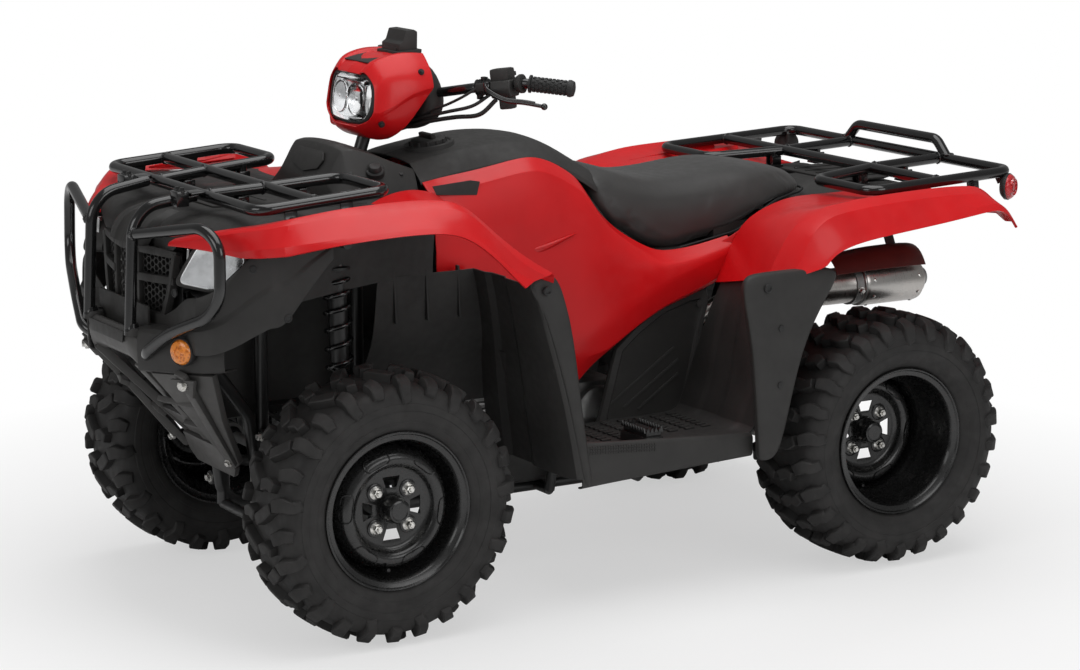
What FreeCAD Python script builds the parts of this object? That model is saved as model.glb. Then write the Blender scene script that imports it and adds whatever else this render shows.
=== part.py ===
# Utility quad bike: a four-wheeled, straddle-seat machine with tubular racks, plastic body panels,
# double-wishbone front suspension, a swingarm with a solid rear axle, and coupled front steering.
# Frame: forward is -Y, the rider's left is +X, up is +Z. The origin is on the ground below the
# middle of the overall length, so the wheels stand on Z = 0. All sizes are in millimetres.
import FreeCAD, Part
import math
import os
import re
from FreeCAD import Vector, Placement, Rotation

doc = FreeCAD.newDocument("QuadBike")

# Driving dimensions, by group. Each becomes an aliased cell of the spreadsheet.
SIZES = {
    # Wheels
    "wheelbase": 1300, "tyre_od": 592, "front_tyre_width": 205, "rear_tyre_width": 250,
    "front_track": 862, "rear_track": 914, "flange_radius": 172, "bead_radius": 153,
    "rim_wall": 5, "front_rim_width": 178, "rear_rim_width": 194, "flange_lip": 6,
    "disc_thickness": 8, "front_disc_inset": 16, "rear_disc_inset": 118, "stud_circle_radius": 55,
    "stud_radius": 8, "stud_length": 16, "window_radius": 15, "window_circle_radius": 88,
    "slot_radius": 11, "slot_circle_radius": 122, "hub_radius": 36, "cap_radius": 27,
    "cap_length": 18, "hub_length": 81, "tyre_wall": 18, "lug_depth": 19, "lug_width": 26,
    "lug_skew": 15,
    # Front axle and knuckles
    "kingpin_x": 385, "ball_height": 75, "kingpin_radius": 8, "upright_radius": 20,
    "eye_radius": 20, "eye_height": 24, "pin_gap": 0.2, "spindle_radius": 17,
    "spindle_gap": 10, "arm_tube_radius": 13, "arm_spread": 118, "arm_rise": 26,
    "arm_bush_radius": 16, "arm_bush_length": 36, "knuckle_gap": 5,
    # Steering
    "steer_arm_back": 100, "steer_arm_in": 20, "steer_arm_rise": 30, "steer_arm_width": 26,
    "steer_arm_thickness": 12, "rod_radius": 8, "rod_eye_radius": 14, "rod_eye_height": 18,
    "rod_pin_radius": 7, "pitman_length": 86, "pitman_thickness": 8, "pitman_width": 76,
    "pitman_z": 396, "pitman_pin_x": 22, "pitman_drop": 8, "column_y": -460,
    "column_z": 1000, "column_tilt": 19, "stem_radius": 15, "stem_top_z": 1098,
    "bush_length": 40, "bush_wall": 9, "upper_bush_z": 842, "lower_bush_z": 452,
    # Frame
    "rail_radius": 15, "rail_x": 105, "lower_rail_z": 192, "upper_rail_z": 842,
    "seat_rail_z": 690, "tail_rail_z": 735, "frame_tail_y": 930, "nose_y": -925,
    "frame_bend": 60, "brace_radius": 12, "outrigger_x": 347, "outrigger_z": 732, "front_case_radius": 50,
    "rear_outrigger_z": 775, "rear_outrigger_x": 330, "shock_x": 238, "shock_top_z": 812,
    # Racks and guard
    "rack_tube_radius": 12.5, "front_rack_x": 388, "front_rack_front_y": -905,
    "front_rack_rear_y": -597, "front_rack_mid_y": -768, "front_rack_z": 939,
    "front_rack_rise": 21, "front_rack_inner_x": 150, "rear_rack_x": 443,
    "rear_rack_front_y": 632, "rear_rack_rear_y": 1045, "rear_rack_mid_y": 830,
    "rear_rack_z": 868, "rear_rack_rise": 18, "rear_rack_inner_x": 180, "rack_bend": 38,
    "handle_x": 205, "handle_rise": 44, "guard_tube_radius": 14, "guard_x": 126,
    "guard_y": -1076, "guard_top_y": -998, "guard_bar_z": 876, "guard_loop_x": 378,
    "guard_loop_y": -1002, "guard_loop_in_x": 196, "guard_low_z": 762, "guard_bend": 45,
    "rack_foot_radius": 9,
    # Body panels
    "panel": 5, "seat_gap": 0.3, "overrun": 20,
    "fender_in_x": 262, "fender_out_x": 573, "fender_front_y": -984, "fender_rear_y": -300,
    "fender_top_z": 974, "fender_fall": 240,
    "rear_fender_in_x": 232, "rear_fender_out_x": 578, "rear_fender_front_y": 200,
    "rear_fender_rear_y": 985, "rear_fender_top_z": 875, "rear_fender_fall": 190,
    "deck_z": 905, "deck_rear_y": -402, "deck_fall": 85,
    "rear_deck_z": 838, "rear_deck_front_y": 600, "rear_deck_rear_y": 962,
    "console_front_y": -614, "console_rear_y": -404, "console_top_z": 1020, "console_x": 165,
    "tank_front_y": -398, "tank_rear_y": 114, "tank_top_z": 1012, "tank_fall": 110, "tank_x": 160,
    "side_front_y": -400, "side_rear_y": 427, "side_top_z": 972, "side_low_z": 430,
    "side_in_x": 170, "side_out_x": 236,
    "seat_front_y": 120, "seat_rear_y": 752, "seat_x": 196, "seat_top_z": 917, "seat_low_z": 717,
    # Footwells and engine covers
    "foot_in_x": 205, "foot_out_x": 520, "floor_z": 350, "foot_front_y": -182,
    "foot_rear_y": 262, "skirt_low_z": 290, "front_flap_x": 505, "front_flap_top_z": 742,
    "front_flap_lean": 118, "front_flap_width": 46, "rear_flap_x": 560, "rear_flap_top_z": 686,
    "peg_length": 100, "peg_height": 40, "peg_width": 36, "cover_gap": 0.3,
    # Nose
    "bumper_y": -1090, "bumper_top_z": 662, "bumper_height": 62, "bumper_depth": 34,
    "bumper_x": 322, "skid_low_z": 300, "skid_low_y": -830, "grille_y": -1006, "grille_x": 166,
    "grille_low_z": 681, "grille_top_z": 819, "grille_depth": 10, "cover_out_x": 388,
    "cover_front_y": -1012, "cover_rear_y": -735, "cover_low_z": 636, "cover_top_z": 880,
    "lamp_x": 300, "lamp_y": -962, "lamp_z": 812, "lamp_depth": 48, "reflector_radius": 29,
    "reflector_depth": 20,
    # Power unit, exhaust, rear axle
    "engine_x": 148, "engine_front_y": -300, "engine_rear_y": 165, "engine_top_z": 470,
    "muffler_x": 296, "muffler_radius": 53, "muffler_neck_radius": 43, "muffler_front_y": 520,
    "muffler_joint_y": 770, "muffler_end_y": 925, "muffler_z": 642, "pipe_radius": 18,
    "housing_radius": 38, "housing_x": 270, "axle_radius": 17, "axle_gap": 0.3,
    "gearcase_radius": 82, "gearcase_x": 58, "pivot_y": 357, "pivot_z": 300,
    "pivot_radius": 18, "hitch_y": 790, "hitch_z": 276, "hitch_hole_radius": 10,
    "hitch_thickness": 8, "hitch_width": 60, "hitch_margin": 26, "shock_radius": 31,
    "shock_rod_radius": 9, "shock_eye_radius": 12, "spring_wire_radius": 6,
    # Bars, head and lamps
    "bar_radius": 11, "bar_y": -318, "bar_z": 1120, "bar_mid_x": 100, "grip_in_x": 320,
    "grip_out_x": 388, "grip_in_y": -222, "grip_out_y": -150, "grip_z": 1157, "grip_fall": 9,
    "grip_radius": 17, "bar_bend": 60, "bar_rise_x": 205, "bar_rise_y": -293, "bar_rise_z": 1139,
    "box_length": 52, "box_radius": 27, "lever_radius": 6,
    "nacelle_x": 130, "nacelle_front_y": -502, "nacelle_rear_y": -345, "nacelle_low_z": 1012,
    "nacelle_top_z": 1208, "lens_bulge": 9, "pod_x": 40, "pod_depth": 32, "pod_top_z": 1258,
    "tail_lamp_radius": 30, "tail_lamp_depth": 30,
}

sheet = doc.addObject("Spreadsheet::Sheet", "Sizes")
for row, (alias, number) in enumerate(SIZES.items(), start=1):
    sheet.set(f"A{row}", alias.replace("_", " "))
    sheet.set(f"B{row}", str(number))
    sheet.setAlias(f"B{row}", alias)
doc.recompute()


class SheetValues:
    # Reads a driving dimension back from the spreadsheet by its alias.
    def __getattr__(self, alias):
        return float(sheet.get(alias))


d = SheetValues()
nodes = {}


def bind(item, **formulas):
    # Ties properties to the sheet: every alias in a formula becomes a cell reference.
    for name, formula in formulas.items():
        item.setExpression(name, re.sub(r"[a-z][a-z_]+", r"Sizes.\g<0>", formula))
    return item


def held(shape, label="Form"):
    # A document object for a shape made with the geometry functions.
    item = doc.addObject("Part::Feature", label)
    item.Shape = shape
    return item


def rod(start, end, radius):
    # A round bar; its radius is a sheet formula.
    start, end = Vector(*start), Vector(*end)
    item = bind(doc.addObject("Part::Cylinder", "Rod"), Radius=radius)
    item.Height = (end - start).Length
    item.Placement = Placement(start, Rotation(Vector(0, 0, 1), end - start))
    return item


def block(low, high):
    low, high = Vector(*low), Vector(*high)
    item = doc.addObject("Part::Box", "Block")
    item.Length, item.Width, item.Height = high - low
    item.Placement = Placement(low, Rotation())
    return item


def fused(items, refine=True):
    if len(items) == 1:
        return items[0]
    item = doc.addObject("Part::MultiFuse", "Joined")
    item.Shapes = items
    item.Refine = refine
    return item


def cut(base, tools):
    item = doc.addObject("Part::Cut", "Cut")
    item.Base = base
    item.Tool = fused(tools)
    item.Refine = True
    return item


def common(first, second):
    item = doc.addObject("Part::Common", "Shared")
    item.Base = first
    item.Tool = second
    return item


def mirrored(source):
    item = doc.addObject("Part::Mirroring", "Mirrored")
    item.Source = source
    item.Normal = Vector(1, 0, 0)
    return item


def both(item):
    return [item, mirrored(item)]


def keep(label, items):
    # One node of the assembly: a labelled object that holds its separate solids.
    if len(items) == 1:
        node = items[0]
    else:
        node = doc.addObject("Part::Compound", label)
        node.Links = items
    node.Label = label
    nodes[label] = node
    return node


def route(points, bend):
    # Straight runs joined by tangent arcs.
    points = [Vector(*p) for p in points]
    edges = []
    start = points[0]
    for before, corner, after in zip(points, points[1:], points[2:]):
        incoming = (before - corner).normalize()
        outgoing = (after - corner).normalize()
        half = incoming.getAngle(outgoing) / 2
        room = min((before - corner).Length, (after - corner).Length) * 0.48
        reach = min(bend / math.tan(half), room)
        turn = reach * math.tan(half)
        first = corner + incoming * reach
        last = corner + outgoing * reach
        middle = (incoming + outgoing).normalize()
        crown = corner + middle * (turn / math.sin(half) - turn)
        edges.append(Part.makeLine(start, first))
        edges.append(Part.Arc(first, crown, last).toShape())
        start = last
    edges.append(Part.makeLine(start, points[-1]))
    return Part.Wire(edges)


def tube(points, radius, bend):
    # A round tube swept along a route; its radius is a sheet formula.
    path = held(route(points, bend), "Route")
    ring = bind(doc.addObject("Part::Circle", "Ring"), Radius=radius)
    start, onward = Vector(*points[0]), Vector(*points[1])
    ring.Placement = Placement(start, Rotation(Vector(0, 0, 1), onward - start))
    sweep = doc.addObject("Part::Sweep", "Tube")
    sweep.Sections = [ring]
    sweep.Spine = (path, [f"Edge{i + 1}" for i in range(len(path.Shape.Edges))])
    sweep.Solid = True
    return sweep


def loft(sections):
    # A ruled solid through closed polygons that have the same number of corners.
    wires = []
    for section in sections:
        corners = [Vector(*p) for p in section]
        wires.append(Part.makePolygon(corners + corners[:1]))
    return Part.makeLoft(wires, True, True)


def plate(outline, direction):
    # A flat polygon pushed along a direction.
    corners = [Vector(*p) for p in outline]
    return held(Part.Face(Part.makePolygon(corners + corners[:1])).extrude(Vector(*direction)), "Plate")


def spun(profile, x, y, z):
    # A profile of (place along X, radius) points turned once about a line along X.
    corners = [Vector(x + along, y, z + radius) for along, radius in profile]
    face = Part.Face(Part.makePolygon(corners + corners[:1]))
    return held(face.revolve(Vector(x, y, z), Vector(1, 0, 0), 360), "Turned")


def inset(line, wall):
    # Moves an open line of (across, up) points to its right-hand side by the wall.
    moved = []
    for i, (a, b) in enumerate(line):
        turns = []
        for p, q in ((i - 1, i), (i, i + 1)):
            if p >= 0 and q < len(line):
                run = (line[q][0] - line[p][0], line[q][1] - line[p][1])
                size = math.hypot(*run)
                turns.append((run[1] / size, -run[0] / size))
        across = sum(t[0] for t in turns) / len(turns)
        up = sum(t[1] for t in turns) / len(turns)
        scale = wall / (across * turns[0][0] + up * turns[0][1])
        moved.append((a + across * scale, b + up * scale))
    return moved


def skin(sections, wall):
    # A shell of even wall: each section is a place along Y and an open line of (x, z) points.
    rings = []
    for y, line in sections:
        ring = line + inset(line, wall)[::-1]
        rings.append([(x, y, z) for x, z in ring])
    return held(loft(rings), "Shell")


def filled(sections, base_z):
    # The solid between a shell's outside and a level below it.
    rings = []
    for y, line in sections:
        ring = [(x, y, z) for x, z in line]
        rings.append([(line[0][0], y, base_z)] + ring + [(line[-1][0], y, base_z)])
    return held(loft(rings), "Core")


def boss(sections, x, y, low_z, high_z):
    # A round boss that hangs from a shell's outer face down to its seat.
    lowest = min(z for y_place, line in sections for x_place, z in line)
    base_z = min(lowest, low_z) - d.overrun
    return common(rod((x, y, low_z), (x, y, high_z), "brace_radius"), filled(sections, base_z))


def on(low, high, share):
    return low + (high - low) * share


front_y = -d.wheelbase / 2
rear_y = d.wheelbase / 2
hub_z = d.tyre_od / 2
lean = math.radians(d.column_tilt)
column = Vector(0, math.sin(lean), math.cos(lean))
column_point = Vector(0, d.column_y, d.column_z)


def on_column(z, back=0, side=0):
    # A point beside the steering column, square to it.
    point = column_point + column * ((z - d.column_z) / column.z)
    return point + Vector(side, back * column.z, -back * column.y)


# Wheels
def make_rim(side_x, width, disc_inset, hub_length, bore):
    # A dished steel rim about X, open face outward, with its disc, hub, studs and cap.
    out = width / 2
    barrel = spun([
        (-out, d.flange_radius), (-out + d.flange_lip, d.flange_radius),
        (-out + d.flange_lip, d.bead_radius), (out - d.flange_lip, d.bead_radius),
        (out - d.flange_lip, d.flange_radius), (out, d.flange_radius),
        (out, d.bead_radius - d.rim_wall), (-out, d.bead_radius - d.rim_wall),
    ], side_x, 0, 0)
    face_x = side_x + out - disc_inset
    back_x = face_x - d.disc_thickness
    disc = rod((back_x, 0, 0), (face_x, 0, 0), "bead_radius - rim_wall / 2")
    holes = []
    for turn in range(4):
        angle = math.radians(90 * turn)
        y, z = d.window_circle_radius * math.cos(angle), d.window_circle_radius * math.sin(angle)
        start = (back_x - d.overrun, y, z)
        holes.append(rod(start, (face_x + d.overrun, y, z), "window_radius"))
    for turn in range(6):
        angle = math.radians(52 + 60 * turn)
        y, z = d.slot_circle_radius * math.cos(angle), d.slot_circle_radius * math.sin(angle)
        holes.append(rod((back_x - d.overrun, y, z), (face_x + d.overrun, y, z), "slot_radius"))
    parts = [barrel, cut(disc, holes)]
    parts.append(rod((back_x - hub_length, 0, 0), (face_x, 0, 0), "hub_radius"))
    parts.append(rod((back_x, 0, 0), (face_x + d.cap_length, 0, 0), "cap_radius"))
    for turn in range(4):
        angle = math.radians(45 + 90 * turn)
        y, z = d.stud_circle_radius * math.cos(angle), d.stud_circle_radius * math.sin(angle)
        parts.append(rod((back_x, y, z), (face_x + d.stud_length, y, z), "stud_radius"))
    whole = fused(parts)
    if bore:
        start = (back_x - hub_length - d.overrun, 0, 0)
        whole = cut(whole, [rod(start, (back_x, 0, 0), "spindle_radius + pin_gap")])
    return whole


# Tyre sections as shares: of half the tyre's width, and of its height above the bead
carcass_shares = [(0.96, 0.5), (0.84, 0.77)]
lug_shares = [(0.03, 1.0), (0.78, 0.97), (0.965, 0.62), (0.87, 0.64), (0.74, 0.785), (0.03, 0.81)]
crown_share = 0.5
bead_share = 0.16
lug_count = 13
tyre_sides = 2 * lug_count


def around(along, radius, angle):
    return Vector(along, radius * math.sin(angle), radius * math.cos(angle))


def faceted(profile, sides):
    # A closed profile of (place along X, radius) points turned about X in flat steps.
    reach = 1 / math.cos(math.pi / sides)
    faces = []
    for turn in range(sides):
        first, last = (2 * math.pi * (turn + step) / sides for step in (-0.5, 0.5))
        for (a, r), (b, s) in zip(profile, profile[1:] + profile[:1]):
            corners = [around(a, r * reach, first), around(b, s * reach, first),
                       around(b, s * reach, last), around(a, r * reach, last)]
            faces.append(Part.Face(Part.makePolygon(corners + corners[:1])))
    return Part.Solid(Part.Shell(faces))


def lug(side, half_width, top):
    # A slanted bar from the crown over the shoulder, its corners on the tyre's outline.
    foot = d.bead_radius
    slant = math.atan2(2 * d.lug_skew, half_width)
    push = Vector(-side * math.sin(slant), math.cos(slant), 0) * (d.lug_width / 2)
    corners = []
    for across, up in lug_shares:
        back = d.lug_skew * (2 * across - 1)
        reach = abs(back) + push.y
        rise = math.sqrt(on(foot, top, up) ** 2 - reach ** 2)
        corners.append(Vector(side * half_width * across, back, rise))
    outline = [corner - push for corner in corners]
    return Part.Face(Part.makePolygon(outline + outline[:1])).extrude(push * 2)


def make_tyre(x, width, rim_width):
    # A tyre about X: an open casing that seats on the rim, with bar lugs fused to its tread.
    # It is turned until a lug's outermost corner stands on the ground.
    bead = rim_width / 2 - d.flange_lip
    half_width = width / 2
    top = d.tyre_od / 2
    wall = d.tyre_wall
    shoulder = half_width * carcass_shares[-1][0]
    half = [(shoulder - wall, top - d.lug_depth - wall), (bead - wall, d.bead_radius),
            (bead, on(d.bead_radius, top, bead_share))]
    half += [(half_width * a, on(d.bead_radius, top, r)) for a, r in carcass_shares]
    half.append((half_width * crown_share, top - d.lug_depth))
    ring = half + [(-a, r) for a, r in half[::-1]]
    casing = faceted(ring, tyre_sides)
    bars = []
    for side, phase in ((1, 0), (-1, 0.5)):
        bar = lug(side, half_width, top)
        for turn in range(lug_count):
            bars.append(bar.rotated(Vector(0, 0, 0), Vector(1, 0, 0), 360 * (turn + phase) / lug_count))
    whole = casing.multiFuse(bars).removeSplitter()
    heel = max(bar.Vertexes, key=lambda corner: math.hypot(corner.Y, corner.Z))
    stance = math.degrees(math.atan2(heel.Y, heel.Z))
    whole.rotate(Vector(0, 0, 0), Vector(1, 0, 0), stance)
    return held(whole.translated(Vector(x, 0, 0)), "Tyre")


def placed(item, y, z):
    # Carries a piece made about the X axis to its axle.
    moved = doc.addObject("Part::Compound", "Placed")
    moved.Links = [item]
    moved.Placement = Placement(Vector(0, y, z), Rotation())
    return moved


front_rim = make_rim(d.front_track / 2, d.front_rim_width, d.front_disc_inset, d.hub_length, True)
front_tyre = make_tyre(d.front_track / 2, d.front_tyre_width, d.front_rim_width)
keep("rim_front_left", [placed(front_rim, front_y, hub_z)])
keep("rim_front_right", [placed(mirrored(front_rim), front_y, hub_z)])
keep("tyre_front_left", [placed(front_tyre, front_y, hub_z)])
keep("tyre_front_right", [placed(mirrored(front_tyre), front_y, hub_z)])
rear_rim = make_rim(d.rear_track / 2, d.rear_rim_width, d.rear_disc_inset, d.hub_length / 2, False)
rear_tyre = make_tyre(d.rear_track / 2, d.rear_tyre_width, d.rear_rim_width)
rear_disc_x = d.rear_track / 2 + d.rear_rim_width / 2 - d.rear_disc_inset - d.disc_thickness
axle_end = rear_disc_x - d.hub_length / 2
keep("rear_rims", [placed(item, rear_y, hub_z) for item in both(rear_rim)])
keep("rear_tyres", [placed(item, rear_y, hub_z) for item in both(rear_tyre)])
axle = bind(doc.addObject("Part::Cylinder", "Axle"), Radius="axle_radius")
axle.Height = 2 * axle_end
axle.Placement = Placement(Vector(-axle_end, rear_y, hub_z), Rotation(Vector(0, 0, 1), Vector(1, 0, 0)))
keep("rear_axle", [axle])

# Knuckles, wishbones and tie rods
kx, top_ball, low_ball = d.kingpin_x, hub_z + d.ball_height, hub_z - d.ball_height
upright_half = d.ball_height - d.arm_tube_radius - d.knuckle_gap
pin_half = d.ball_height + d.eye_height / 2 - d.pin_gap
front_disc_x = d.front_track / 2 + d.front_rim_width / 2 - d.front_disc_inset - d.disc_thickness
ball_x, ball_y = kx - d.steer_arm_in, front_y + d.steer_arm_back
arm_low = hub_z + d.steer_arm_rise - d.steer_arm_thickness / 2
arm_high = arm_low + d.steer_arm_thickness
eye_low = arm_high + d.seat_gap
eye_high = eye_low + d.rod_eye_height
half_arm = d.steer_arm_width / 2
steer_arm = plate([
    (kx - half_arm, front_y, arm_low), (kx + half_arm, front_y, arm_low),
    (ball_x + half_arm, ball_y, arm_low), (ball_x, ball_y + half_arm, arm_low),
    (ball_x - half_arm, ball_y, arm_low),
], (0, 0, d.steer_arm_thickness))
knuckle = fused([
    rod((kx, front_y, hub_z - upright_half), (kx, front_y, hub_z + upright_half), "upright_radius"),
    rod((kx, front_y, hub_z - pin_half), (kx, front_y, hub_z + pin_half), "kingpin_radius"),
    rod((kx, front_y, hub_z), (front_disc_x - d.spindle_gap, front_y, hub_z), "spindle_radius"),
    rod((ball_x, ball_y, arm_low), (ball_x, ball_y, eye_high + d.pin_gap), "rod_pin_radius"),
    steer_arm,
])
keep("knuckle_left", [knuckle])
keep("knuckle_right", [mirrored(knuckle)])

arm_in_x = d.rail_x + d.rail_radius + d.arm_bush_radius + d.seat_gap


def wishbone(ball_z, bush_z):
    half = d.eye_height / 2
    parts = [rod((kx, front_y, ball_z - half), (kx, front_y, ball_z + half), "eye_radius")]
    for side in (-1, 1):
        y = front_y + side * d.arm_spread
        parts.append(rod((kx, front_y, ball_z), (arm_in_x, y, bush_z), "arm_tube_radius"))
        start = (arm_in_x, y - d.arm_bush_length / 2, bush_z)
        parts.append(rod(start, (arm_in_x, y + d.arm_bush_length / 2, bush_z), "arm_bush_radius"))
    low, high = ball_z - d.eye_height, ball_z + d.eye_height
    bore = rod((kx, front_y, low), (kx, front_y, high), "kingpin_radius + pin_gap")
    return cut(fused(parts), [bore])


keep("front_arms", both(wishbone(top_ball, top_ball + d.arm_rise))
     + both(wishbone(low_ball, low_ball + d.arm_rise)))

pin_base = on_column(d.pitman_z, d.pitman_length, d.pitman_pin_x)
rod_z = (eye_low + eye_high) / 2
rod_in = (pin_base.x, pin_base.y, rod_z)
tie = fused([
    rod((ball_x, ball_y, eye_low), (ball_x, ball_y, eye_high), "rod_eye_radius"),
    rod((ball_x, ball_y, rod_z), rod_in, "rod_radius"),
    rod((rod_in[0], rod_in[1], eye_low), (rod_in[0], rod_in[1], eye_high), "rod_eye_radius"),
])
eye_bore = rod((ball_x, ball_y, eye_low - d.overrun), (ball_x, ball_y, eye_high + d.overrun),
               "rod_pin_radius + pin_gap")
tie = cut(tie, [eye_bore])
keep("tie_rod_left", [tie])
keep("tie_rod_right", [mirrored(tie)])

# Steering stem: column, pitman plate and handlebar clamp
stem_low, stem_high = on_column(d.pitman_z), on_column(d.stem_top_z)
half_pitman = d.pitman_width / 2
pitman = loft([[tuple(on_column(d.pitman_z, back, side) + column * rise) for back, side in (
    (-d.stem_radius, -d.stem_radius), (-d.stem_radius, d.stem_radius),
    (d.pitman_length, half_pitman), (d.pitman_length + d.stem_radius, 0),
    (d.pitman_length, -half_pitman))] for rise in (0, d.pitman_thickness)])
clamp_low = d.bar_z - d.bar_radius - d.stem_radius
clamp = block((-d.bar_radius * 2.4, stem_high.y - d.stem_radius, clamp_low),
              (d.bar_radius * 2.4, d.bar_y + d.stem_radius * 1.4, d.bar_z + d.stem_radius * 1.2))
stem = fused([rod(stem_low, stem_high, "stem_radius"), held(pitman, "Pitman"), clamp])
bar_bore = rod((-d.bar_mid_x, d.bar_y, d.bar_z), (d.bar_mid_x, d.bar_y, d.bar_z), "bar_radius + seat_gap")
keep("steering_stem", [cut(stem, [bar_bore])])

# Handlebar, grips and controls
grip_in = Vector(d.grip_in_x, d.grip_in_y, d.grip_z)
grip_out = Vector(d.grip_out_x, d.grip_out_y, d.grip_z - d.grip_fall)
grip_run = (grip_out - grip_in).normalize()
half_bar = [tuple(grip_out), tuple(grip_in), (d.bar_rise_x, d.bar_rise_y, d.bar_rise_z),
            (d.bar_mid_x, d.bar_y, d.bar_z)]
bar_points = half_bar + [(-x, y, z) for x, y, z in reversed(half_bar)]
keep("handlebar", [tube(bar_points, "bar_radius", d.bar_bend)])
grip_length = (grip_out - grip_in).Length
grip_start = grip_in + grip_run * grip_length * 0.08
grip_bore = rod(grip_start - grip_run * d.overrun, grip_out + grip_run * d.seat_gap,
                "bar_radius + seat_gap")
grip = cut(rod(grip_start, grip_out + grip_run * d.bar_radius, "grip_radius"), [grip_bore])
keep("grips", both(grip))
box_mid = on(Vector(*half_bar[2]), grip_in, 0.62)
box_run = (grip_in - Vector(*half_bar[2])).normalize()
box_start = box_mid - box_run * d.box_length / 2
box_end = box_mid + box_run * d.box_length / 2
lever_root = box_mid + Vector(0, -d.box_radius, 0)
lever_bend = lever_root + Vector(d.box_length * 0.5, -d.box_radius * 0.6, -d.box_radius * 0.5)
lever_points = [tuple(lever_root), tuple(lever_bend), (d.grip_out_x, d.grip_in_y, d.grip_z - d.box_length)]
lever = tube(lever_points, "lever_radius", d.box_length / 4)
box_bore = rod(box_start - box_run * d.overrun, box_end + box_run * d.overrun, "bar_radius + seat_gap")
keep("controls", both(cut(fused([rod(box_start, box_end, "box_radius"), lever]), [box_bore])))

# Headlamp nacelle on the bars
nacelle_shares = [
    (0.0, 0.84, 0.20, 0.80), (0.12, 0.93, 0.13, 0.92), (0.36, 0.99, 0.06, 0.97),
    (0.70, 1.0, 0.02, 1.0), (1.0, 0.96, 0.04, 0.98),
]


def nacelle_ring(share, wide, low, high, wall):
    # One eight-cornered section across the nacelle, moved in by the wall.
    y = on(d.nacelle_front_y, d.nacelle_rear_y, share)
    x = d.nacelle_x * wide - wall
    base = on(d.nacelle_low_z, d.nacelle_top_z, low) + wall
    top = on(d.nacelle_low_z, d.nacelle_top_z, high) - wall
    corners = [(0.5, 0.0), (1.0, 0.3), (1.0, 0.72), (0.6, 1.0)]
    side = [(x * a, y, on(base, top, b)) for a, b in corners]
    return side + [(-a, b, c) for a, b, c in reversed(side)]


outer = held(loft([nacelle_ring(*row, 0) for row in nacelle_shares]), "Hood")
inner_rings = [nacelle_ring(*row, d.panel) for row in nacelle_shares]
front_cap = [(x, y - d.overrun, z) for x, y, z in inner_rings[0]]
rear_cap = [(x, y + d.overrun, z) for x, y, z in inner_rings[-1]]
inner = held(loft([front_cap] + inner_rings + [rear_cap]), "Hood space")
stem_hole = rod(on_column(d.column_z - d.overrun), on_column(d.bar_z), "stem_radius + seat_gap")
keep("nacelle", [cut(outer, [inner, stem_hole])])
lens_rings = []
lens_steps = [(-d.lens_bulge, d.nacelle_x * 0.28), (0, d.panel + d.seat_gap), (d.overrun, d.panel * 2)]
for deep, shrink in lens_steps:
    ring = nacelle_ring(*nacelle_shares[0], shrink)
    lens_rings.append([(x, y + deep, z) for x, y, z in ring])
keep("nacelle_lamp", [held(loft(lens_rings), "Lens")])
pod_y = d.nacelle_rear_y - d.pod_depth
pod_back = d.nacelle_rear_y + d.panel
pod = fused([
    block((-d.pod_x, pod_y, d.nacelle_top_z + d.seat_gap), (d.pod_x, pod_back, d.pod_top_z)),
    block((-d.pod_x, d.nacelle_rear_y + d.seat_gap, d.nacelle_top_z - d.pod_x),
          (d.pod_x, pod_back, d.pod_top_z)),
])
keep("display", [pod])

# Frame: two side loops of tube, uprights, crossmembers, brackets and outriggers
rx, top_z, low_z = d.rail_x, d.upper_rail_z, d.lower_rail_z
bumper_back = d.bumper_y + d.panel + d.bumper_depth
upright_y = [front_y - d.arm_spread, front_y + d.arm_spread]
lower_points = [
    (rx, bumper_back + d.seat_gap, d.bumper_top_z - d.bumper_height / 2),
    (rx, d.nose_y - d.rail_radius, d.bumper_top_z - d.bumper_height / 2),
    (rx, on(d.nose_y, upright_y[0], 0.8), on(low_z, top_z, 0.38)),
    (rx, upright_y[0], low_z), (rx, d.engine_rear_y + d.arm_spread, low_z),
    (rx, d.pivot_y, d.pivot_z), (rx, d.seat_rear_y - d.arm_spread * 2.4, d.seat_rail_z),
]
upper_points = [
    (rx, d.nose_y, d.bumper_top_z - d.bumper_height / 2), (rx, d.nose_y, top_z),
    (rx, d.tank_front_y + d.frame_bend, top_z),
    (rx, d.seat_front_y - d.arm_spread, d.seat_rail_z + d.rail_radius),
    (rx, d.seat_front_y + d.arm_spread, d.seat_rail_z),
    (rx, d.seat_rear_y, d.seat_rail_z), (rx, d.frame_tail_y, d.tail_rail_z),
]
side_parts = [tube(points, "rail_radius", d.frame_bend) for points in (lower_points, upper_points)]
for y in upright_y:
    side_parts.append(rod((rx, y, low_z), (rx, y, top_z), "rail_radius"))
tower_z = d.shock_top_z + d.shock_eye_radius + d.brace_radius + d.seat_gap
for y in upright_y:
    side_parts.append(rod((rx, y, top_z), (d.shock_x, front_y, tower_z), "brace_radius"))
fender_post_x = d.fender_in_x + d.brace_radius * 2
side_parts.append(rod((d.shock_x - d.brace_radius, front_y, tower_z),
                      (fender_post_x + d.brace_radius, front_y, tower_z), "brace_radius"))
upper_bush, lower_bush = on_column(d.upper_bush_z), on_column(d.lower_bush_z)
cross_y = [(d.nose_y, top_z), (upper_bush.y, top_z), (d.seat_front_y + d.arm_spread, d.seat_rail_z),
           (d.seat_rear_y, d.seat_rail_z), (d.frame_tail_y - d.rail_radius, d.tail_rail_z),
           (upright_y[0], low_z), (upright_y[1], low_z), (d.engine_rear_y + d.overrun, low_z)]
cross_parts = [rod((-rx, y, z), (rx, y, z), "brace_radius") for y, z in cross_y]
cross_parts.append(rod((-d.outrigger_x, d.nose_y, d.outrigger_z),
                       (d.outrigger_x, d.nose_y, d.outrigger_z), "brace_radius"))
rear_out_y = on(d.rear_fender_front_y, d.rear_fender_rear_y, 0.46)
cross_parts.append(rod((-d.rear_outrigger_x, rear_out_y, d.rear_outrigger_z),
                       (d.rear_outrigger_x, rear_out_y, d.rear_outrigger_z), "brace_radius"))
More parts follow.
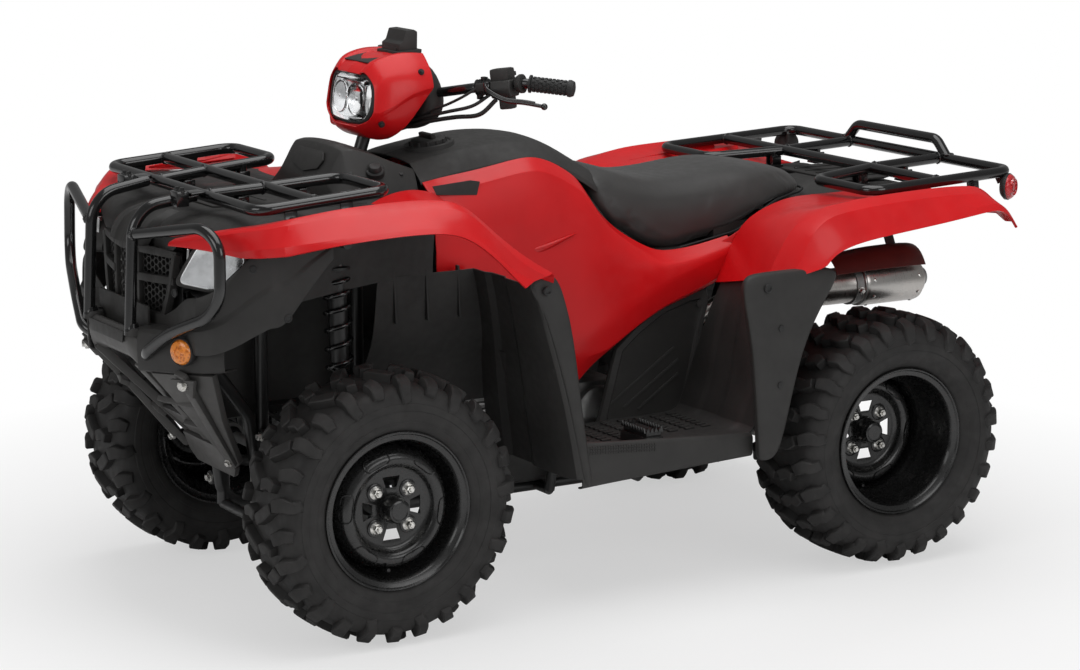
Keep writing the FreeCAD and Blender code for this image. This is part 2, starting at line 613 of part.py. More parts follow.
grille_stay_y, grille_stay_z = d.grille_y + d.grille_depth + d.seat_gap, d.grille_low_z + d.overrun * 3
for x in (-rx, rx):
    cross_parts.append(rod((x, rear_out_y, d.seat_rail_z), (x, rear_out_y, d.rear_outrigger_z),
                           "brace_radius"))
    cross_parts.append(rod((x, d.nose_y, grille_stay_z), (x, grille_stay_y, grille_stay_z),
                           "brace_radius"))
board_z = d.floor_z - d.panel - d.seat_gap - d.brace_radius
board_y = [on(d.foot_front_y, d.foot_rear_y, share) for share in (0.25, 0.8)]
for y in board_y:
    for side in (-1, 1):
        knee = (side * (d.engine_x + d.brace_radius * 2), y, low_z)
        elbow = (side * d.foot_in_x, y, board_z)
        cross_parts.append(rod((side * rx, y, low_z), knee, "brace_radius"))
        cross_parts.append(rod(knee, elbow, "brace_radius"))
        cross_parts.append(rod(elbow, (side * (d.foot_out_x - d.overrun * 2), y, board_z), "brace_radius"))
tray = block((-rx, upright_y[0], lower_bush.z - d.panel), (rx, upright_y[1], lower_bush.z + d.panel))
half_bush = column * (d.bush_length / 2)
bushes = []
for point in (upper_bush, lower_bush):
    bushes.append(rod(point - half_bush, point + half_bush, "stem_radius + bush_wall"))
column_bore = rod(on_column(d.pitman_z), stem_high, "stem_radius + pin_gap")
mount_y, mount_z = d.pivot_y + d.overrun * 2, d.seat_rail_z - d.overrun * 2.4
cross_parts.append(rod((-rx, mount_y, mount_z), (rx, mount_y, mount_z), "brace_radius"))
for x in (-rx, rx):
    cross_parts.append(rod((x, mount_y, mount_z), (x, mount_y, d.seat_rail_z), "brace_radius"))
left_side = fused(side_parts)
chassis = fused([left_side, mirrored(left_side), tray] + cross_parts + bushes)
keep("frame", [cut(chassis, [column_bore])])

# Engine, exhaust, front drive
engine_low = low_z + d.rail_radius + d.seat_gap
engine = doc.addObject("Part::Box", "Engine")
bind(engine, Length="engine_x * 2", Width="engine_rear_y - engine_front_y",
     Height="engine_top_z - lower_rail_z - rail_radius - seat_gap")
engine.Placement = Placement(Vector(-d.engine_x, d.engine_front_y, engine_low), Rotation())
keep("engine", [engine])

pipe_points = [
    (d.engine_x * 0.86, d.engine_rear_y + d.seat_gap, d.engine_top_z - d.overrun * 2),
    (d.engine_x * 0.86, d.engine_rear_y + d.pipe_radius * 2, d.engine_top_z - d.overrun * 2),
]
for wide, along, up in ((1.08, 0.45, 0.45), (1.2, 0.72, 0.86)):
    pipe_points.append((d.engine_x * wide, on(d.engine_rear_y, d.muffler_front_y, along),
                        on(d.engine_top_z, d.muffler_z, up)))
pipe_points.append((d.muffler_x, d.muffler_front_y + d.overrun, d.muffler_z))
muffler = [
    (d.muffler_front_y, d.pipe_radius), (d.muffler_front_y, d.muffler_neck_radius),
    (d.muffler_joint_y, d.muffler_neck_radius), (d.muffler_joint_y, d.muffler_radius),
    (d.muffler_end_y, d.muffler_radius), (d.muffler_end_y + d.overrun, d.muffler_neck_radius * 0.8),
    (d.muffler_end_y + d.overrun, 0), (d.muffler_front_y, 0),
]
corners = [Vector(d.muffler_x, y, d.muffler_z + r) for y, r in muffler]
can = Part.Face(Part.makePolygon(corners + corners[:1]))
can = can.revolve(Vector(d.muffler_x, 0, d.muffler_z), Vector(0, 1, 0), 360)
keep("exhaust", [fused([tube(pipe_points, "pipe_radius", d.frame_bend), held(can, "Muffler")])])

case_x = d.rail_x - d.rail_radius - d.seat_gap
case_y = front_y - d.rail_radius
shaft_x = kx - d.upright_radius * 2
keep("front_drive", [fused([
    rod((-case_x * 0.8, case_y, hub_z), (case_x * 0.8, case_y, hub_z), "front_case_radius"),
    rod((-shaft_x, front_y, hub_z), (shaft_x, front_y, hub_z), "brace_radius"),
    rod((-shaft_x, front_y, hub_z), (-shaft_x + d.hub_radius, front_y, hub_z), "hub_radius - stud_radius"),
    rod((shaft_x - d.hub_radius, front_y, hub_z), (shaft_x, front_y, hub_z), "hub_radius - stud_radius"),
    block((-rx, case_y - d.hub_radius, engine_low), (rx, case_y + d.hub_radius, hub_z - d.hub_radius)),
])])

# Dampers with their coils
def damper(top, low, eye_half_top, eye_half_low):
    # A coil-over: eyes across Y, body, rod, spring seats and the spring's turns as stacked rings.
    top, low = Vector(*top), Vector(*low)
    run = low - top
    along = run / run.Length
    parts = []
    for point, half in ((top, eye_half_top), (low, eye_half_low)):
        parts.append(rod(point - Vector(0, half, 0), point + Vector(0, half, 0), "shock_eye_radius"))
    parts.append(rod(top, top + run * 0.62, "shock_radius - spring_wire_radius * 2.2"))
    parts.append(rod(top, low, "shock_rod_radius"))
    for share in (0.1, 0.84):
        parts.append(rod(top + run * share, top + run * (share + 0.03), "shock_radius"))
    turns = 9
    for turn in range(turns):
        start = top + run * on(0.16, 0.8, turn / (turns - 1))
        parts.append(rod(start, start + along * d.spring_wire_radius * 2, "shock_radius"))
    return fused(parts, False)


shock_low_x = on(kx, arm_in_x, 0.5)
arm_share = (kx - shock_low_x) / (kx - arm_in_x)
shock_low_z = on(top_ball, top_ball + d.arm_rise, arm_share)
spread = d.arm_spread * arm_share
splay = math.atan2(d.arm_spread, kx - arm_in_x)
clear = d.arm_tube_radius / math.cos(splay) + d.shock_eye_radius * math.tan(splay) + d.seat_gap
keep("front_shocks", both(damper((d.shock_x, front_y, d.shock_top_z), (shock_low_x, front_y, shock_low_z),
                                 d.shock_radius * 0.7, spread - clear)))

# Swingarm with the axle housing, final drive and hitch plate
beam_x = d.rail_x - d.rail_radius
housing = rod((-d.housing_x, rear_y, hub_z), (d.housing_x, rear_y, hub_z), "housing_radius")
pivot = rod((-case_x, d.pivot_y, d.pivot_z), (case_x, d.pivot_y, d.pivot_z), "pivot_radius")
gearcase = rod((-d.gearcase_x, rear_y, hub_z), (d.gearcase_x, rear_y, hub_z), "gearcase_radius")
beam_in = beam_x * 0.76
beams = [rod((x, d.pivot_y, d.pivot_z), (x, rear_y, hub_z), "pivot_radius") for x in (-beam_in, beam_in)]
hitch_tail = d.hitch_y + d.hitch_margin
hitch = block((-d.hitch_width / 2, rear_y, d.hitch_z - d.hitch_thickness),
              (d.hitch_width / 2, hitch_tail, d.hitch_z))
shock_foot_y = on(d.pivot_y, rear_y, 0.62)
ledge = block((-beam_in, shock_foot_y - d.overrun, hub_z - d.panel),
              (beam_in, shock_foot_y + d.overrun, hub_z + d.panel))
axle_bore = rod((-d.housing_x - d.overrun, rear_y, hub_z), (d.housing_x + d.overrun, rear_y, hub_z),
                "axle_radius + axle_gap")
hitch_bore = rod((0, d.hitch_y, d.hitch_z - d.overrun), (0, d.hitch_y, d.hitch_z + d.overrun),
                 "hitch_hole_radius")
keep("swingarm", [cut(fused([housing, pivot, gearcase, hitch, ledge] + beams), [axle_bore, hitch_bore])])
rear_low_z = hub_z + d.panel + d.shock_eye_radius + d.seat_gap
rear_top_z = mount_z - d.brace_radius - d.shock_eye_radius - d.seat_gap
keep("rear_shock", [damper((0, mount_y, rear_top_z), (0, shock_foot_y, rear_low_z),
                           d.shock_radius * 0.7, d.shock_radius * 0.7)])

# Front guard of bent tube
foot_z = d.bumper_top_z + d.seat_gap
loop_foot_y = d.bumper_y + d.guard_tube_radius * 1.4
rack_front = d.front_rack_front_y - d.rack_tube_radius - d.guard_tube_radius * 0.06
gx = d.guard_x
post = tube([
    (gx * 1.12, rack_front, d.front_rack_z), (gx * 1.12, d.guard_top_y, d.front_rack_z),
    (gx, d.guard_y, d.guard_bar_z), (gx, d.guard_y, foot_z),
], "guard_tube_radius", d.guard_bend)
bar = rod((-gx, d.guard_y, d.guard_bar_z), (gx, d.guard_y, d.guard_bar_z), "guard_tube_radius")
loop_points = [
    (gx, d.guard_y, d.guard_bar_z), (d.guard_loop_x, d.guard_loop_y, d.guard_bar_z + d.overrun),
    (d.guard_loop_x, d.guard_loop_y, d.guard_low_z), (d.guard_loop_in_x, d.guard_y, foot_z + d.overrun),
    (gx, d.guard_y, foot_z + d.overrun),
]
loop = tube(loop_points, "guard_tube_radius", d.guard_bend)
half_guard = fused([post, loop])
keep("front_guard", [fused([half_guard, mirrored(half_guard), bar])])

# Bumper with its wrapped ends, and the skid plate that tapers down behind it
def bumper_ring(x, y, top, low):
    depth = d.bumper_depth
    return [(x, y, top), (x, y, low), (x, y + depth, low - depth), (x, y + depth, top)]


end_y = d.bumper_y + d.bumper_depth * 2.6
bumper_low = d.bumper_top_z - d.bumper_height
ends = [(d.bumper_x, end_y, d.cover_low_z - d.overrun, bumper_low - d.bumper_height * 0.4),
        (gx * 1.6, d.bumper_y + d.panel, d.bumper_top_z, bumper_low)]
rings = [bumper_ring(*end) for end in ends]
rings += [bumper_ring(-x, *rest) for x, *rest in reversed(ends)]
bumper = held(loft(rings), "Bumper")
skid_shares = [(0.86, 0.0, 0.0), (0.8, 0.34, 0.22), (0.5, 1.0, 0.86), (0.46, 1.0, 1.0)]
skid_top_z = bumper_low - d.overrun
skid_rings = []
for wide, back, down in skid_shares:
    x = d.bumper_x * wide
    y = on(d.bumper_y + d.bumper_depth, d.skid_low_y, back)
    z = on(skid_top_z, d.skid_low_z, down)
    back_y, up_z = y + d.panel * 2, z + d.panel
    skid_rings.append([(-x, y, z), (x, y, z), (x, back_y, up_z), (-x, back_y, up_z)])
keep("skid_plate", [fused([bumper, held(loft(skid_rings), "Skid")])])

# Front rack: outer frame, mid bar, front bars and two rear loops that leave room for the console
def front_rack_z(y):
    share = (y - d.front_rack_front_y) / (d.front_rack_rear_y - d.front_rack_front_y)
    return d.front_rack_z + d.front_rack_rise * share


def on_front_rack(x, y):
    return (x, y, front_rack_z(y))


rack_x, inner_x = d.front_rack_x, d.front_rack_inner_x
rack_y, mid_y, rack_end_y = d.front_rack_front_y, d.front_rack_mid_y, d.front_rack_rear_y
ring_points = [on_front_rack(x, y) for x, y in (
    (0, rack_y), (rack_x, rack_y), (rack_x, rack_end_y), (inner_x * 1.1, rack_end_y), (inner_x, mid_y))]
half_rack = [tube(ring_points, "rack_tube_radius", d.rack_bend)]
half_rack.append(rod(on_front_rack(0, mid_y), on_front_rack(rack_x, mid_y), "rack_tube_radius"))
half_rack.append(rod(on_front_rack(gx, rack_y), on_front_rack(inner_x, mid_y), "rack_tube_radius"))
for x, y in ((inner_x, on(mid_y, rack_end_y, 0.5)), (gx * 1.1, on(rack_y, mid_y, 0.6))):
    half_rack.append(rod((x, y, d.deck_z + d.seat_gap), on_front_rack(x, y), "rack_foot_radius"))
half_rack = fused(half_rack)
keep("front_rack", [fused([half_rack, mirrored(half_rack)])])

# Rear rack: outer frame, mid bar, long bars, raised grab loop at the tail
def on_rear_rack(x, y):
    share = (y - d.rear_rack_front_y) / (d.rear_rack_rear_y - d.rear_rack_front_y)
    return (x, y, d.rear_rack_z + d.rear_rack_rise * share)


back_x, back_in = d.rear_rack_x, d.rear_rack_inner_x
rack_y, mid_y, rack_end_y = d.rear_rack_front_y, d.rear_rack_mid_y, d.rear_rack_rear_y
ring_points = [on_rear_rack(x, y) for x, y in (
    (0, rack_end_y), (back_x, rack_end_y), (back_x, rack_y), (back_in * 1.25, rack_y), (back_in, mid_y))]
half_rack = [tube(ring_points, "rack_tube_radius", d.rack_bend)]
half_rack.append(rod(on_rear_rack(0, mid_y), on_rear_rack(back_x, mid_y), "rack_tube_radius"))
half_rack.append(rod(on_rear_rack(back_in, mid_y), on_rear_rack(back_in, rack_end_y), "rack_tube_radius"))
tail = on_rear_rack(d.handle_x, rack_end_y)
loop_top = tail[2] + d.handle_rise
handle = [tail, (d.handle_x * 0.78, tail[1], loop_top), (0, tail[1], loop_top)]
half_rack.append(tube(handle, "rack_tube_radius", d.rack_bend))
for share in (0.55, 0.92):
    y = on(d.rear_deck_front_y, d.rear_deck_rear_y, share)
    top = on_rear_rack(back_in, y)
    half_rack.append(rod((back_in, y, d.rear_deck_z + d.seat_gap), top, "rack_foot_radius"))
half_rack = fused(half_rack)
keep("rear_rack", [fused([half_rack, mirrored(half_rack)])])
lamp_y = d.rear_rack_rear_y + d.rack_tube_radius + d.seat_gap
lamp_z = on_rear_rack(0, d.rear_rack_rear_y)[2] - d.rack_tube_radius
lamp_x = back_x - d.rack_bend + d.tail_lamp_radius
lamp = rod((lamp_x, lamp_y, lamp_z), (lamp_x, lamp_y + d.tail_lamp_depth, lamp_z), "tail_lamp_radius")
keep("tail_lamps", both(lamp))

# Front fenders: rows of (along, inner, step, crease, low) shares; the drops are of the fender's fall
front_fender_shares = [
    (0.0, 0.40, 0.30, 0.25, 0.40), (0.03, 0.33, 0.21, 0.17, 0.385), (0.14, 0.285, 0.13, 0.08, 0.375),
    (0.39, 0.265, 0.10, 0.03, 0.345), (0.575, 0.265, 0.08, 0.0, 0.335), (0.66, 0.29, 0.12, 0.04, 0.375),
    (0.73, 0.37, 0.22, 0.15, 0.465), (0.815, 0.565, 0.475, 0.42, 0.675), (0.91, 0.77, 0.69, 0.63, 0.90),
    (1.0, 0.94, 0.87, 0.83, 0.995),
]
narrow_shares = [0, 0, 0, 0, 0, 0.16, 0.4, 0.55, 0.57, 0.57]


def fender_line(row, narrow, x_in, x_out, top, fall):
    # Inner deck, step up, flat rim, crease and outer band of one fender section.
    inner, step, crease, low = (top - fall * share for share in row)
    width = x_out - x_in
    first = x_in + width * narrow
    steps = [first, on(first, x_out, 0.58), on(first, x_out, 0.67), on(first, x_out, 0.85), x_out]
    return list(zip(steps, (inner, inner, step, crease, low)))


front_fender = []
for (along, *row), narrow in zip(front_fender_shares, narrow_shares):
    y = on(d.fender_front_y, d.fender_rear_y, along)
    line = fender_line(row, narrow, d.fender_in_x, d.fender_out_x, d.fender_top_z, d.fender_fall)
    front_fender.append((y, line))
tower_top = tower_z + d.brace_radius + d.seat_gap
fender_foot = boss(front_fender, fender_post_x, front_y, tower_top, d.fender_top_z)
keep("front_fenders", both(fused([skin(front_fender, d.panel), fender_foot])))

# Rear fenders
rear_fender_shares = [
    (0.0, 1.06, 0.97, 0.90, 1.0), (0.03, 0.93, 0.80, 0.73, 0.95), (0.095, 0.56, 0.40, 0.31, 0.87),
    (0.205, 0.27, 0.16, 0.13, 0.84), (0.31, 0.21, 0.10, 0.08, 0.76), (0.49, 0.20, 0.04, 0.025, 0.66),
    (0.71, 0.20, 0.02, 0.0, 0.56), (0.84, 0.205, 0.03, 0.005, 0.49), (0.94, 0.25, 0.16, 0.14, 0.52),
    (1.0, 0.42, 0.38, 0.36, 0.575),
]
rear_fender = []
for along, *row in rear_fender_shares:
    y = on(d.rear_fender_front_y, d.rear_fender_rear_y, along)
    rear_fender.append((y, fender_line(row, 0, d.rear_fender_in_x, d.rear_fender_out_x,
                                       d.rear_fender_top_z, d.rear_fender_fall)))
rear_out_top = d.rear_outrigger_z + d.brace_radius + d.seat_gap
rear_foot_x = on(d.rear_fender_in_x, d.rear_outrigger_x, 0.6)
rear_foot = boss(rear_fender, rear_foot_x, rear_out_y, rear_out_top, d.rear_fender_top_z)
keep("rear_fenders", both(fused([skin(rear_fender, d.panel), rear_foot])))


def half_to_whole(line):
    # Completes an open line that starts at the middle of the vehicle.
    return [(-x, z) for x, z in reversed(line[1:])] + line


# Front deck: the black panel between the fenders, from the nose to the console
deck_shares = [(0.0, 1.0), (0.06, 0.45), (0.14, 0.10), (0.22, 0.0), (1.0, 0.0)]
deck = []
deck_x = d.fender_in_x - d.panel - d.seat_gap
deck_front_y = d.grille_y + d.grille_depth + d.seat_gap
for along, drop in deck_shares:
    y = on(deck_front_y, d.deck_rear_y, along)
    z = d.deck_z - d.deck_fall * drop
    deck.append((y, half_to_whole([(0, z), (deck_x * 0.6, z), (deck_x, z - d.panel * drop)])))
deck_foot_y = d.nose_y + d.frame_bend * 2
deck_feet = []
for x in (-rx, rx):
    deck_feet.append(boss(deck, x, deck_foot_y, top_z + d.rail_radius + d.seat_gap, d.deck_z + d.overrun))
stem_clear = rod(on_column(top_z), on_column(d.bar_z), "stem_radius + stud_radius")
keep("front_top_cover", [cut(fused([skin(deck, d.panel)] + deck_feet), [stem_clear])])

# Console: the raised cover ahead of the bars
console_shares = [(0.0, 0.72), (0.12, 0.14), (0.26, 0.0), (0.45, 0.06), (0.7, 0.3), (1.0, 0.5)]
console = []
for along, drop in console_shares:
    y = on(d.console_front_y, d.console_rear_y, along)
    base = d.deck_z + d.panel / 2
    top = on(d.console_top_z, base, drop)
    x = d.console_x
    line = [(0, top), (x * 0.6, on(base, top, 0.92)), (x * 0.92, on(base, top, 0.7)), (x, base)]
    console.append((y, half_to_whole(line)))
keep("console", [cut(skin(console, d.panel), [stem_clear])])

# Tank cover between the rider's knees
tank_shares = [
    (0.0, 0.62, 0.36, 0.26), (0.16, 0.50, 0.22, 0.18), (0.45, 0.40, 0.16, 0.0), (0.68, 0.44, 0.33, 0.17),
    (0.88, 0.72, 0.58, 0.50), (1.0, 0.95, 0.82, 0.76),
]
tank = []
for along, low, shoulder, crown in tank_shares:
    y = on(d.tank_front_y, d.tank_rear_y, along)
    low, shoulder, crown = (d.tank_top_z - d.tank_fall * share for share in (low, shoulder, crown))
    line = [(0, crown), (d.tank_x * 0.75, shoulder), (d.tank_x, low), (d.tank_x, low - d.panel * 2)]
    tank.append((y, half_to_whole(line)))
tank_foot_y = d.tank_front_y + d.brace_radius * 1.2
tank_feet = []
for x in (-rx, rx):
    tank_feet.append(boss(tank, x, tank_foot_y, top_z + d.rail_radius + d.seat_gap, d.tank_top_z))
keep("tank_cover", [fused([skin(tank, d.panel)] + tank_feet)])

# Side panels: each section is a vertical line from the tank cover down to the engine cover
side_shares = [
    (0.0, 0.06, 0.60), (0.12, 0.05, 0.70), (0.33, 0.03, 0.76), (0.5, 0.16, 1.0), (0.574, 0.25, 0.86),
    (0.63, 0.36, 0.80), (0.745, 0.47, 0.73), (0.915, 0.43, 0.61), (1.0, 0.42, 0.50),
]
side = []
for along, top, low in side_shares:
    y = on(d.side_front_y, d.side_rear_y, along)
    high, base = (on(d.side_top_z, d.side_low_z, share) for share in (top, low))
    wide = d.side_out_x - d.side_in_x
    line = [(d.side_in_x, high), (d.side_in_x + wide * 0.8, on(high, base, 0.28)),
            (d.side_out_x, on(high, base, 0.55)), (d.side_in_x + wide * 0.55, base)]
    side.append((y, line))
peg_y = d.seat_front_y + d.arm_spread
peg_inner = rod((rx + d.rail_radius + d.seat_gap, peg_y, d.seat_rail_z),
                (d.side_out_x, peg_y, d.seat_rail_z), "brace_radius")
side_core = []
for y, line in side:
    side_core.append([(0, y, line[0][1])] + [(x, y, z) for x, z in line] + [(0, y, line[-1][1])])
side_peg = common(peg_inner, held(loft(side_core), "Core"))
keep("side_panels", both(fused([skin(side, d.panel), side_peg])))

# Seat cushion, a closed solid on rubber feet
seat_shares = [
    (0.0, 0.34, 0.05, 0.72), (0.1, 0.13, 0.08, 0.8), (0.2, 0.02, 0.14, 0.88), (0.35, 0.04, 0.17, 0.95),
    (0.5, 0.13, 0.12, 1.0), (0.66, 0.30, 0.07, 1.0), (0.82, 0.54, 0.11, 0.95), (0.93, 0.56, 0.22, 0.85),
    (1.0, 0.60, 0.42, 0.72),
]
seat_rings = []
for along, low, drop, wide in seat_shares:
    y = on(d.seat_front_y, d.seat_rear_y, along)
    base = on(d.seat_low_z, d.seat_top_z, low)
    crown = on(d.seat_top_z, d.seat_low_z, drop)
    x = d.seat_x * wide
    half = [(x * 0.86, base), (x, on(base, crown, 0.35)), (x * 0.94, on(base, crown, 0.78)),
            (x * 0.5, crown)]
    ring = [(a, y, b) for a, b in half] + [(-a, y, b) for a, b in reversed(half)]
    seat_rings.append(ring)
rail_top = d.seat_rail_z + d.rail_radius + d.seat_gap
seat_parts = [held(loft(seat_rings), "Cushion")]
for share in (0.24, 0.46):
    y = on(d.seat_front_y, d.seat_rear_y, share)
    for x in (-rx, rx):
        seat_parts.append(rod((x, y, rail_top), (x, y, d.seat_low_z + d.overrun * 2), "brace_radius"))
keep("seat", [fused(seat_parts)])

# Rear deck behind the seat, under the rear rack
rear_deck_shares = [(0.0, 0.48), (0.12, 0.38), (0.46, 0.0), (0.96, 0.0), (1.0, 0.4)]
rear_deck = []
rear_deck_x = d.rear_fender_in_x - d.panel - d.seat_gap
for along, drop in rear_deck_shares:
    y = on(d.rear_deck_front_y, d.rear_deck_rear_y, along)
    z = d.rear_deck_z - (d.rear_deck_z - d.tail_rail_z) * drop
    rear_deck.append((y, half_to_whole([(0, z), (rear_deck_x * 0.7, z), (rear_deck_x, z)])))
tail_y = on(d.rear_deck_front_y, d.rear_deck_rear_y, 0.8)
tail_share = (tail_y - d.seat_rear_y) / (d.frame_tail_y - d.seat_rear_y)
tail_top = on(d.seat_rail_z, d.tail_rail_z, tail_share) + d.rail_radius / math.cos(math.atan2(
    d.tail_rail_z - d.seat_rail_z, d.frame_tail_y - d.seat_rear_y)) + d.seat_gap
deck_feet = []
for x in (-rx, rx):
    foot_low = tail_top + d.brace_radius * 0.26
    deck_feet.append(boss(rear_deck, x, tail_y, foot_low, d.rear_deck_z + d.overrun))
keep("rear_top_cover", [fused([skin(rear_deck, d.panel)] + deck_feet)])

# Footwells: floor, outer skirt, front and rear walls, the two flaps and a toothed peg a side
fx, ox, wall = d.foot_in_x, d.foot_out_x, d.panel
wall_x = d.side_out_x + d.seat_gap
floor = block((fx, d.foot_front_y - wall / 2, d.floor_z - wall),
              (ox - wall / 2, d.foot_rear_y + wall / 2, d.floor_z))
skirt = block((ox - wall, d.foot_front_y - wall / 2, d.skirt_low_z + wall),
              (ox, d.foot_rear_y + wall / 2, d.floor_z + wall * 3))
lean_y = d.foot_front_y - d.front_flap_lean
front_foot_y, rear_foot_y = d.foot_front_y, d.foot_rear_y
bend_z = d.floor_z + wall * 4
wall_top = d.front_flap_top_z * 0.86
front_wall = plate([
    (wall_x, front_foot_y, d.skirt_low_z), (wall_x, front_foot_y, bend_z),
    (wall_x, lean_y + wall, wall_top), (wall_x, lean_y, wall_top),
    (wall_x, front_foot_y - wall, bend_z), (wall_x, front_foot_y - wall, d.skirt_low_z),
], (ox - wall * 2 - wall_x, 0, 0))
blade_x = d.front_flap_x
flap_width = d.front_flap_width
front_blade = plate([
    (blade_x, front_foot_y - wall * 2, d.skirt_low_z - wall),
    (blade_x, front_foot_y + wall * 2, d.skirt_low_z - wall),
    (blade_x, lean_y + flap_width * 1.1, d.front_flap_top_z * 0.78),
    (blade_x, lean_y + flap_width * 0.6, d.front_flap_top_z),
    (blade_x, lean_y - wall, d.front_flap_top_z * 0.96),
    (blade_x, lean_y + flap_width * 0.1, d.front_flap_top_z * 0.78),
], (ox - blade_x + wall, 0, 0))
flap_top = d.rear_flap_top_z
step = d.overrun * 3
rear_wall = plate([
    (wall_x, rear_foot_y, d.skirt_low_z), (wall_x, rear_foot_y, bend_z),
    (wall_x, rear_foot_y + step / 2, bend_z + step), (wall_x, rear_foot_y + step, flap_top),
    (wall_x, rear_foot_y + step + wall, flap_top), (wall_x, rear_foot_y + step / 2 + wall, bend_z + step),
    (wall_x, rear_foot_y + wall, bend_z), (wall_x, rear_foot_y + wall, d.skirt_low_z),
], (d.rear_flap_x - wall - wall_x, 0, 0))
blade_in = d.rear_flap_x - step / 1.5
rear_blade = plate([
    (blade_in, rear_foot_y - wall * 2, d.skirt_low_z - wall),
    (blade_in, rear_foot_y + step * 0.7, d.skirt_low_z - wall),
    (blade_in, rear_foot_y + step * 1.5, bend_z + step * 2.8),
    (blade_in, rear_foot_y + step * 3, flap_top + wall),
    (blade_in, rear_foot_y - step / 2, flap_top + wall),
    (blade_in, rear_foot_y - wall * 3, bend_z + step),
], (step / 1.5, 0, 0))
peg_mid = on(d.foot_front_y, d.foot_rear_y, 0.42)
peg_x = ox - d.overrun - d.peg_length
peg = block((peg_x, peg_mid - d.peg_width / 2, d.floor_z - wall),
            (peg_x + d.peg_length, peg_mid + d.peg_width / 2, d.floor_z + d.peg_height))
keep("footwells", both(fused([floor, skirt, front_wall, front_blade, rear_wall, rear_blade, peg])))

# Engine covers: flat guards between side panels and floor
cover_out = fx - d.cover_gap
cover = plate([
    (cover_out - wall, d.foot_front_y + wall, d.floor_z), (cover_out - wall, d.foot_rear_y, d.floor_z),
    (cover_out - wall, d.foot_rear_y + d.overrun * 4, d.side_low_z * 1.42),
    (cover_out - wall, on(d.side_front_y, d.side_rear_y, 0.5), d.side_low_z - d.panel),
    (cover_out - wall, d.foot_front_y, d.side_low_z * 1.1),
], (wall, 0, 0))
keep("engine_covers", both(cover))

# Grille, side covers, headlamps and reflectors
grille = block((-d.grille_x, d.grille_y, d.grille_low_z),
               (d.grille_x, d.grille_y + d.grille_depth, d.grille_top_z))
slots = []
for column_index in range(7):
    for row_index in range(4):
        x = on(-d.grille_x, d.grille_x, (column_index + 1) / 8)
        z = on(d.grille_low_z, d.grille_top_z, (row_index + 1) / 5)
        slots.append(rod((x, d.grille_y - d.overrun, z), (x, d.grille_y + d.overrun, z), "brace_radius"))
keep("grille", [cut(grille, slots)])

cover_shares = [(0.0, 0.0, 0.08, 0.26), (0.55, 0.0, 0.0, 0.52), (0.80, 0.14, 0.06, 0.80),
                (0.985, 0.48, 0.24, 0.98), (1.0, 1.0, 0.80, 1.0)]
cover_in = d.grille_x + d.panel + d.seat_gap
cover_plan = []
for wide, back, low, high in cover_shares:
    x = on(cover_in, d.cover_out_x, wide)
    y = on(d.cover_front_y, d.cover_rear_y, back)
    cover_plan.append((x, y, on(d.cover_low_z, d.cover_top_z, low), on(d.cover_low_z, d.cover_top_z, high)))
plan = inset([(x, y) for x, y, low, high in cover_plan], d.panel)
if plan[1][1] < cover_plan[1][1]:
    plan = inset([(x, y) for x, y, low, high in cover_plan], -d.panel)
cover_rings = []
for (x, y, low, high), (ix, iy) in zip(cover_plan, plan):
    cover_rings.append([(x, y, low), (x, y, high), (ix, iy, high), (ix, iy, low)])
keep("front_side_covers", both(held(loft(cover_rings), "Side cover")))

lamp_shares = [(-0.50, -0.34), (-0.24, 0.50), (0.26, 0.54), (0.40, 0.12), (0.02, -0.50)]
lamp_sweep_share, lamp_rake_share = 1.3, 0.08
lamp_size = d.frame_bend * 1.7
face = []
for a, c in lamp_shares:
    sweep = lamp_size * (lamp_sweep_share * a + lamp_rake_share * c)
    face.append((d.lamp_x + lamp_size * a, d.lamp_y + sweep, d.lamp_z + lamp_size * c))
back = [(x, y + d.lamp_depth, z) for x, y, z in face]
lamp_stay = rod((d.lamp_x, d.nose_y, d.outrigger_z + d.brace_radius + d.seat_gap),
                (d.lamp_x, d.nose_y, d.lamp_z), "brace_radius")
keep("headlamps", both(fused([held(loft([face, back]), "Lamp"), lamp_stay])))

mid_x = (cover_plan[1][0] + cover_plan[2][0]) / 2
mid_y = (cover_plan[1][1] + cover_plan[2][1]) / 2
side_run = Vector(cover_plan[2][0] - cover_plan[1][0], cover_plan[2][1] - cover_plan[1][1], 0).normalize()
outward = Vector(side_run.y, -side_run.x, 0)
disc_z = d.cover_low_z + d.reflector_radius * 0.75
disc_start = Vector(mid_x, mid_y, disc_z) + outward * d.seat_gap
keep("reflectors", both(rod(disc_start, disc_start + outward * d.reflector_depth, "reflector_radius")))

doc.recompute()
for item in doc.Objects:
    if "Invalid" in item.State or "Error" in item.State:
        raise RuntimeError(f"{item.Label} did not build: {item.State}")
for label, item in nodes.items():
    if item.Shape.isNull() or not item.Shape.isValid():
        raise RuntimeError(f"{label} has no valid shape")
os.makedirs("parts", exist_ok=True)
for label, item in nodes.items():
    item.Shape.exportStep(f"parts/{label}.step")
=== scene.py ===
import math

import bmesh
import bpy
from mathutils import Matrix, Vector


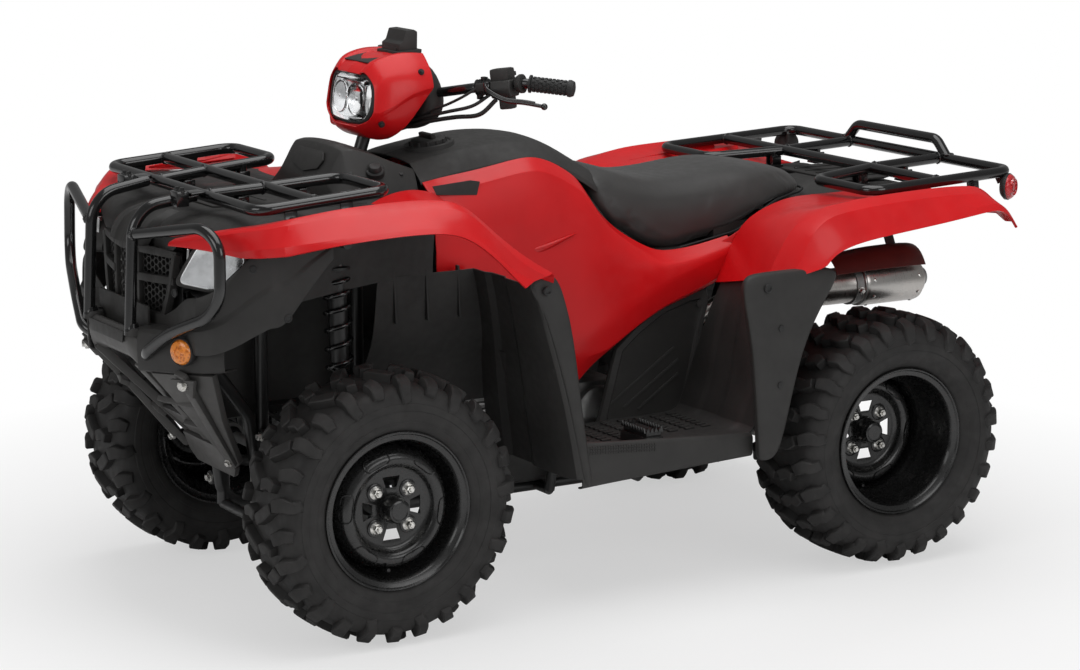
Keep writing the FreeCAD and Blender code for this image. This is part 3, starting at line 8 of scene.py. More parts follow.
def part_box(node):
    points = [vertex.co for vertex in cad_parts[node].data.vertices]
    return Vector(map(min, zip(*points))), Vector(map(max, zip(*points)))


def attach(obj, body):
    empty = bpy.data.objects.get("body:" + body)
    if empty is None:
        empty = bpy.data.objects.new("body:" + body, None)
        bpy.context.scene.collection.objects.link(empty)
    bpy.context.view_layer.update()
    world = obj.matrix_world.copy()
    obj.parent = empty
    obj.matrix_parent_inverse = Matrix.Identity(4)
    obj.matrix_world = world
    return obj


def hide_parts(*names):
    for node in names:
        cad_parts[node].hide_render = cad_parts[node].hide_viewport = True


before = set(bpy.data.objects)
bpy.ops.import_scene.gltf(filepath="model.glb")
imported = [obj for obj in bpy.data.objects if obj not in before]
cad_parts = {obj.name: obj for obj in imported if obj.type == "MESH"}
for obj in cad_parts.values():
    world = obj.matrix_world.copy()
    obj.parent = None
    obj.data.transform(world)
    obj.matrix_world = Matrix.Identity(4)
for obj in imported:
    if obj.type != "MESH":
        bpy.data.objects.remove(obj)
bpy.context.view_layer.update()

# Places are in metres, and MM turns millimetres into metres. Radii of rods, tubes and bolts, widths of
# beams, walls and chamfers are given in millimetres.
MM = 0.001
X_AXIS, Y_AXIS, Z_AXIS = Vector((1, 0, 0)), Vector((0, 1, 0)), Vector((0, 0, 1))


def lerp(a, b, share):
    return a + (b - a) * share


def node_points(node):
    return [v.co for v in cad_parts[node].data.vertices]


def inner_x(node):
    # How near a paired node comes to the middle of the machine.
    return min(abs(p.x) for p in node_points(node))


def spot(x, y, z):
    # A place given in millimetres of the machine's frame.
    return Vector((x, y, z)) * MM


def spots(*places):
    return [spot(*place) for place in places]


def mm(*pairs):
    # Turns (along, radius) pairs in millimetres into a profile in metres.
    return [(along * MM, radius * MM) for along, radius in pairs]


def mirrored(*half):
    # Completes an outline from its right half.
    left = [(-x, y) for x, y in half]
    return [left[0], *half, *left[:0:-1]]


# Mesh making


def parallel_frames(path):
    # A direction and two square axes at each point of a path, without twist.
    count = len(path)
    tangents = []
    for i in range(count):
        before, after = path[max(i - 1, 0)], path[min(i + 1, count - 1)]
        tangents.append((after - before).normalized())
    side = tangents[0].orthogonal().normalized()
    frames = []
    for tangent in tangents:
        side = (side - tangent * side.dot(tangent)).normalized()
        frames.append((tangent, side, tangent.cross(side)))
    return frames


def rounded_path(points, bend, steps=6):
    # Straight runs joined by arcs.
    points = [Vector(p) for p in points]
    path = [points[0]]
    for before, corner, after in zip(points, points[1:], points[2:]):
        back, onward = (before - corner), (after - corner)
        reach = min(bend, back.length * 0.48, onward.length * 0.48)
        first, last = corner + back.normalized() * reach, corner + onward.normalized() * reach
        for step in range(steps + 1):
            share = step / steps
            path.append(first.lerp(corner, share).lerp(corner.lerp(last, share), share))
    path.append(points[-1])
    return path


def flowing_path(points, steps=8):
    # A smooth curve through the points, for cables and hoses.
    points = [Vector(p) for p in points]
    ends = [points[0] * 2 - points[1]] + points + [points[-1] * 2 - points[-2]]
    path = []
    for i in range(1, len(ends) - 2):
        a, b, c, e = ends[i - 1:i + 3]
        for step in range(steps):
            s = step / steps
            path.append(0.5 * (b * 2 + (c - a) * s + (a * 2 - b * 5 + c * 4 - e) * s ** 2
                               + (b * 3 - a - c * 3 + e) * s ** 3))
    path.append(points[-1])
    return path


def ring_about(centre, side, other, radius, count):
    turns = [math.tau * k / count for k in range(count)]
    return [centre + (side * math.cos(t) + other * math.sin(t)) * radius for t in turns]


class Shape:
    # Gathers vertices and faces of one piece.
    def __init__(self):
        self.verts, self.faces = [], []

    def add(self, verts, faces):
        start = len(self.verts)
        self.verts += [Vector(v) for v in verts]
        self.faces += [[i + start for i in face] for face in faces]
        return self

    def stack(self, rings, caps=True):
        # Joins rings of equal count, with a face over each end.
        count = len(rings[0])
        verts = [v for ring in rings for v in ring]
        faces = []
        for row in range(len(rings) - 1):
            for i in range(count):
                j = (i + 1) % count
                faces.append([row * count + i, row * count + j, (row + 1) * count + j,
                              (row + 1) * count + i])
        if caps:
            faces.append(list(range(count))[::-1])
            faces.append([len(verts) - count + i for i in range(count)])
        return self.add(verts, faces)

    def lathe(self, profile, origin, axis=X_AXIS, sides=48, closed=False):
        # Turns (along, radius) points about an axis; a closed profile makes a ring.
        axis = Vector(axis).normalized()
        side = (Y_AXIS if abs(axis.x) > 0.5 else X_AXIS)
        side = (side - axis * side.dot(axis)).normalized()
        other = axis.cross(side)
        origin = Vector(origin)
        profile = profile + profile[:1] if closed else profile
        rings = []
        for along, radius in profile:
            centre = origin + axis * along
            rings.append(ring_about(centre, side, other, radius, sides))
        return self.stack(rings, caps=not closed)

    def rod(self, start, end, radius, end_radius=None, sides=20, chamfer=0):
        # A straight round bar, tapered where the end's radius differs.
        run = Vector(end) - Vector(start)
        length, last = run.length / MM, end_radius or radius
        profile = [(0, radius), (length, last)]
        if chamfer:
            profile = [(0, radius - chamfer), (chamfer, radius), (length - chamfer, last),
                       (length, last - chamfer)]
        return self.lathe(mm(*profile), start, run, sides)

    def tube(self, path, radius, sides, caps=True):
        radii = radius if isinstance(radius, list) else [radius] * len(path)
        rings = []
        for point, size, (tangent, side, other) in zip(path, radii, parallel_frames(path)):
            rings.append(ring_about(point, side, other, size * MM, sides))
        return self.stack(rings, caps)

    def box(self, low, high, chamfer=0):
        # A block with chamfered edges.
        low, high = Vector(low), Vector(high)
        middle, half = (low + high) / 2, (high - low) / 2
        chamfer = min(chamfer * MM, min(half) * 0.9)
        built = bmesh.new()
        bmesh.ops.create_cube(built, size=2.0)
        for v in built.verts:
            v.co = middle + Vector(a * b for a, b in zip(v.co, half))
        if chamfer:
            bmesh.ops.bevel(built, geom=built.edges[:], offset=chamfer, segments=2, affect="EDGES",
                            profile=0.6)
        return self.take(built)

    def take(self, built):
        # Adds a bmesh and frees it.
        built.verts.ensure_lookup_table()
        self.add([v.co.copy() for v in built.verts], [[v.index for v in f.verts] for f in built.faces])
        built.free()
        return self

    def prism(self, outline, direction, chamfer=0, segments=2):
        # A flat outline pushed along a direction, with eased edges.
        built = bmesh.new()
        face = built.faces.new([built.verts.new(Vector(p)) for p in outline])
        face.normal_update()
        if face.normal.dot(Vector(direction)) > 0:
            face.normal_flip()
        moved = bmesh.ops.extrude_face_region(built, geom=[face])
        new_verts = [g for g in moved["geom"] if isinstance(g, bmesh.types.BMVert)]
        bmesh.ops.translate(built, verts=new_verts, vec=Vector(direction))
        bmesh.ops.recalc_face_normals(built, faces=built.faces[:])
        if chamfer:
            bmesh.ops.bevel(built, geom=built.edges[:], offset=chamfer * MM, segments=segments,
                            affect="EDGES", profile=0.6)
        return self.take(built)

    def ball(self, centre, radius):
        built = bmesh.new()
        bmesh.ops.create_icosphere(built, subdivisions=3, radius=radius)
        for v in built.verts:
            v.co += Vector(centre)
        return self.take(built)

    def moved(self, matrix):
        flip = matrix.determinant() < 0
        return Shape().add([matrix @ v for v in self.verts], [face[::-1] if flip else face
                                                              for face in self.faces])

    def merge(self, other):
        return self.add(other.verts, other.faces)

    def both_sides(self):
        # Adds the mirror image across the middle of the machine.
        return self.merge(self.moved(Matrix.Scale(-1, 4, X_AXIS)))

    def bolt(self, centre, outward, radius=6, height=5, washer=True):
        # A hexagon-headed bolt with its washer.
        centre, outward = Vector(centre), Vector(outward).normalized()
        if washer:
            profile = mm((-height, radius * 1.4), (0, radius * 1.45), (height * 0.25, radius * 1.35))
            self.lathe(profile, centre, outward, 20)
        head = centre + outward * height * 0.25 * MM
        self.lathe(mm((0, radius), (height * 0.8, radius), (height, radius * 0.82)), head, outward, 6)

    def make(self, name, material, angle=38, levels=0):
        mesh = bpy.data.meshes.new(name)
        mesh.from_pydata(self.verts, [], self.faces)
        mesh.update()
        mesh.shade_smooth()
        mesh.set_sharp_from_angle(angle=math.radians(angle))
        item = bpy.data.objects.new(name, mesh)
        bpy.context.scene.collection.objects.link(item)
        mesh.materials.append(material)
        if levels:
            smooth = item.modifiers.new("Smooth", "SUBSURF")
            smooth.levels = smooth.render_levels = levels
        return item

    def piece(self, name, material, angle=38, levels=0, node=None, body="chassis"):
        # Makes the piece and fixes it to its body.
        ready(self.make(name, material, angle, levels), *([node] if node else []), body=body)

    def pair(self, *given, **named):
        self.both_sides().piece(*given, **named)


def ready(item, *nodes, body="chassis"):
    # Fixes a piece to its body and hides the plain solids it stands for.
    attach(item, body)
    if nodes:
        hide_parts(*nodes)


def panel(name, rows, material, wall=4, levels=2, crease_rows=(), crease_columns=(), mirror=True,
          sharpness=0.85, rim=1.3):
    # A moulded skin from rows of points: creases stay where named, then wall thickness and eased rims.
    built = bmesh.new()
    grid = [[built.verts.new(Vector(p)) for p in row] for row in rows]
    for a, b in zip(grid, grid[1:]):
        for i in range(len(a) - 1):
            built.faces.new([a[i], a[i + 1], b[i + 1], b[i]])
    layer = built.edges.layers.float.new("crease_edge")
    place = {v: (r, c) for r, row in enumerate(grid) for c, v in enumerate(row)}
    for edge in built.edges:
        (r0, c0), (r1, c1) = place[edge.verts[0]], place[edge.verts[1]]
        if (r0 == r1 and r0 in crease_rows) or (c0 == c1 and c0 in crease_columns):
            edge[layer] = sharpness
    mesh = bpy.data.meshes.new(name)
    built.to_mesh(mesh)
    built.free()
    mesh.shade_smooth()
    item = bpy.data.objects.new(name, mesh)
    bpy.context.scene.collection.objects.link(item)
    mesh.materials.append(material)
    if mirror:
        item.modifiers.new("Other side", "MIRROR").use_mirror_merge = False
    smooth = item.modifiers.new("Smooth", "SUBSURF")
    smooth.levels = smooth.render_levels = levels
    smooth.boundary_smooth = "PRESERVE_CORNERS"
    solid = item.modifiers.new("Wall", "SOLIDIFY")
    solid.thickness, solid.offset = wall * MM, -1
    eased = item.modifiers.new("Rim", "BEVEL")
    eased.width, eased.segments, eased.limit_method = rim * MM, 2, "ANGLE"
    eased.angle_limit = math.radians(15)
    item.modifiers.new("Facets", "WEIGHTED_NORMAL").weight = 60
    return item


# Finishes


class Finish:
    # A Principled material whose textures follow the piece's own coordinates.
    def __init__(self, name, colour, roughness, **sockets):
        self.material = bpy.data.materials.new(name)
        self.material.use_nodes = True
        self.tree = self.material.node_tree
        self.shader = self.tree.nodes["Principled BSDF"]
        self.colour, self.roughness = colour, roughness
        self.shader.inputs["Base Color"].default_value = (*colour, 1)
        self.shader.inputs["Roughness"].default_value = roughness
        for socket, value in sockets.items():
            self.shader.inputs[socket.replace("_", " ")].default_value = value
        self.place = self.tree.nodes.new("ShaderNodeTexCoord").outputs["Object"]
        self.height = None

    def link(self, a, b):
        self.tree.links.new(a, b)

    def stretched(self, scale):
        mapping = self.tree.nodes.new("ShaderNodeMapping")
        mapping.inputs["Scale"].default_value = scale
        self.link(self.place, mapping.inputs["Vector"])
        return mapping.outputs["Vector"]

    def noise(self, scale, detail, vector=None):
        node = self.tree.nodes.new("ShaderNodeTexNoise")
        node.inputs["Scale"].default_value = scale
        node.inputs["Detail"].default_value = detail
        self.link(vector or self.place, node.inputs["Vector"])
        return node.outputs["Fac"]

    def cells(self, scale):
        node = self.tree.nodes.new("ShaderNodeTexVoronoi")
        node.inputs["Scale"].default_value = scale
        self.link(self.place, node.inputs["Vector"])
        return node.outputs["Distance"]

    def ramp(self, value, low, high, out_low, out_high):
        node = self.tree.nodes.new("ShaderNodeMapRange")
        for socket, number in zip(("From Min", "From Max", "To Min", "To Max"),
                                  (low, high, out_low, out_high)):
            node.inputs[socket].default_value = number
        self.link(value, node.inputs["Value"])
        return node.outputs["Result"]

    def vary(self, value, spread=0.12, tint=None, low=0.3, high=0.7):
        # Lets the colour drift with a texture.
        node = self.tree.nodes.new("ShaderNodeMix")
        node.data_type = "RGBA"
        darker = tuple(c * (1 - spread) for c in self.colour)
        lighter = tint or tuple(min(c * (1 + spread), 1) for c in self.colour)
        node.inputs[6].default_value = (*darker, 1)
        node.inputs[7].default_value = (*lighter, 1)
        self.link(self.ramp(value, low, high, 0, 1), node.inputs["Factor"])
        self.link(node.outputs[2], self.shader.inputs["Base Color"])
        return self

    def polish(self, value, spread=0.15):
        rough = self.ramp(value, 0.3, 0.7, self.roughness * (1 - spread),
                          min(self.roughness * (1 + spread), 1))
        self.link(rough, self.shader.inputs["Roughness"])
        return self

    def bump(self, value, strength, distance):
        node = self.tree.nodes.new("ShaderNodeBump")
        node.inputs["Strength"].default_value = strength
        node.inputs["Distance"].default_value = distance
        self.link(value, node.inputs["Height"])
        if self.height:
            self.link(self.height, node.inputs["Normal"])
        self.height = node.outputs["Normal"]
        self.link(self.height, self.shader.inputs["Normal"])
        return self


def red_plastic():
    finish = Finish("red_plastic", (0.60, 0.005, 0.0075), 0.36, Coat_Weight=0.22, Coat_Roughness=0.16,
                    Specular_IOR_Level=0.3)
    finish.vary(finish.noise(9, 2), 0.05).polish(finish.noise(40, 3), 0.18)
    return finish.bump(finish.noise(130, 2), 0.06, 0.3 * MM).material


def black_plastic(name="black_plastic", colour=(0.026, 0.025, 0.024), roughness=0.52):
    finish = Finish(name, colour, roughness, Specular_IOR_Level=0.42)
    finish.vary(finish.noise(14, 3), 0.14).polish(finish.noise(55, 3), 0.12)
    finish.bump(finish.cells(1500), 0.18, 0.12 * MM)
    return finish.bump(finish.noise(420, 3), 0.14, 0.15 * MM).material


def painted_steel(name, colour, roughness, coat=0.3, metallic=0.0):
    finish = Finish(name, colour, roughness, Metallic=metallic, Coat_Weight=coat, Coat_Roughness=0.1,
                    Specular_IOR_Level=0.6)
    finish.vary(finish.noise(25, 3), 0.08).polish(finish.noise(80, 3), 0.1)
    return finish.bump(finish.noise(260, 2), 0.05, 0.1 * MM).material


def tyre_rubber():
    finish = Finish("tyre_rubber", (0.021, 0.020, 0.0195), 0.62, Specular_IOR_Level=0.38)
    finish.vary(finish.noise(22, 5), 0.3).polish(finish.noise(60, 4), 0.14)
    finish.bump(finish.noise(700, 3), 0.2, 0.15 * MM)
    return finish.bump(finish.noise(38, 4), 0.12, 0.6 * MM).material


def seat_vinyl():
    finish = Finish("seat_vinyl", (0.034, 0.033, 0.032), 0.46, Sheen_Weight=0.08, Specular_IOR_Level=0.45)
    finish.vary(finish.noise(10, 3)).polish(finish.noise(45, 3), 0.14)
    finish.bump(finish.cells(420), 0.22, 0.25 * MM)
    return finish.bump(finish.noise(900, 3), 0.12, 0.1 * MM).material


def soft_rubber(name="grip_rubber", colour=(0.018, 0.018, 0.018), roughness=0.6):
    finish = Finish(name, colour, roughness)
    finish.vary(finish.noise(60, 3), 0.2).polish(finish.noise(90, 3))
    return finish.bump(finish.noise(1100, 2), 0.2, 0.1 * MM).material


def brushed_steel():
    # Fine lines run round the silencer; a faint straw tint from heat drifts in patches across it.
    finish = Finish("brushed_steel", (0.60, 0.585, 0.565), 0.30, Metallic=1.0)
    lines = finish.noise(60, 3, finish.stretched((1, 14, 1)))
    finish.vary(finish.noise(6, 3), 0.1, (0.66, 0.62, 0.58)).polish(lines, 0.12)
    return finish.bump(lines, 0.02, 0.1 * MM).material


def bright_zinc():
    finish = Finish("bright_zinc", (0.72, 0.71, 0.68), 0.26, Metallic=1.0)
    finish.vary(finish.noise(120, 3), 0.18).polish(finish.noise(200, 3), 0.3)
    return finish.bump(finish.noise(600, 2), 0.1, 0.1 * MM).material


def cast_metal():
    finish = Finish("cast_metal", (0.34, 0.34, 0.335), 0.5, Metallic=0.85)
    finish.vary(finish.noise(30, 4), 0.25).polish(finish.noise(70, 4), 0.2)
    return finish.bump(finish.noise(480, 4), 0.35, 0.3 * MM).material


def clear_lens():
    finish = Finish("clear_lens", (0.97, 0.98, 0.99), 0.03, Transmission_Weight=1.0, IOR=1.35)
    finish.polish(finish.noise(30, 2), 0.4)
    return finish.bump(finish.noise(14, 1), 0.05, 0.5 * MM).material


def bright_reflector():
    finish = Finish("bright_reflector", (0.9, 0.9, 0.9), 0.12, Metallic=1.0)
    finish.vary(finish.noise(50, 2), 0.1).polish(finish.noise(80, 2), 0.3)
    return finish.bump(finish.noise(60, 2), 0.1, 0.4 * MM).material


def facet_lens(name, colour):
    # Moulded prisms show through a clear coloured cap.
    finish = Finish(name, colour, 0.16, Transmission_Weight=0.25, Coat_Weight=0.6, Coat_Roughness=0.04,
                    IOR=1.46)
    finish.vary(finish.cells(150), 0.35, tuple(min(c * 1.5 + 0.02, 1) for c in colour), 0.1, 0.6)
    finish.polish(finish.noise(60, 2), 0.2)
    return finish.bump(finish.cells(150), 0.5, 1.2 * MM).material


RED = red_plastic()
BLACK = black_plastic()
DARK_MATT = black_plastic("matt_plastic", (0.030, 0.029, 0.028), 0.66)
GREY_PLASTIC = black_plastic("bumper_plastic", (0.060, 0.058, 0.056), 0.46)
TUBE_STEEL = painted_steel("tube_steel", (0.005, 0.005, 0.0052), 0.17, 0.5)
CHASSIS_STEEL = painted_steel("chassis_steel", (0.011, 0.011, 0.011), 0.38, 0.15)
RIM_BLACK = painted_steel("rim_black", (0.006, 0.006, 0.006), 0.27)
TYRE = tyre_rubber()
VINYL = seat_vinyl()
GRIP = soft_rubber()
BOOT = soft_rubber("boot_rubber", (0.014, 0.014, 0.014), 0.5)
MUFFLER = brushed_steel()
ZINC = bright_zinc()
CAST = cast_metal()
HEAT_STEEL = painted_steel("heat_steel", (0.11, 0.028, 0.024), 0.34, 0.1, 0.55)
LENS = clear_lens()
REFLECTOR = bright_reflector()
AMBER = facet_lens("amber_lens", (0.80, 0.20, 0.012))
TAIL_RED = facet_lens("red_lens", (0.45, 0.008, 0.012))
ACCENT_RED = soft_rubber("red_band", (0.5, 0.02, 0.02), 0.4)

# The named slot of each finish.
node_finish = {
    "frame": CHASSIS_STEEL, "engine": CAST, "exhaust": MUFFLER, "front_drive": CAST,
    "front_arms": CHASSIS_STEEL,
    "front_shocks": CHASSIS_STEEL, "rear_shock": CHASSIS_STEEL, "swingarm": CHASSIS_STEEL,
    "front_guard": TUBE_STEEL,
    "front_rack": TUBE_STEEL, "rear_rack": TUBE_STEEL, "rear_axle": CHASSIS_STEEL,
    "steering_stem": CHASSIS_STEEL,
    "handlebar": TUBE_STEEL, "knuckle_left": CAST, "knuckle_right": CAST, "tie_rod_left": CHASSIS_STEEL,
    "tie_rod_right": CHASSIS_STEEL, "front_fenders": RED, "rear_fenders": RED, "side_panels": RED,
    "nacelle": RED,
    "seat": VINYL, "grips": GRIP, "tail_lamps": TAIL_RED, "reflectors": AMBER, "headlamps": REFLECTOR,
    "nacelle_lamp": REFLECTOR, "tyre_front_left": TYRE, "tyre_front_right": TYRE, "rear_tyres": TYRE,
    "rim_front_left": RIM_BLACK, "rim_front_right": RIM_BLACK, "rear_rims": RIM_BLACK,
    "skid_plate": GREY_PLASTIC,
}
for node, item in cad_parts.items():
    item.data.materials.clear()
    item.data.materials.append(node_finish.get(node, BLACK))


# Stage: pale floor that fades to white, soft lamps and the camera

CAMERA_PLACE = (5.88322, -3.52006, 1.90152)
CAMERA_TURN = (math.radians(78.60), 0, math.radians(59.06))
SENSOR_WIDTH, FOCAL_LENGTH = 36, 99.22
FLOOR_RADIUS, FADE_START, FADE_END = 60, 1.0, 2.1
FLOOR_GLOW = 0.55
WORLD_LIGHT, WORLD_MIRRORED = 0.46, 0.2


def make_floor():
    item = Shape().lathe([(0, FLOOR_RADIUS), (-0.02, FLOOR_RADIUS)], (0, 0, 0), Z_AXIS, 96)
    finish = Finish("floor", (0.80, 0.80, 0.80), 0.7, Specular_IOR_Level=0.25)
    finish.vary(finish.noise(2, 2), 0.01).polish(finish.noise(3, 2), 0.05)
    nodes, links = finish.tree.nodes, finish.tree.links
    distance = nodes.new("ShaderNodeVectorMath")
    distance.operation = "LENGTH"
    links.new(finish.place, distance.inputs[0])
    fade = finish.ramp(distance.outputs["Value"], FADE_START, FADE_END, FLOOR_GLOW, 1)
    rays = nodes.new("ShaderNodeLightPath")
    seen = nodes.new("ShaderNodeMath")
    seen.operation = "MULTIPLY"
    links.new(rays.outputs["Is Camera Ray"], seen.inputs[0])
    links.new(fade, seen.inputs[1])
    white = nodes.new("ShaderNodeEmission")
    white.inputs["Strength"].default_value = 1.0
    mixed = nodes.new("ShaderNodeMixShader")
    links.new(seen.outputs[0], mixed.inputs[0])
    links.new(finish.shader.outputs[0], mixed.inputs[1])
    links.new(white.outputs[0], mixed.inputs[2])
    links.new(mixed.outputs[0], nodes["Material Output"].inputs["Surface"])
    item.make("floor", finish.material)


def make_world():
    # Even grey light on the object, darker in its reflections. The camera, also through glass, sees white.
    world = bpy.data.worlds.new("studio")
    world.use_nodes = True
    tree = world.node_tree
    background = tree.nodes["Background"]
    background.inputs["Color"].default_value = (1, 1, 1, 1)
    rays = tree.nodes.new("ShaderNodeLightPath")
    most = tree.nodes.new("ShaderNodeMath")
    most.operation = "MAXIMUM"
    tree.links.new(rays.outputs["Is Camera Ray"], most.inputs[0])
    tree.links.new(rays.outputs["Is Transmission Ray"], most.inputs[1])
    dim = tree.nodes.new("ShaderNodeMapRange")
    dim.inputs["To Min"].default_value, dim.inputs["To Max"].default_value = WORLD_LIGHT, WORLD_MIRRORED
    tree.links.new(rays.outputs["Is Glossy Ray"], dim.inputs["Value"])
    level = tree.nodes.new("ShaderNodeMapRange")
    tree.links.new(dim.outputs["Result"], level.inputs["To Min"])
    level.inputs["To Max"].default_value = 1.0
    tree.links.new(most.outputs[0], level.inputs["Value"])
    tree.links.new(level.outputs["Result"], background.inputs["Strength"])
    bpy.context.scene.world = world


def area_lamp(name, place, target, size, power):
    lamp = bpy.data.lights.new(name, "AREA")
    lamp.shape = "RECTANGLE"
    lamp.size, lamp.size_y = size
    lamp.energy = power
    item = bpy.data.objects.new(name, lamp)
    item.location = place
    item.rotation_euler = (Vector(target) - Vector(place)).to_track_quat("-Z", "Y").to_euler()
    bpy.context.scene.collection.objects.link(item)


def make_camera():
    lens = bpy.data.cameras.new("camera")
    lens.sensor_width = SENSOR_WIDTH
    lens.lens = FOCAL_LENGTH
    item = bpy.data.objects.new("camera", lens)
    item.location = CAMERA_PLACE
    item.rotation_euler = CAMERA_TURN
    bpy.context.scene.collection.objects.link(item)
    bpy.context.scene.camera = item


make_floor()
make_world()
area_lamp("overhead", (0.4, 0.0, 4.2), (0, 0, 0.6), (3.6, 4.6), 100)
area_lamp("side", (5.2, 1.0, 2.6), (0.3, 0.1, 0.6), (3.0, 2.2), 42)
area_lamp("front", (1.2, -5.4, 2.8), (0, -0.6, 0.7), (3.0, 2.0), 38)
make_camera()
bpy.context.scene.view_settings.view_transform = "Standard"


# Cutting and baking


def bake(item):
    # Replaces the mesh by what its modifiers show, and clears them.
    bpy.context.view_layer.update()
    seen = item.evaluated_get(bpy.context.evaluated_depsgraph_get())
    fresh = bpy.data.meshes.new_from_object(seen)
    fresh.name = item.name
    item.modifiers.clear()
    item.data = fresh
    return item


def cut(item, cutter_shape, eased, angle):
    # Takes a shape out of a piece and eases the edges that the cut leaves.
    cutter = cutter_shape.make(item.name + "_cutter", item.data.materials[0])
    taken = item.modifiers.new("Cut", "BOOLEAN")
    taken.operation, taken.solver, taken.object = "DIFFERENCE", "EXACT", cutter
    edge = item.modifiers.new("Eased", "BEVEL")
    edge.width, edge.segments, edge.limit_method = eased, 2, "ANGLE"
    edge.angle_limit = math.radians(angle)
    bake(item)
    bpy.data.objects.remove(cutter)
    item.data.shade_smooth()
    item.data.set_sharp_from_angle(angle=math.radians(angle))


# Wheels

TYRE_LOW, TYRE_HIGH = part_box("tyre_front_left")
PAIR_LOW, PAIR_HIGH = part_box("rear_tyres")
TYRE_RADIUS = HUB_HEIGHT = TYRE_HIGH[2] / 2
FRONT_HALF = (TYRE_HIGH[0] - TYRE_LOW[0]) / 2
FRONT_X, FRONT_Y = TYRE_HIGH[0] - FRONT_HALF, (TYRE_LOW[1] + TYRE_HIGH[1]) / 2
REAR_HALF = (PAIR_HIGH[0] - inner_x("rear_tyres")) / 2
REAR_X, REAR_Y = PAIR_HIGH[0] - REAR_HALF, (PAIR_LOW[1] + PAIR_HIGH[1]) / 2
LUG_HEIGHT = 19 * MM
PITCHES = 13
SLOT_CIRCLE, STUD_CIRCLE = 116.5 * MM, 55 * MM

# From the bead to the crown: distance from the wheel's middle plane, and radius.
front_carcass = [(80, 160), (82, 172), (88, 179), (91.5, 186), (95, 202), (96.5, 214), (96.2, 217.5),
                 (97.4, 218.5), (98, 226), (97.4, 233.5), (96.2, 234.5), (95.4, 240), (92.5, 252),
                 (86, 263), (73, 270.5), (50, 274.5), (25, 276.4), (0, 277)]
rear_carcass = [(88, 160), (90, 172), (98, 180), (105, 188), (113, 202), (117, 214), (116.8, 217.5),
                (118.2, 218.5), (119, 226), (118.4, 233.5), (117.2, 234.5), (116, 240), (112, 252),
                (103, 263.5), (86, 270.5), (56, 274.8), (28, 276.5), (0, 277)]

# A lug follows stations of (share from crown to sidewall, share of the pitch, width in mm).
front_lugs = [
    [(.03, .03, 24), (.28, .16, 27), (.44, .27, 24)],
    [(.07, .57, 25), (.26, .63, 25), (.42, .58, 21)],
    [(.50, .32, 27), (.64, .37, 31), (.80, .34, 25), (.97, .40, 22)],
    [(.52, .80, 27), (.68, .87, 30), (.83, .84, 23)],
]
rear_lugs = [
    [(.03, .04, 26), (.20, .15, 28), (.36, .13, 26), (.49, .22, 24)],
    [(.10, .56, 27), (.30, .65, 26), (.42, .60, 23)],
    [(.58, .24, 26), (.73, .31, 31), (.86, .28, 26), (.98, .34, 23)],
    [(.50, .72, 26), (.66, .81, 30), (.79, .77, 26), (.92, .82, 22)],
]


def spread(points, steps):
    # Extra points between the given ones, rounding the corners a little.
    dense = []
    for i in range(len(points) - 1):
        for step in range(steps):
            s = step / steps
            dense.append(tuple(lerp(a, b, s) for a, b in zip(points[i], points[i + 1])))
    dense.append(points[-1])
    softened = [dense[0]]
    for a, b, c in zip(dense, dense[1:], dense[2:]):
        softened.append(tuple((p + 2 * q + r) / 4 for p, q, r in zip(a, b, c)))
    return softened + [dense[-1]]


def profile_walk(carcass, share):
    # The point and outward slope of the tread skin at a share from crown to sidewall ring.
    skin = [(a * MM, r * MM) for a, r in carcass if r > 226]
    skin.reverse()
    lengths = [math.dist(a, b) for a, b in zip(skin, skin[1:])]
    left = max(share, 0) * sum(lengths)
    for (a, b), length in zip(zip(skin, skin[1:]), lengths):
        if left <= length or b == skin[-1]:
            point = (lerp(a[0], b[0], left / length), lerp(a[1], b[1], left / length))
            return point, ((a[1] - b[1]) / length, (b[0] - a[0]) / length)
        left -= length


def smooth_slope(carcass, share):
    # Averages the slope so that a lug's top has no steps.
    slopes = [profile_walk(carcass, min(share + d, 1))[1] for d in (-0.08, -0.04, 0, 0.04, 0.08)]
    side, up = sum(s[0] for s in slopes), sum(s[1] for s in slopes)
    size = math.hypot(side, up)
    return side / size, up / size


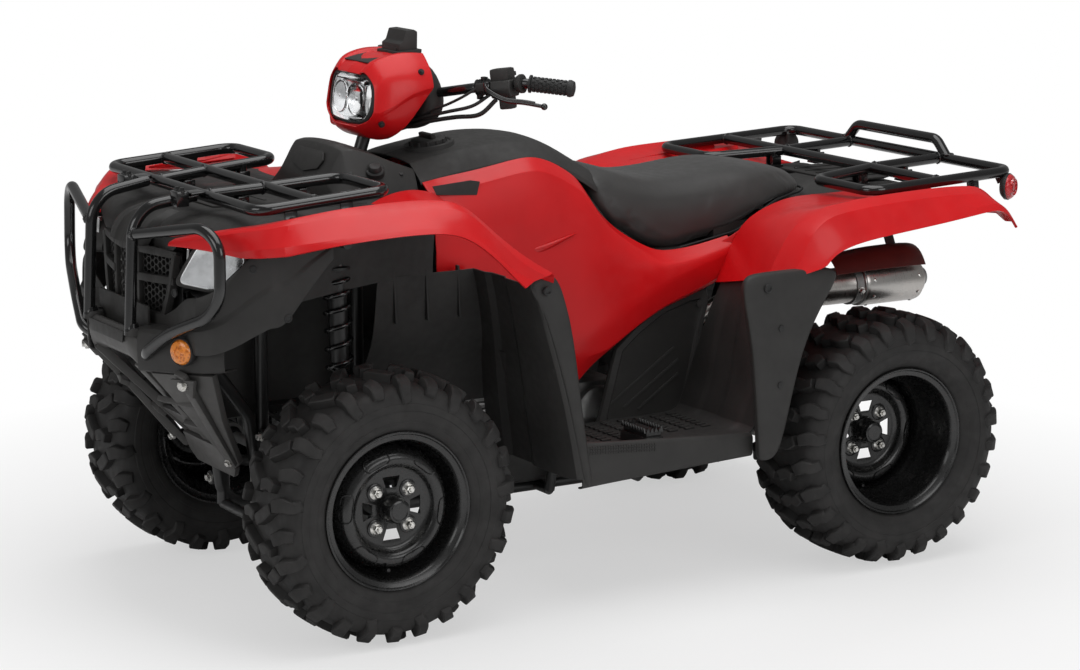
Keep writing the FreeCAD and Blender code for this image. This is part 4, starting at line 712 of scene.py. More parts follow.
def add_lug(shape, carcass, stations, side, turn, half_width):
    draft, foot = 2.2 * MM, 2.5 * MM
    top_ease = 2.4 * MM
    places = []
    for share, pitch, width in spread(stations, 4):
        (across, radius), _ = profile_walk(carcass, share)
        slope = smooth_slope(carcass, share)
        angle = turn + pitch * 2 * math.pi / PITCHES
        around = Vector((0, -math.cos(angle), math.sin(angle)))
        point = Vector((side * across, 0, 0)) + around * radius
        normal = Vector((side * slope[0], 0, 0)) + around * slope[1]
        height = LUG_HEIGHT * (1 if share < 0.55 else lerp(1, 0.24, (share - 0.55) / 0.45))
        places.append((point, normal, width * MM, height))
    rings = []
    last = len(places) - 1
    for i, (point, normal, width, height) in enumerate(places):
        along = (places[min(i + 1, last)][0] - places[max(i - 1, 0)][0]).normalized()
        cross = normal.cross(along).normalized()
        half = width / 2
        ring = [(-half - draft, -foot), (-half, height - top_ease), (-half + top_ease, height),
                (half - top_ease, height), (half, height - top_ease), (half + draft, -foot)]
        if i in (0, last):
            outward = -along if i == 0 else along
            low = [point + cross * a * 0.94 + normal * (-foot) + outward * draft * 1.6 for a, _ in ring]
            mid = [point + cross * a * 0.97 + normal * min(b, height - top_ease) + outward * draft * 0.4
                   for a, b in ring]
            top = [point + cross * a * 0.97 + normal * b - outward * top_ease * 0.5 for a, b in ring]
            rings += [low, mid, top] if i == 0 else [top, mid, low]
        else:
            rings.append([point + cross * a + normal * b for a, b in ring])
    limit = half_width - 0.4 * MM
    for ring in rings:
        for p in ring:
            p.x = max(-limit, min(limit, p.x))
            reach = math.hypot(p.y, p.z)
            if reach > TYRE_RADIUS - 0.1 * MM:
                p.yz = (p.y * (TYRE_RADIUS - 0.1 * MM) / reach, p.z * (TYRE_RADIUS - 0.1 * MM) / reach)
    if side < 0:
        rings = [ring[::-1] for ring in rings]
    shape.stack(rings)


def make_tyre(carcass, lugs, half_width):
    # A tyre about the X axis at the origin, with the lugs' chevrons leading at the top.
    shape = Shape()
    half = mm(*carcass)
    inside = [(82 * MM if half_width > 0.11 else 74 * MM, 166 * MM), (60 * MM, 190 * MM)]
    right = half + [(-a, r) for a, r in reversed(half[:-1])]
    ring = right + [(-a, r) for a, r in inside] + [(a, r) for a, r in reversed(inside)]
    shape.lathe(ring, (0, 0, 0), X_AXIS, 104, closed=True)
    for k in range(PITCHES):
        for side, shift in ((1, 0.0), (-1, 0.5)):
            turn = (k + shift) * 2 * math.pi / PITCHES
            for stations in lugs:
                add_lug(shape, carcass, stations, side, turn, half_width)
    # Two fine moulded ribs run round each sidewall.
    for side in (-1, 1):
        for share, height in ((0.30, 0.8), (0.52, 0.7)):
            low, high = carcass[3], carcass[5]
            across, radius = lerp(low[0], high[0], share) * MM, lerp(low[1], high[1], share) * MM
            rib = [(-2.2 * MM, radius - 1.6 * MM), (height * MM, radius - 0.6 * MM),
                   (height * MM, radius + 0.6 * MM), (-2.2 * MM, radius + 1.6 * MM)]
            shape.lathe([(side * (across + a), r) for a, r in rib], (0, 0, 0), X_AXIS, 104, closed=True)
    return shape


def face_profile():
    # The pressed wheel face from outside in: place along the axle from the face plane, and radius.
    return [(-0.034, 0.1375), (-0.026, 0.1335), (-0.017, 0.1295), (-0.009, 0.1245), (-0.003, 0.1185),
            (0.0, 0.1115), (-0.0006, 0.1045), (-0.0035, 0.099), (-0.009, 0.0945), (-0.0165, 0.0915),
            (-0.0195, 0.0875), (-0.0205, 0.081), (-0.0205, 0.030)]


def oval(centre_angle, radius, length, width, depth_low, depth_high):
    # A bent oval block along the axle, for slots and their lips.
    steps = 10
    arc = length / radius
    outline = []
    for end in (1, -1):
        for k in range(steps + 1):
            t = math.pi * (k / steps) - math.pi / 2
            outline.append((end * (arc / 2 + math.cos(t) * width / radius / 2),
                            end * math.sin(t) * width / 2))
    ring_points = []
    for swing, out in outline:
        r, t = radius + out, centre_angle + swing
        ring_points.append(Vector((0, math.cos(t) * r, math.sin(t) * r)))
    return [[Vector((x, p.y, p.z)) for p in ring_points] for x in (depth_low, depth_high)]


def spoke(degrees):
    # The direction from the axle to a place on the wheel's face.
    return Vector((0, math.cos(math.radians(degrees)), math.sin(math.radians(degrees))))


def face_slot(k, low, high):
    return oval(math.radians(52 + 60 * k), SLOT_CIRCLE, 0.034, 0.022, low, high)


def make_rim(barrel, face):
    # One pressed steel wheel about the X axis, its face towards +X.
    steel = 3.4 * MM
    disc = [(a + face, r) for a, r in face_profile()]
    back = [(a - steel, r) for a, r in reversed(disc)]
    disc_shape = Shape().lathe(disc + back, (0, 0, 0), X_AXIS, 96, closed=True)
    item = disc_shape.make("rim_disc", RIM_BLACK)
    cutter = Shape()
    for k in range(6):
        cutter.stack(face_slot(k, face - 0.045, face + 0.02))
    for turn in range(0, 360, 90):
        out, cross, sunk = spoke(turn), spoke(turn + 90), X_AXIS * (face - 0.04)
        window = [(0.069, -0.021), (0.069, 0.021), (0.045, 0.0125), (0.045, -0.0125)]
        cutter.prism([out * r + cross * w + sunk for r, w in window], (0.05, 0, 0))
    cut(item, cutter, 1.4 * MM, 35)
    shape = Shape()
    shape.lathe(mm(*barrel), (0, 0, 0), X_AXIS, 96, closed=True)
    for k in range(6):
        loop = face_slot(k, 0, 0)[0]
        middle = sum(loop, Vector()) / len(loop)
        rings = []
        for out, lift in ((1.0, -1.6), (2.6, -0.6), (4.6, -3.6), (2.2, -4.4)):
            ring = []
            for p in loop:
                q = p + (p - middle).normalized() * out * MM
                radius = math.hypot(q.y, q.z)
                ring.append(Vector((face + profile_height(radius) + (lift + 3.0) * MM, q.y, q.z)))
            rings.append(ring)
        shape.stack(rings + rings[:1], caps=False)
    bolts = Shape()
    for turn in range(45, 360, 90):
        foot = spoke(turn) * STUD_CIRCLE + X_AXIS * (face - 0.0205)
        shape.lathe(mm((-2, 21), (2.2, 19), (3.4, 16), (3.4, 12)), foot, X_AXIS, 32)
        bolts.lathe(mm((2.2, 14.5), (4.5, 14.5), (7.5, 10.5)), foot, X_AXIS, 28)
        bolts.lathe(mm((7, 9.6), (16, 9.6), (18, 8)), foot, X_AXIS, 6)
        bolts.lathe(mm((17, 5), (22, 5), (23, 4.2)), foot, X_AXIS, 18)
    hub = [(-0.060, 0.026), (-0.0215, 0.030), (-0.006, 0.0295), (-0.001, 0.0275), (0.012, 0.0262),
           (0.0165, 0.0235), (0.018, 0.0195), (0.0165, 0.0175)]
    shape.lathe([(face + a, r) for a, r in hub], (0, 0, 0), X_AXIS)
    # Valve stem.
    out = spoke(-100)
    base = out * 0.1335 + Vector((face - 0.026, 0, 0))
    lean = (X_AXIS - out * 0.15).normalized()
    shape.lathe(mm((-6, 8), (6, 7), (16, 5), (20, 3.6), (24, 4.4), (33, 4.2), (34, 3.4)), base, lean, 20)
    return item, shape, bolts


def profile_height(radius):
    points = sorted((r, a) for a, r in face_profile())
    for (r0, a0), (r1, a1) in zip(points, points[1:]):
        if r0 <= radius <= r1:
            return lerp(a0, a1, (radius - r0) / (r1 - r0))
    return points[0][1] if radius < points[0][0] else points[-1][1]


# Barrels from the outer flange inwards: place along the axle from the wheel's middle plane, and radius.
front_barrel = [(82, 170), (84.5, 172.4), (87.6, 172.2), (88.8, 170.5), (88, 167.8), (84.5, 165.4),
                (82.4, 160), (81, 155), (76, 151), (70, 149.4), (52, 147.2), (41, 138.5), (30, 134.5),
                (-60, 134.5), (-72, 149.5), (-80, 154), (-82, 165), (-86, 169.5), (-88.6, 169.6),
                (-88.6, 173), (-84, 173), (-78, 168), (-77, 157), (-70, 153), (-56, 138.2), (28, 138.2),
                (39, 142), (50, 150.6), (76, 154.6)]
rear_barrel = [(92, 170), (94.5, 172.4), (97.6, 172.2), (98.8, 170.5), (98, 167.8), (94.5, 165.4),
               (92.4, 160), (91, 155), (85, 151), (78, 149.2), (40, 148.4), (22, 146.8), (8, 139),
               (-4, 134.5), (-76, 134.5), (-88, 149.5), (-92, 154), (-94, 165), (-97, 169.5), (-99, 169.6),
               (-99, 173), (-95, 173), (-90, 168), (-89, 157), (-84, 153), (-72, 138.2), (-2, 138.2),
               (10, 142.6), (24, 150.4), (80, 153)]


def place_wheel(name, tyre, rim_parts, centre, flipped, body, tyre_node, rim_node):
    # Sets one wheel's pieces on its hub, mirrored for the right side.
    move = Matrix.Translation(Vector(centre))
    if flipped:
        move = move @ Matrix.Scale(-1, 4, X_AXIS)
    disc, rest, bolts = rim_parts
    if tyre_node:
        piece = tyre.moved(move).make(name + "_tyre", TYRE, 32)
        ready(piece, tyre_node, body=body)
    face = bpy.data.objects.new(name + "_wheel_face", disc.data.copy())
    bpy.context.scene.collection.objects.link(face)
    face.data.transform(move)
    if flipped:
        face.data.flip_normals()
    ready(face, body=body)
    barrel = rest.moved(move).make(name + "_wheel_rim", RIM_BLACK, 32)
    ready(barrel, *([rim_node] if rim_node else []), body=body)
    nuts = bolts.moved(move).make(name + "_wheel_nuts", ZINC, 30)
    ready(nuts, body=body)


FRONT_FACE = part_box("rim_front_left")[1][0] - FRONT_X - 18 * MM
REAR_FACE = -21 * MM


def make_wheels():
    front_tyre = make_tyre(front_carcass, front_lugs, FRONT_HALF)
    rear_tyre = make_tyre(rear_carcass, rear_lugs, REAR_HALF)
    front_rim = make_rim(front_barrel, FRONT_FACE)
    rear_rim = make_rim(rear_barrel, REAR_FACE)
    for side, name in ((1, "left"), (-1, "right")):
        centre = (side * FRONT_X, FRONT_Y, HUB_HEIGHT)
        place_wheel("front_" + name, front_tyre, front_rim, centre, side < 0, "wheel_front_" + name,
                    "tyre_front_" + name, "rim_front_" + name)
    both = Shape()
    for side in (1, -1):
        move = Matrix.Translation(Vector((side * REAR_X, REAR_Y, HUB_HEIGHT)))
        both.merge(rear_tyre.moved(move if side > 0 else move @ Matrix.Scale(-1, 4, X_AXIS)))
    both.piece("rear_tyre_pair", TYRE, 32, node="rear_tyres", body="rear_wheels")
    for side, name in ((1, "left"), (-1, "right")):
        centre = (side * REAR_X, REAR_Y, HUB_HEIGHT)
        place_wheel("rear_" + name, None, rear_rim, centre, side < 0, "rear_wheels", None,
                    "rear_rims" if side > 0 else None)
    for item in (front_rim[0], rear_rim[0]):
        bpy.data.objects.remove(item)


make_wheels()


# Front fenders

FENDER_LOW, FENDER_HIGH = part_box("front_fenders")
FENDER_OUT = FENDER_HIGH[0]
FENDER_FALL = 240 * MM
LIP_FLARE = 11 * MM

# Rows that turn the fender's front corner: inner edge, ridge, crease, chamfer foot, band foot, lip, return.
front_corner_rows = [
    [(215, -1000, 868), (215, -1012, 868), (215, -1022, 864), (215, -1028, 860), (215, -1030, 856),
     (215, -1030, 853), (215, -1018, 852)],
    [(260, -985, 880), (261, -1000, 880), (262, -1010, 875), (262, -1016, 868), (262, -1018, 860),
     (262, -1018, 856), (262, -1006, 854)],
    [(315, -945, 895), (318, -958, 895), (320, -972, 890), (322, -980, 882), (323, -982, 860),
     (323, -982, 853), (322, -970, 851)],
    [(355, -905, 905), (365, -915, 906), (372, -930, 904), (376, -938, 897), (381, -943, 858),
     (381, -941, 843), (378, -928, 841)],
    [(385, -870, 912), (400, -885, 915), (415, -905, 912), (422, -912, 905), (440, -925, 868),
     (441, -922, 850), (437, -911, 848)],
    [(410, -835, 917), (430, -845, 926), (452, -862, 928), (466, -872, 919), (493, -895, 878),
     (498, -895, 860), (492, -884, 858)],
    [(425, -795, 917), (446, -800, 934), (468, -812, 938), (492, -822, 927), (531, -850, 888),
     (537, -852, 874), (530, -842, 872)],
    [(435, -750, 914), (454, -752, 939), (477, -760, 945), (503, -766, 933), (552, -785, 896),
     (559, -787, 885), (551, -780, 883)],
]
# Further back: place along the fender, edge and crest shares, then drops of the inner edge, ridge, crest
# and lip.
front_side_shares = [
    (0.42, 0.58, 0.52, 0.27, 0.15, 0.108, 0.34), (0.575, 0.58, 0.55, 0.265, 0.14, 0.096, 0.335),
    (0.66, 0.60, 0.62, 0.29, 0.16, 0.11, 0.37), (0.73, 0.66, 0.75, 0.37, 0.20, 0.14, 0.465),
    (0.815, 0.80, 1.0, 0.565, 0.475, 0.42, 0.675),
]
# The fender's foot, cut off slanting where the flap begins.
front_foot_rows = [
    [(512, -345, 783), (527, -348, 800), (545, -356, 818), (560, -370, 806), (563, -394, 794),
     (573, -404, 787), (565, -402, 785)],
    [(514, -268, 752), (528, -274, 766), (547, -289, 778), (561, -312, 775), (563, -345, 768),
     (573, -371, 757), (565, -369, 755)],
]


def fender_section(y, heights, x_in, x_out, edge_share, crest_share, lip_fall):
    inner, ridge, crease, low = heights
    edge = lerp(x_in, x_out, edge_share)
    rise = lerp(edge, x_out, 0.22 * crest_share)
    top = lerp(edge, x_out, 0.52 * crest_share)
    foot = lerp(top, x_out, 0.16 + 0.36 * crest_share)
    section = [(edge, inner), (rise, ridge), (top, crease), (foot, crease - 14 * MM),
               (x_out - LIP_FLARE, low + lip_fall), (x_out, low), (x_out - LIP_FLARE * 0.7, low - 2 * MM)]
    return [Vector((x, y, z)) for x, z in section]


def front_fender_rows():
    rows = [spots(*row) for row in front_corner_rows]
    for along, edge, crest, *drops in front_side_shares:
        y = lerp(FENDER_LOW[1], FENDER_HIGH[1], along)
        heights = [FENDER_HIGH[2] - FENDER_FALL * share for share in drops]
        lip_fall = lerp(9, 17, max(along - 0.4, 0) / 0.6) * MM
        rows.append(fender_section(y, heights, inner_x("front_fenders"), FENDER_OUT, edge, crest, lip_fall))
    return rows + [spots(*row) for row in front_foot_rows]


def make_front_fenders():
    rows = front_fender_rows()
    item = panel("front_fender_skins", rows, RED, crease_rows=(3, 5), crease_columns=(1, 2, 3, 4, 5),
                 sharpness=0.97)
    ready(item, "front_fenders")
    # The shoulder between the fender and the side panel.
    panel_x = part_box("side_panels")[1][0]
    shoulder = []
    for y, inner, outer in ((-560, 903, 903), (-520, 921, 900), (-470, 930, 893), (-425, 926, 862),
                            (-396, 915, 826)):
        x_out = lerp(442, 520, max(y + 520, 0) / 130)
        shoulder.append(spots((panel_x / MM - 14, y, inner), (lerp(panel_x / MM, x_out, 0.4), y,
                                                              lerp(inner, outer, 0.3)), (x_out, y, outer)))
    ready(panel("fender_shoulders", shoulder, RED, crease_rows=(0,)))


# The black deck between the fenders: its outer edge meets the fender's inner edge.
deck_outer = [(180, -1004, 836), (214, -1000, 862), (258, -984, 877), (312, -944, 892), (352, -905, 902),
              (383, -868, 909), (408, -833, 914), (430, -770, 912), (440, -680, 908), (442, -560, 905),
              (330, -500, 906), (262, -402, 908)]
deck_middle = [(-1003, 822), (-1006, 846), (-998, 872), (-972, 892), (-925, 902), (-870, 905), (-810, 906),
               (-750, 906), (-660, 906), (-580, 906), (-500, 906), (-402, 906)]
deck_cheek_shares = [0, 2, 7, 11, 10, 6, 2, 0, 0, 0, 0, 0]


def make_deck():
    rows = []
    for (x, y, z), (mid_y, mid_z), cheek in zip(deck_outer, deck_middle, deck_cheek_shares):
        row = []
        for share, lift in ((0, 0), (0.34, 0.0), (0.55, 0.3), (0.68, 1.0), (0.84, 0.8), (1, 0)):
            row.append(spot(x * share, lerp(mid_y, y, share ** 2),
                            lerp(mid_z, z, share ** 2) + cheek * lift))
        rows.append(row)
    item = panel("front_deck", rows, DARK_MATT, wall=3, crease_rows=(0,))
    ready(item, "front_top_cover")


# Rear fenders

REAR_LOW, REAR_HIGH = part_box("rear_fenders")
REAR_FALL = 190 * MM
# Each row: inner edge, ridge, crease, chamfer foot, band foot, lip, return.
rear_front_rows = [
    [(225, 350, 648), (350, 333, 672), (480, 315, 700), (545, 343, 707), (569, 396, 726), (576, 414, 735),
     (568, 416, 734)],
    [(222, 378, 702), (350, 362, 730), (480, 350, 762), (545, 370, 765), (571, 415, 744), (577, 428, 750),
     (569, 430, 749)],
    [(226, 402, 752), (352, 390, 788), (480, 388, 817), (545, 399, 812), (572, 436, 770), (578, 446, 762),
     (570, 448, 761)],
    [(236, 430, 800), (362, 430, 832), (486, 444, 850), (545, 440, 842), (571, 476, 786), (578, 484, 774),
     (570, 486, 773)],
]
rear_side_shares = [
    (0.42, 0.205, 0.10, 0.062, 0.49), (0.50, 0.20, 0.06, 0.028, 0.45), (0.71, 0.20, 0.03, 0.0, 0.37),
    (0.84, 0.205, 0.035, 0.004, 0.30), (0.905, 0.22, 0.08, 0.05, 0.275), (0.94, 0.30, 0.22, 0.20, 0.38),
    (0.965, 0.44, 0.40, 0.385, 0.525),
]


def make_rear_fenders():
    rows = [spots(*row) for row in rear_front_rows]
    x_in = inner_x("rear_fenders") + 10 * MM
    for along, *drops in rear_side_shares:
        y = lerp(REAR_LOW[1], REAR_HIGH[1], along)
        inner, ridge, crease, low = (REAR_HIGH[2] - REAR_FALL * share for share in drops)
        x_out = REAR_HIGH[0]
        section = [(x_in, inner), (lerp(x_in, x_out, 0.60), lerp(inner, ridge, 0.35)),
                   (lerp(x_in, x_out, 0.78), crease), (lerp(x_in, x_out, 0.88), crease - 15 * MM),
                   (x_out - LIP_FLARE, low + 15 * MM), (x_out, low),
                   (x_out - LIP_FLARE * 0.7, low - 2 * MM)]
        rows.append([Vector((x, y, z)) for x, z in section])
    item = panel("rear_fender_skins", rows, RED, crease_rows=(0,), crease_columns=(2, 3, 4, 5),
                 sharpness=0.97)
    ready(item, "rear_fenders")


def make_fender_trim():
    # Slim wedges pressed into the fender tops, and the deck's plate and nose cowl.
    wedges = Shape()
    for start, end, width in (((430, -790, 925), (452, -640, 933), 7),
                              ((438, -700, 922), (455, -560, 932), 6),
                              ((420, 520, 846), (452, 800, 862), 8), ((400, 600, 846), (430, 860, 856), 7)):
        a, b = spot(*start), spot(*end)
        side = (b - a).cross(Z_AXIS).normalized() * width * MM
        low = Z_AXIS * -6 * MM
        wedges.stack([[a + low * 0.2, a + low * 0.2 + side * 0.02, a + low],
                      [b + side + low, b + Z_AXIS * 3 * MM, b - side + low]])
    wedges.pair("fender_wedges", RED, 20)
    plate = Shape()
    outline = mirrored((96, -872), (112, -850), (120, -600), (104, -560))
    plate.prism([spot(x, y, 903) for x, y in outline], Z_AXIS * 6 * MM, 2.5)
    for x in (-178, 178):
        plate.prism([spot(x + a, y, 903) for a, y in ((-34, -840), (30, -840), (40, -780), (40, -560),
                                                      (-40, -560), (-40, -800))], Z_AXIS * 5 * MM, 2.5)
    for y in (-800, -740, -680, -620):
        plate.box(spot(-84, y - 4, 908), spot(84, y + 4, 911), 1.5)
    plate.piece("deck_plates", BLACK)
    cowl = []
    for x, y, z in ((72, -1036, 832), (78, -1030, 850), (80, -1016, 872), (76, -990, 892), (64, -950, 903)):
        cowl.append(spots((0, y - 5, z - 1), (x * 0.72, y - 3, z - 1), (x * 0.8, y - 9, z + 4),
                          (x, y - 4, z + 3), (x * 1.1, y + 18, z - 4)))
    ready(panel("nose_cowl", cowl, BLACK, crease_rows=(0, 4), crease_columns=(1, 2, 3), sharpness=0.8))


make_front_fenders()
make_deck()
make_rear_fenders()
make_fender_trim()


# Body panels between the wheels


def make_side_panels():
    # From the seat's edge down to the engine cover, each as (x, z): top edge, bevel foot, two points of
    # the face, upper crease, lower crease, low edge.
    table = [
        (-400, (172, 934), (214, 908), (228, 868), (231, 820), (236, 790), (236, 745), (216, 700)),
        (-345, (171, 943), (213, 916), (229, 868), (232, 800), (236, 760), (236, 700), (217, 640)),
        (-274, (170, 950), (208, 926), (228, 868), (232, 770), (236, 725), (236, 650), (218, 585)),
        (-200, (169, 962), (205, 938), (226, 872), (232, 735), (236, 680), (236, 610), (220, 535)),
        (-150, (168, 970), (204, 945), (225, 874), (232, 705), (236, 630), (234, 570), (221, 490)),
        (-108, (168, 971), (204, 944), (225, 870), (232, 660), (236, 590), (232, 535), (222, 460)),
        (-60, (168, 954), (204, 922), (226, 844), (233, 612), (236, 552), (230, 512), (214, 438)),
        (-24, (169, 932), (205, 900), (227, 820), (234, 620), (236, 552), (230, 507), (206, 435)),
        (10, (171, 908), (206, 880), (227, 800), (233, 650), (236, 568), (229, 510), (210, 478)),
        (56, (176, 826), (208, 806), (226, 762), (233, 670), (236, 590), (228, 517), (220, 512)),
        (120, (186, 774), (210, 758), (226, 728), (233, 694), (236, 620), (228, 560), (219, 554)),
        (180, (192, 742), (212, 724), (226, 712), (232, 702), (236, 650), (228, 592), (218, 585)),
        (216, (194, 728), (214, 708), (225, 702), (231, 696), (235, 664), (228, 609), (217, 601)),
        (290, (196, 732), (214, 716), (224, 710), (229, 705), (232, 686), (226, 632), (215, 622)),
        (350, (197, 742), (214, 728), (222, 722), (226, 716), (229, 704), (222, 652), (212, 640)),
        (400, (198, 752), (214, 740), (221, 734), (224, 728), (226, 718), (218, 672), (210, 664)),
    ]
    rows = [[spot(x, y, z) for x, z in line] for y, *line in table]
    item = panel("side_panel_skins", rows, RED, crease_columns=(1, 4, 5), sharpness=0.94)
    ready(item, "side_panels")
    # Vent: dark mesh pocket in a red frame, just above the front fender.
    pocket = Shape()
    pocket.prism(spots((213.5, -398, 930), (211.5, -300, 936), (210, -276, 931), (213.5, -286, 902),
                       (216, -388, 910)), spot(3.5, 0, 0.5), 1.2)
    pocket.pair("side_vents", DARK_MATT)
    # Raised fin on the face of the panel.
    fin = Shape()
    rings = []
    for y, z, half_z, rise in ((-150, 764, 10, -1), (-126, 767, 12, 3), (-90, 778, 9, 4.0),
                               (-60, 788, 6, 3), (-30, 798, 1.5, -1)):
        x = 229.5
        rings.append(spots((x - 4, y, z + half_z), (x + rise, y - 3, z + half_z * 0.7),
                           (x + rise * 0.8, y, z - half_z * 0.2), (x - 4, y, z - half_z)))
    fin.stack(rings)
    fin.pair("panel_fins", RED, 60, 2)


def make_tank_cover():
    # Rows along Y: crown, its flat, shoulder crease, slope, lower crease, foot. The tail tucks under the
    # seat.
    table = [
        (-398, (0, 976), (62, 975), (112, 968), (138, 950), (160, 934), (164, 926)),
        (-372, (0, 984), (64, 982), (114, 976), (140, 958), (163, 938), (167, 929)),
        (-300, (0, 990), (64, 988), (116, 988), (144, 970), (165, 950), (168, 941)),
        (-230, (0, 1002), (66, 1000), (118, 997), (146, 981), (166, 958), (168, 949)),
        (-160, (0, 1011), (66, 1009), (118, 1003), (146, 989), (166, 968), (168, 959)),
        (-110, (0, 1012), (66, 1010), (117, 1002), (145, 988), (166, 971), (168, 962)),
        (-60, (0, 1003), (64, 1001), (115, 988), (143, 974), (165, 956), (168, 946)),
        (-10, (0, 983), (60, 980), (112, 964), (141, 948), (165, 929), (168, 918)),
        (30, (0, 960), (54, 957), (108, 944), (138, 929), (163, 908), (166, 896)),
        (70, (0, 930), (50, 928), (104, 922), (134, 908), (160, 880), (163, 868)),
        (112, (0, 902), (50, 900), (100, 894), (130, 880), (156, 852), (158, 842)),
    ]
    rows = [[spot(x, y, z) for x, z in line] for y, *line in table]
    item = panel("tank_cover_skin", rows, DARK_MATT, crease_rows=(0,), crease_columns=(2, 4), sharpness=0.6)
    ready(item, "tank_cover")
    # Filler recess rim and cap.
    cap = Shape()
    centre, up = spot(20, -300, 994), Vector((0, -0.15, 1)).normalized()
    cap.lathe(mm((-6, 60), (3.5, 58), (6, 55), (5, 51), (2, 49), (2, 40)),
              centre, up, 56)
    cap.piece("filler_ring", DARK_MATT)
    knob = Shape()
    knob.lathe(mm((0, 41), (11, 40), (15, 36), (16.5, 30), (17, 12)), centre, up)
    for turn in range(12):
        angle = math.tau * turn / 12
        side = Vector((math.cos(angle), math.sin(angle), 0.15 * math.sin(angle)))
        foot = centre + side * 40 * MM
        knob.rod(foot + up * 2 * MM, foot + up * 12 * MM, 4.2, 3.4, 10)
    knob.prism([centre + up * 15 * MM + Vector((a, b, b * 0.15)) * MM
                for a, b in ((-30, -6), (30, -6), (32, 0), (30, 6), (-30, 6), (-32, 0))], up * 11 * MM, 2.5)
    knob.piece("filler_cap", DARK_MATT)


def make_console():
    low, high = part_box("console")
    half_x, top, base = high[0], high[2], low[2] + 2 * MM
    table = [
        # along, crown drop, how far the top's corner reaches out
        (0.0, 0.98, 0.66), (0.03, 0.66, 0.66), (0.16, 0.17, 0.68), (0.22, 0.04, 0.69), (0.32, 0.0, 0.72),
        (0.45, 0.06, 0.78), (0.62, 0.20, 0.84), (0.8, 0.36, 0.86), (1.0, 0.50, 0.86),
    ]
    rows = []
    for along, drop, reach in table:
        y = lerp(low[1], high[1], along)
        crown = lerp(top, base, drop)
        rows.append([Vector((0, y, crown)), Vector((half_x * reach * 0.6, y, lerp(base, crown, 0.99))),
                     Vector((half_x * reach, y, lerp(base, crown, 0.93))),
                     Vector((half_x * lerp(reach, 1, 0.6), y, lerp(base, crown, 0.45))),
                     Vector((half_x, y, base))])
    item = panel("console_skin", rows, BLACK, crease_rows=(1, 3), crease_columns=(2, 3), sharpness=0.8)
    ready(item, "console")
    # Blank shield plate on the face, a stepped knob and two bosses beside it.
    plate = Shape()
    outline = [(-58, 0.9), (58, 0.9), (72, 0.62), (60, 0.30), (0, 0.10), (-60, 0.30), (-72, 0.62)]
    face_low, face_high = spot(0, -606, 946), spot(0, -578, 1006)
    tilt = (face_high - face_low).normalized()
    outward = Vector((0, -tilt.z, tilt.y))
    plate.prism([face_low.lerp(face_high, v) + X_AXIS * u * MM + outward * 1.5 * MM for u, v in outline],
                outward * 4 * MM, 1.2)
    plate.piece("console_plate", DARK_MATT)
    knob = Shape()
    centre, up = spot(150, -505, 962), Vector((0.45, -0.25, 1)).normalized()
    knob.lathe(mm((-8, 21), (4, 21), (6, 19), (6, 15), (14, 14), (17, 12), (17.5, 6)), centre, up, 36)
    knob.bolt(spot(140, -560, 958), (0.5, -0.5, 0.8))
    knob.bolt(spot(146, -440, 950), (0.6, 0, 0.8))
    knob.pair("console_knobs", BOOT)


def make_rear_deck():
    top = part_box("rear_top_cover")[1][2]
    table = [(590, 44), (640, 34), (700, 20), (745, 4), (790, 0), (860, 0), (930, 0), (962, 14)]
    rows = []
    for y, drop in table:
        z = top / MM - drop
        rows.append(spots((0, y, z + 2), (60, y, z + 2), (78, y, z - 4), (120, y, z - 6), (150, y, z - 3),
                          (226, y, z - 3)))
    item = panel("rear_deck", rows, DARK_MATT, wall=3, crease_rows=(3,), crease_columns=(1, 2, 3, 4),
                 sharpness=0.6)
    ready(item, "rear_top_cover")
    # Cargo hatch with its hinge ribs, and the tail's drop behind it.
    hatch = Shape()
    hatch.prism([spot(x, y, 838.5) for x, y in mirrored((120, 780), (134, 800), (134, 910), (118, 936))],
                Z_AXIS * 5 * MM, 2)
    for x in (-90, -45, 0, 45, 90):
        hatch.box(spot(x - 5, 800, 842), spot(x + 5, 915, 846.5), 2)
    tail = [[spot(x, y, z) for x in (-215, -150, 0, 150, 215)]
            for y, z in ((958, 826), (968, 812), (966, 780), (950, 742))]
    hatch.piece("rear_hatch", DARK_MATT)
    ready(panel("tail_apron", tail, DARK_MATT, wall=3, crease_rows=(1, 2), mirror=False, sharpness=0.7))


make_side_panels()
make_tank_cover()
make_console()
make_rear_deck()


# Seat: a foam cushion under a vinyl cover, swollen by cloth pressure

SEAT_CAP = 9 * MM


def swollen(item, voxel, cap):
    # Lets air pressure round a closed form, no point moving further than the cap.
    voxels = item.modifiers.new("Voxels", "REMESH")
    voxels.mode, voxels.voxel_size = "VOXEL", voxel
    bake(item)
    start = [v.co.copy() for v in item.data.vertices]
    cloth = item.modifiers.new("Cloth", "CLOTH")
    cloth.settings.use_pressure = True
    cloth.settings.uniform_pressure_force = 4
    cloth.settings.quality = 4
    cloth.settings.tension_stiffness = cloth.settings.compression_stiffness = 25
    cloth.settings.effector_weights.gravity = 0
    cloth.collision_settings.use_collision = False
    cloth.point_cache.frame_start, cloth.point_cache.frame_end = 1, 20
    for step in range(1, 21):
        bpy.context.scene.frame_set(step)
        bpy.context.view_layer.update()
        if step == 20:
            shown = item.evaluated_get(bpy.context.evaluated_depsgraph_get())
            moved = [v.co.copy() for v in shown.data.vertices]
    item.modifiers.clear()
    bpy.context.scene.frame_set(1)
    for v, first, last in zip(item.data.vertices, start, moved):
        shift = last - first
        v.co = first + shift * min(1, cap / max(shift.length, 1e-9))
    rounder = item.modifiers.new("Rounder", "SMOOTH")
    rounder.factor, rounder.iterations = 0.5, 6
    finer = item.modifiers.new("Finer", "SUBSURF")
    finer.levels = finer.render_levels = 1
    return bake(item)


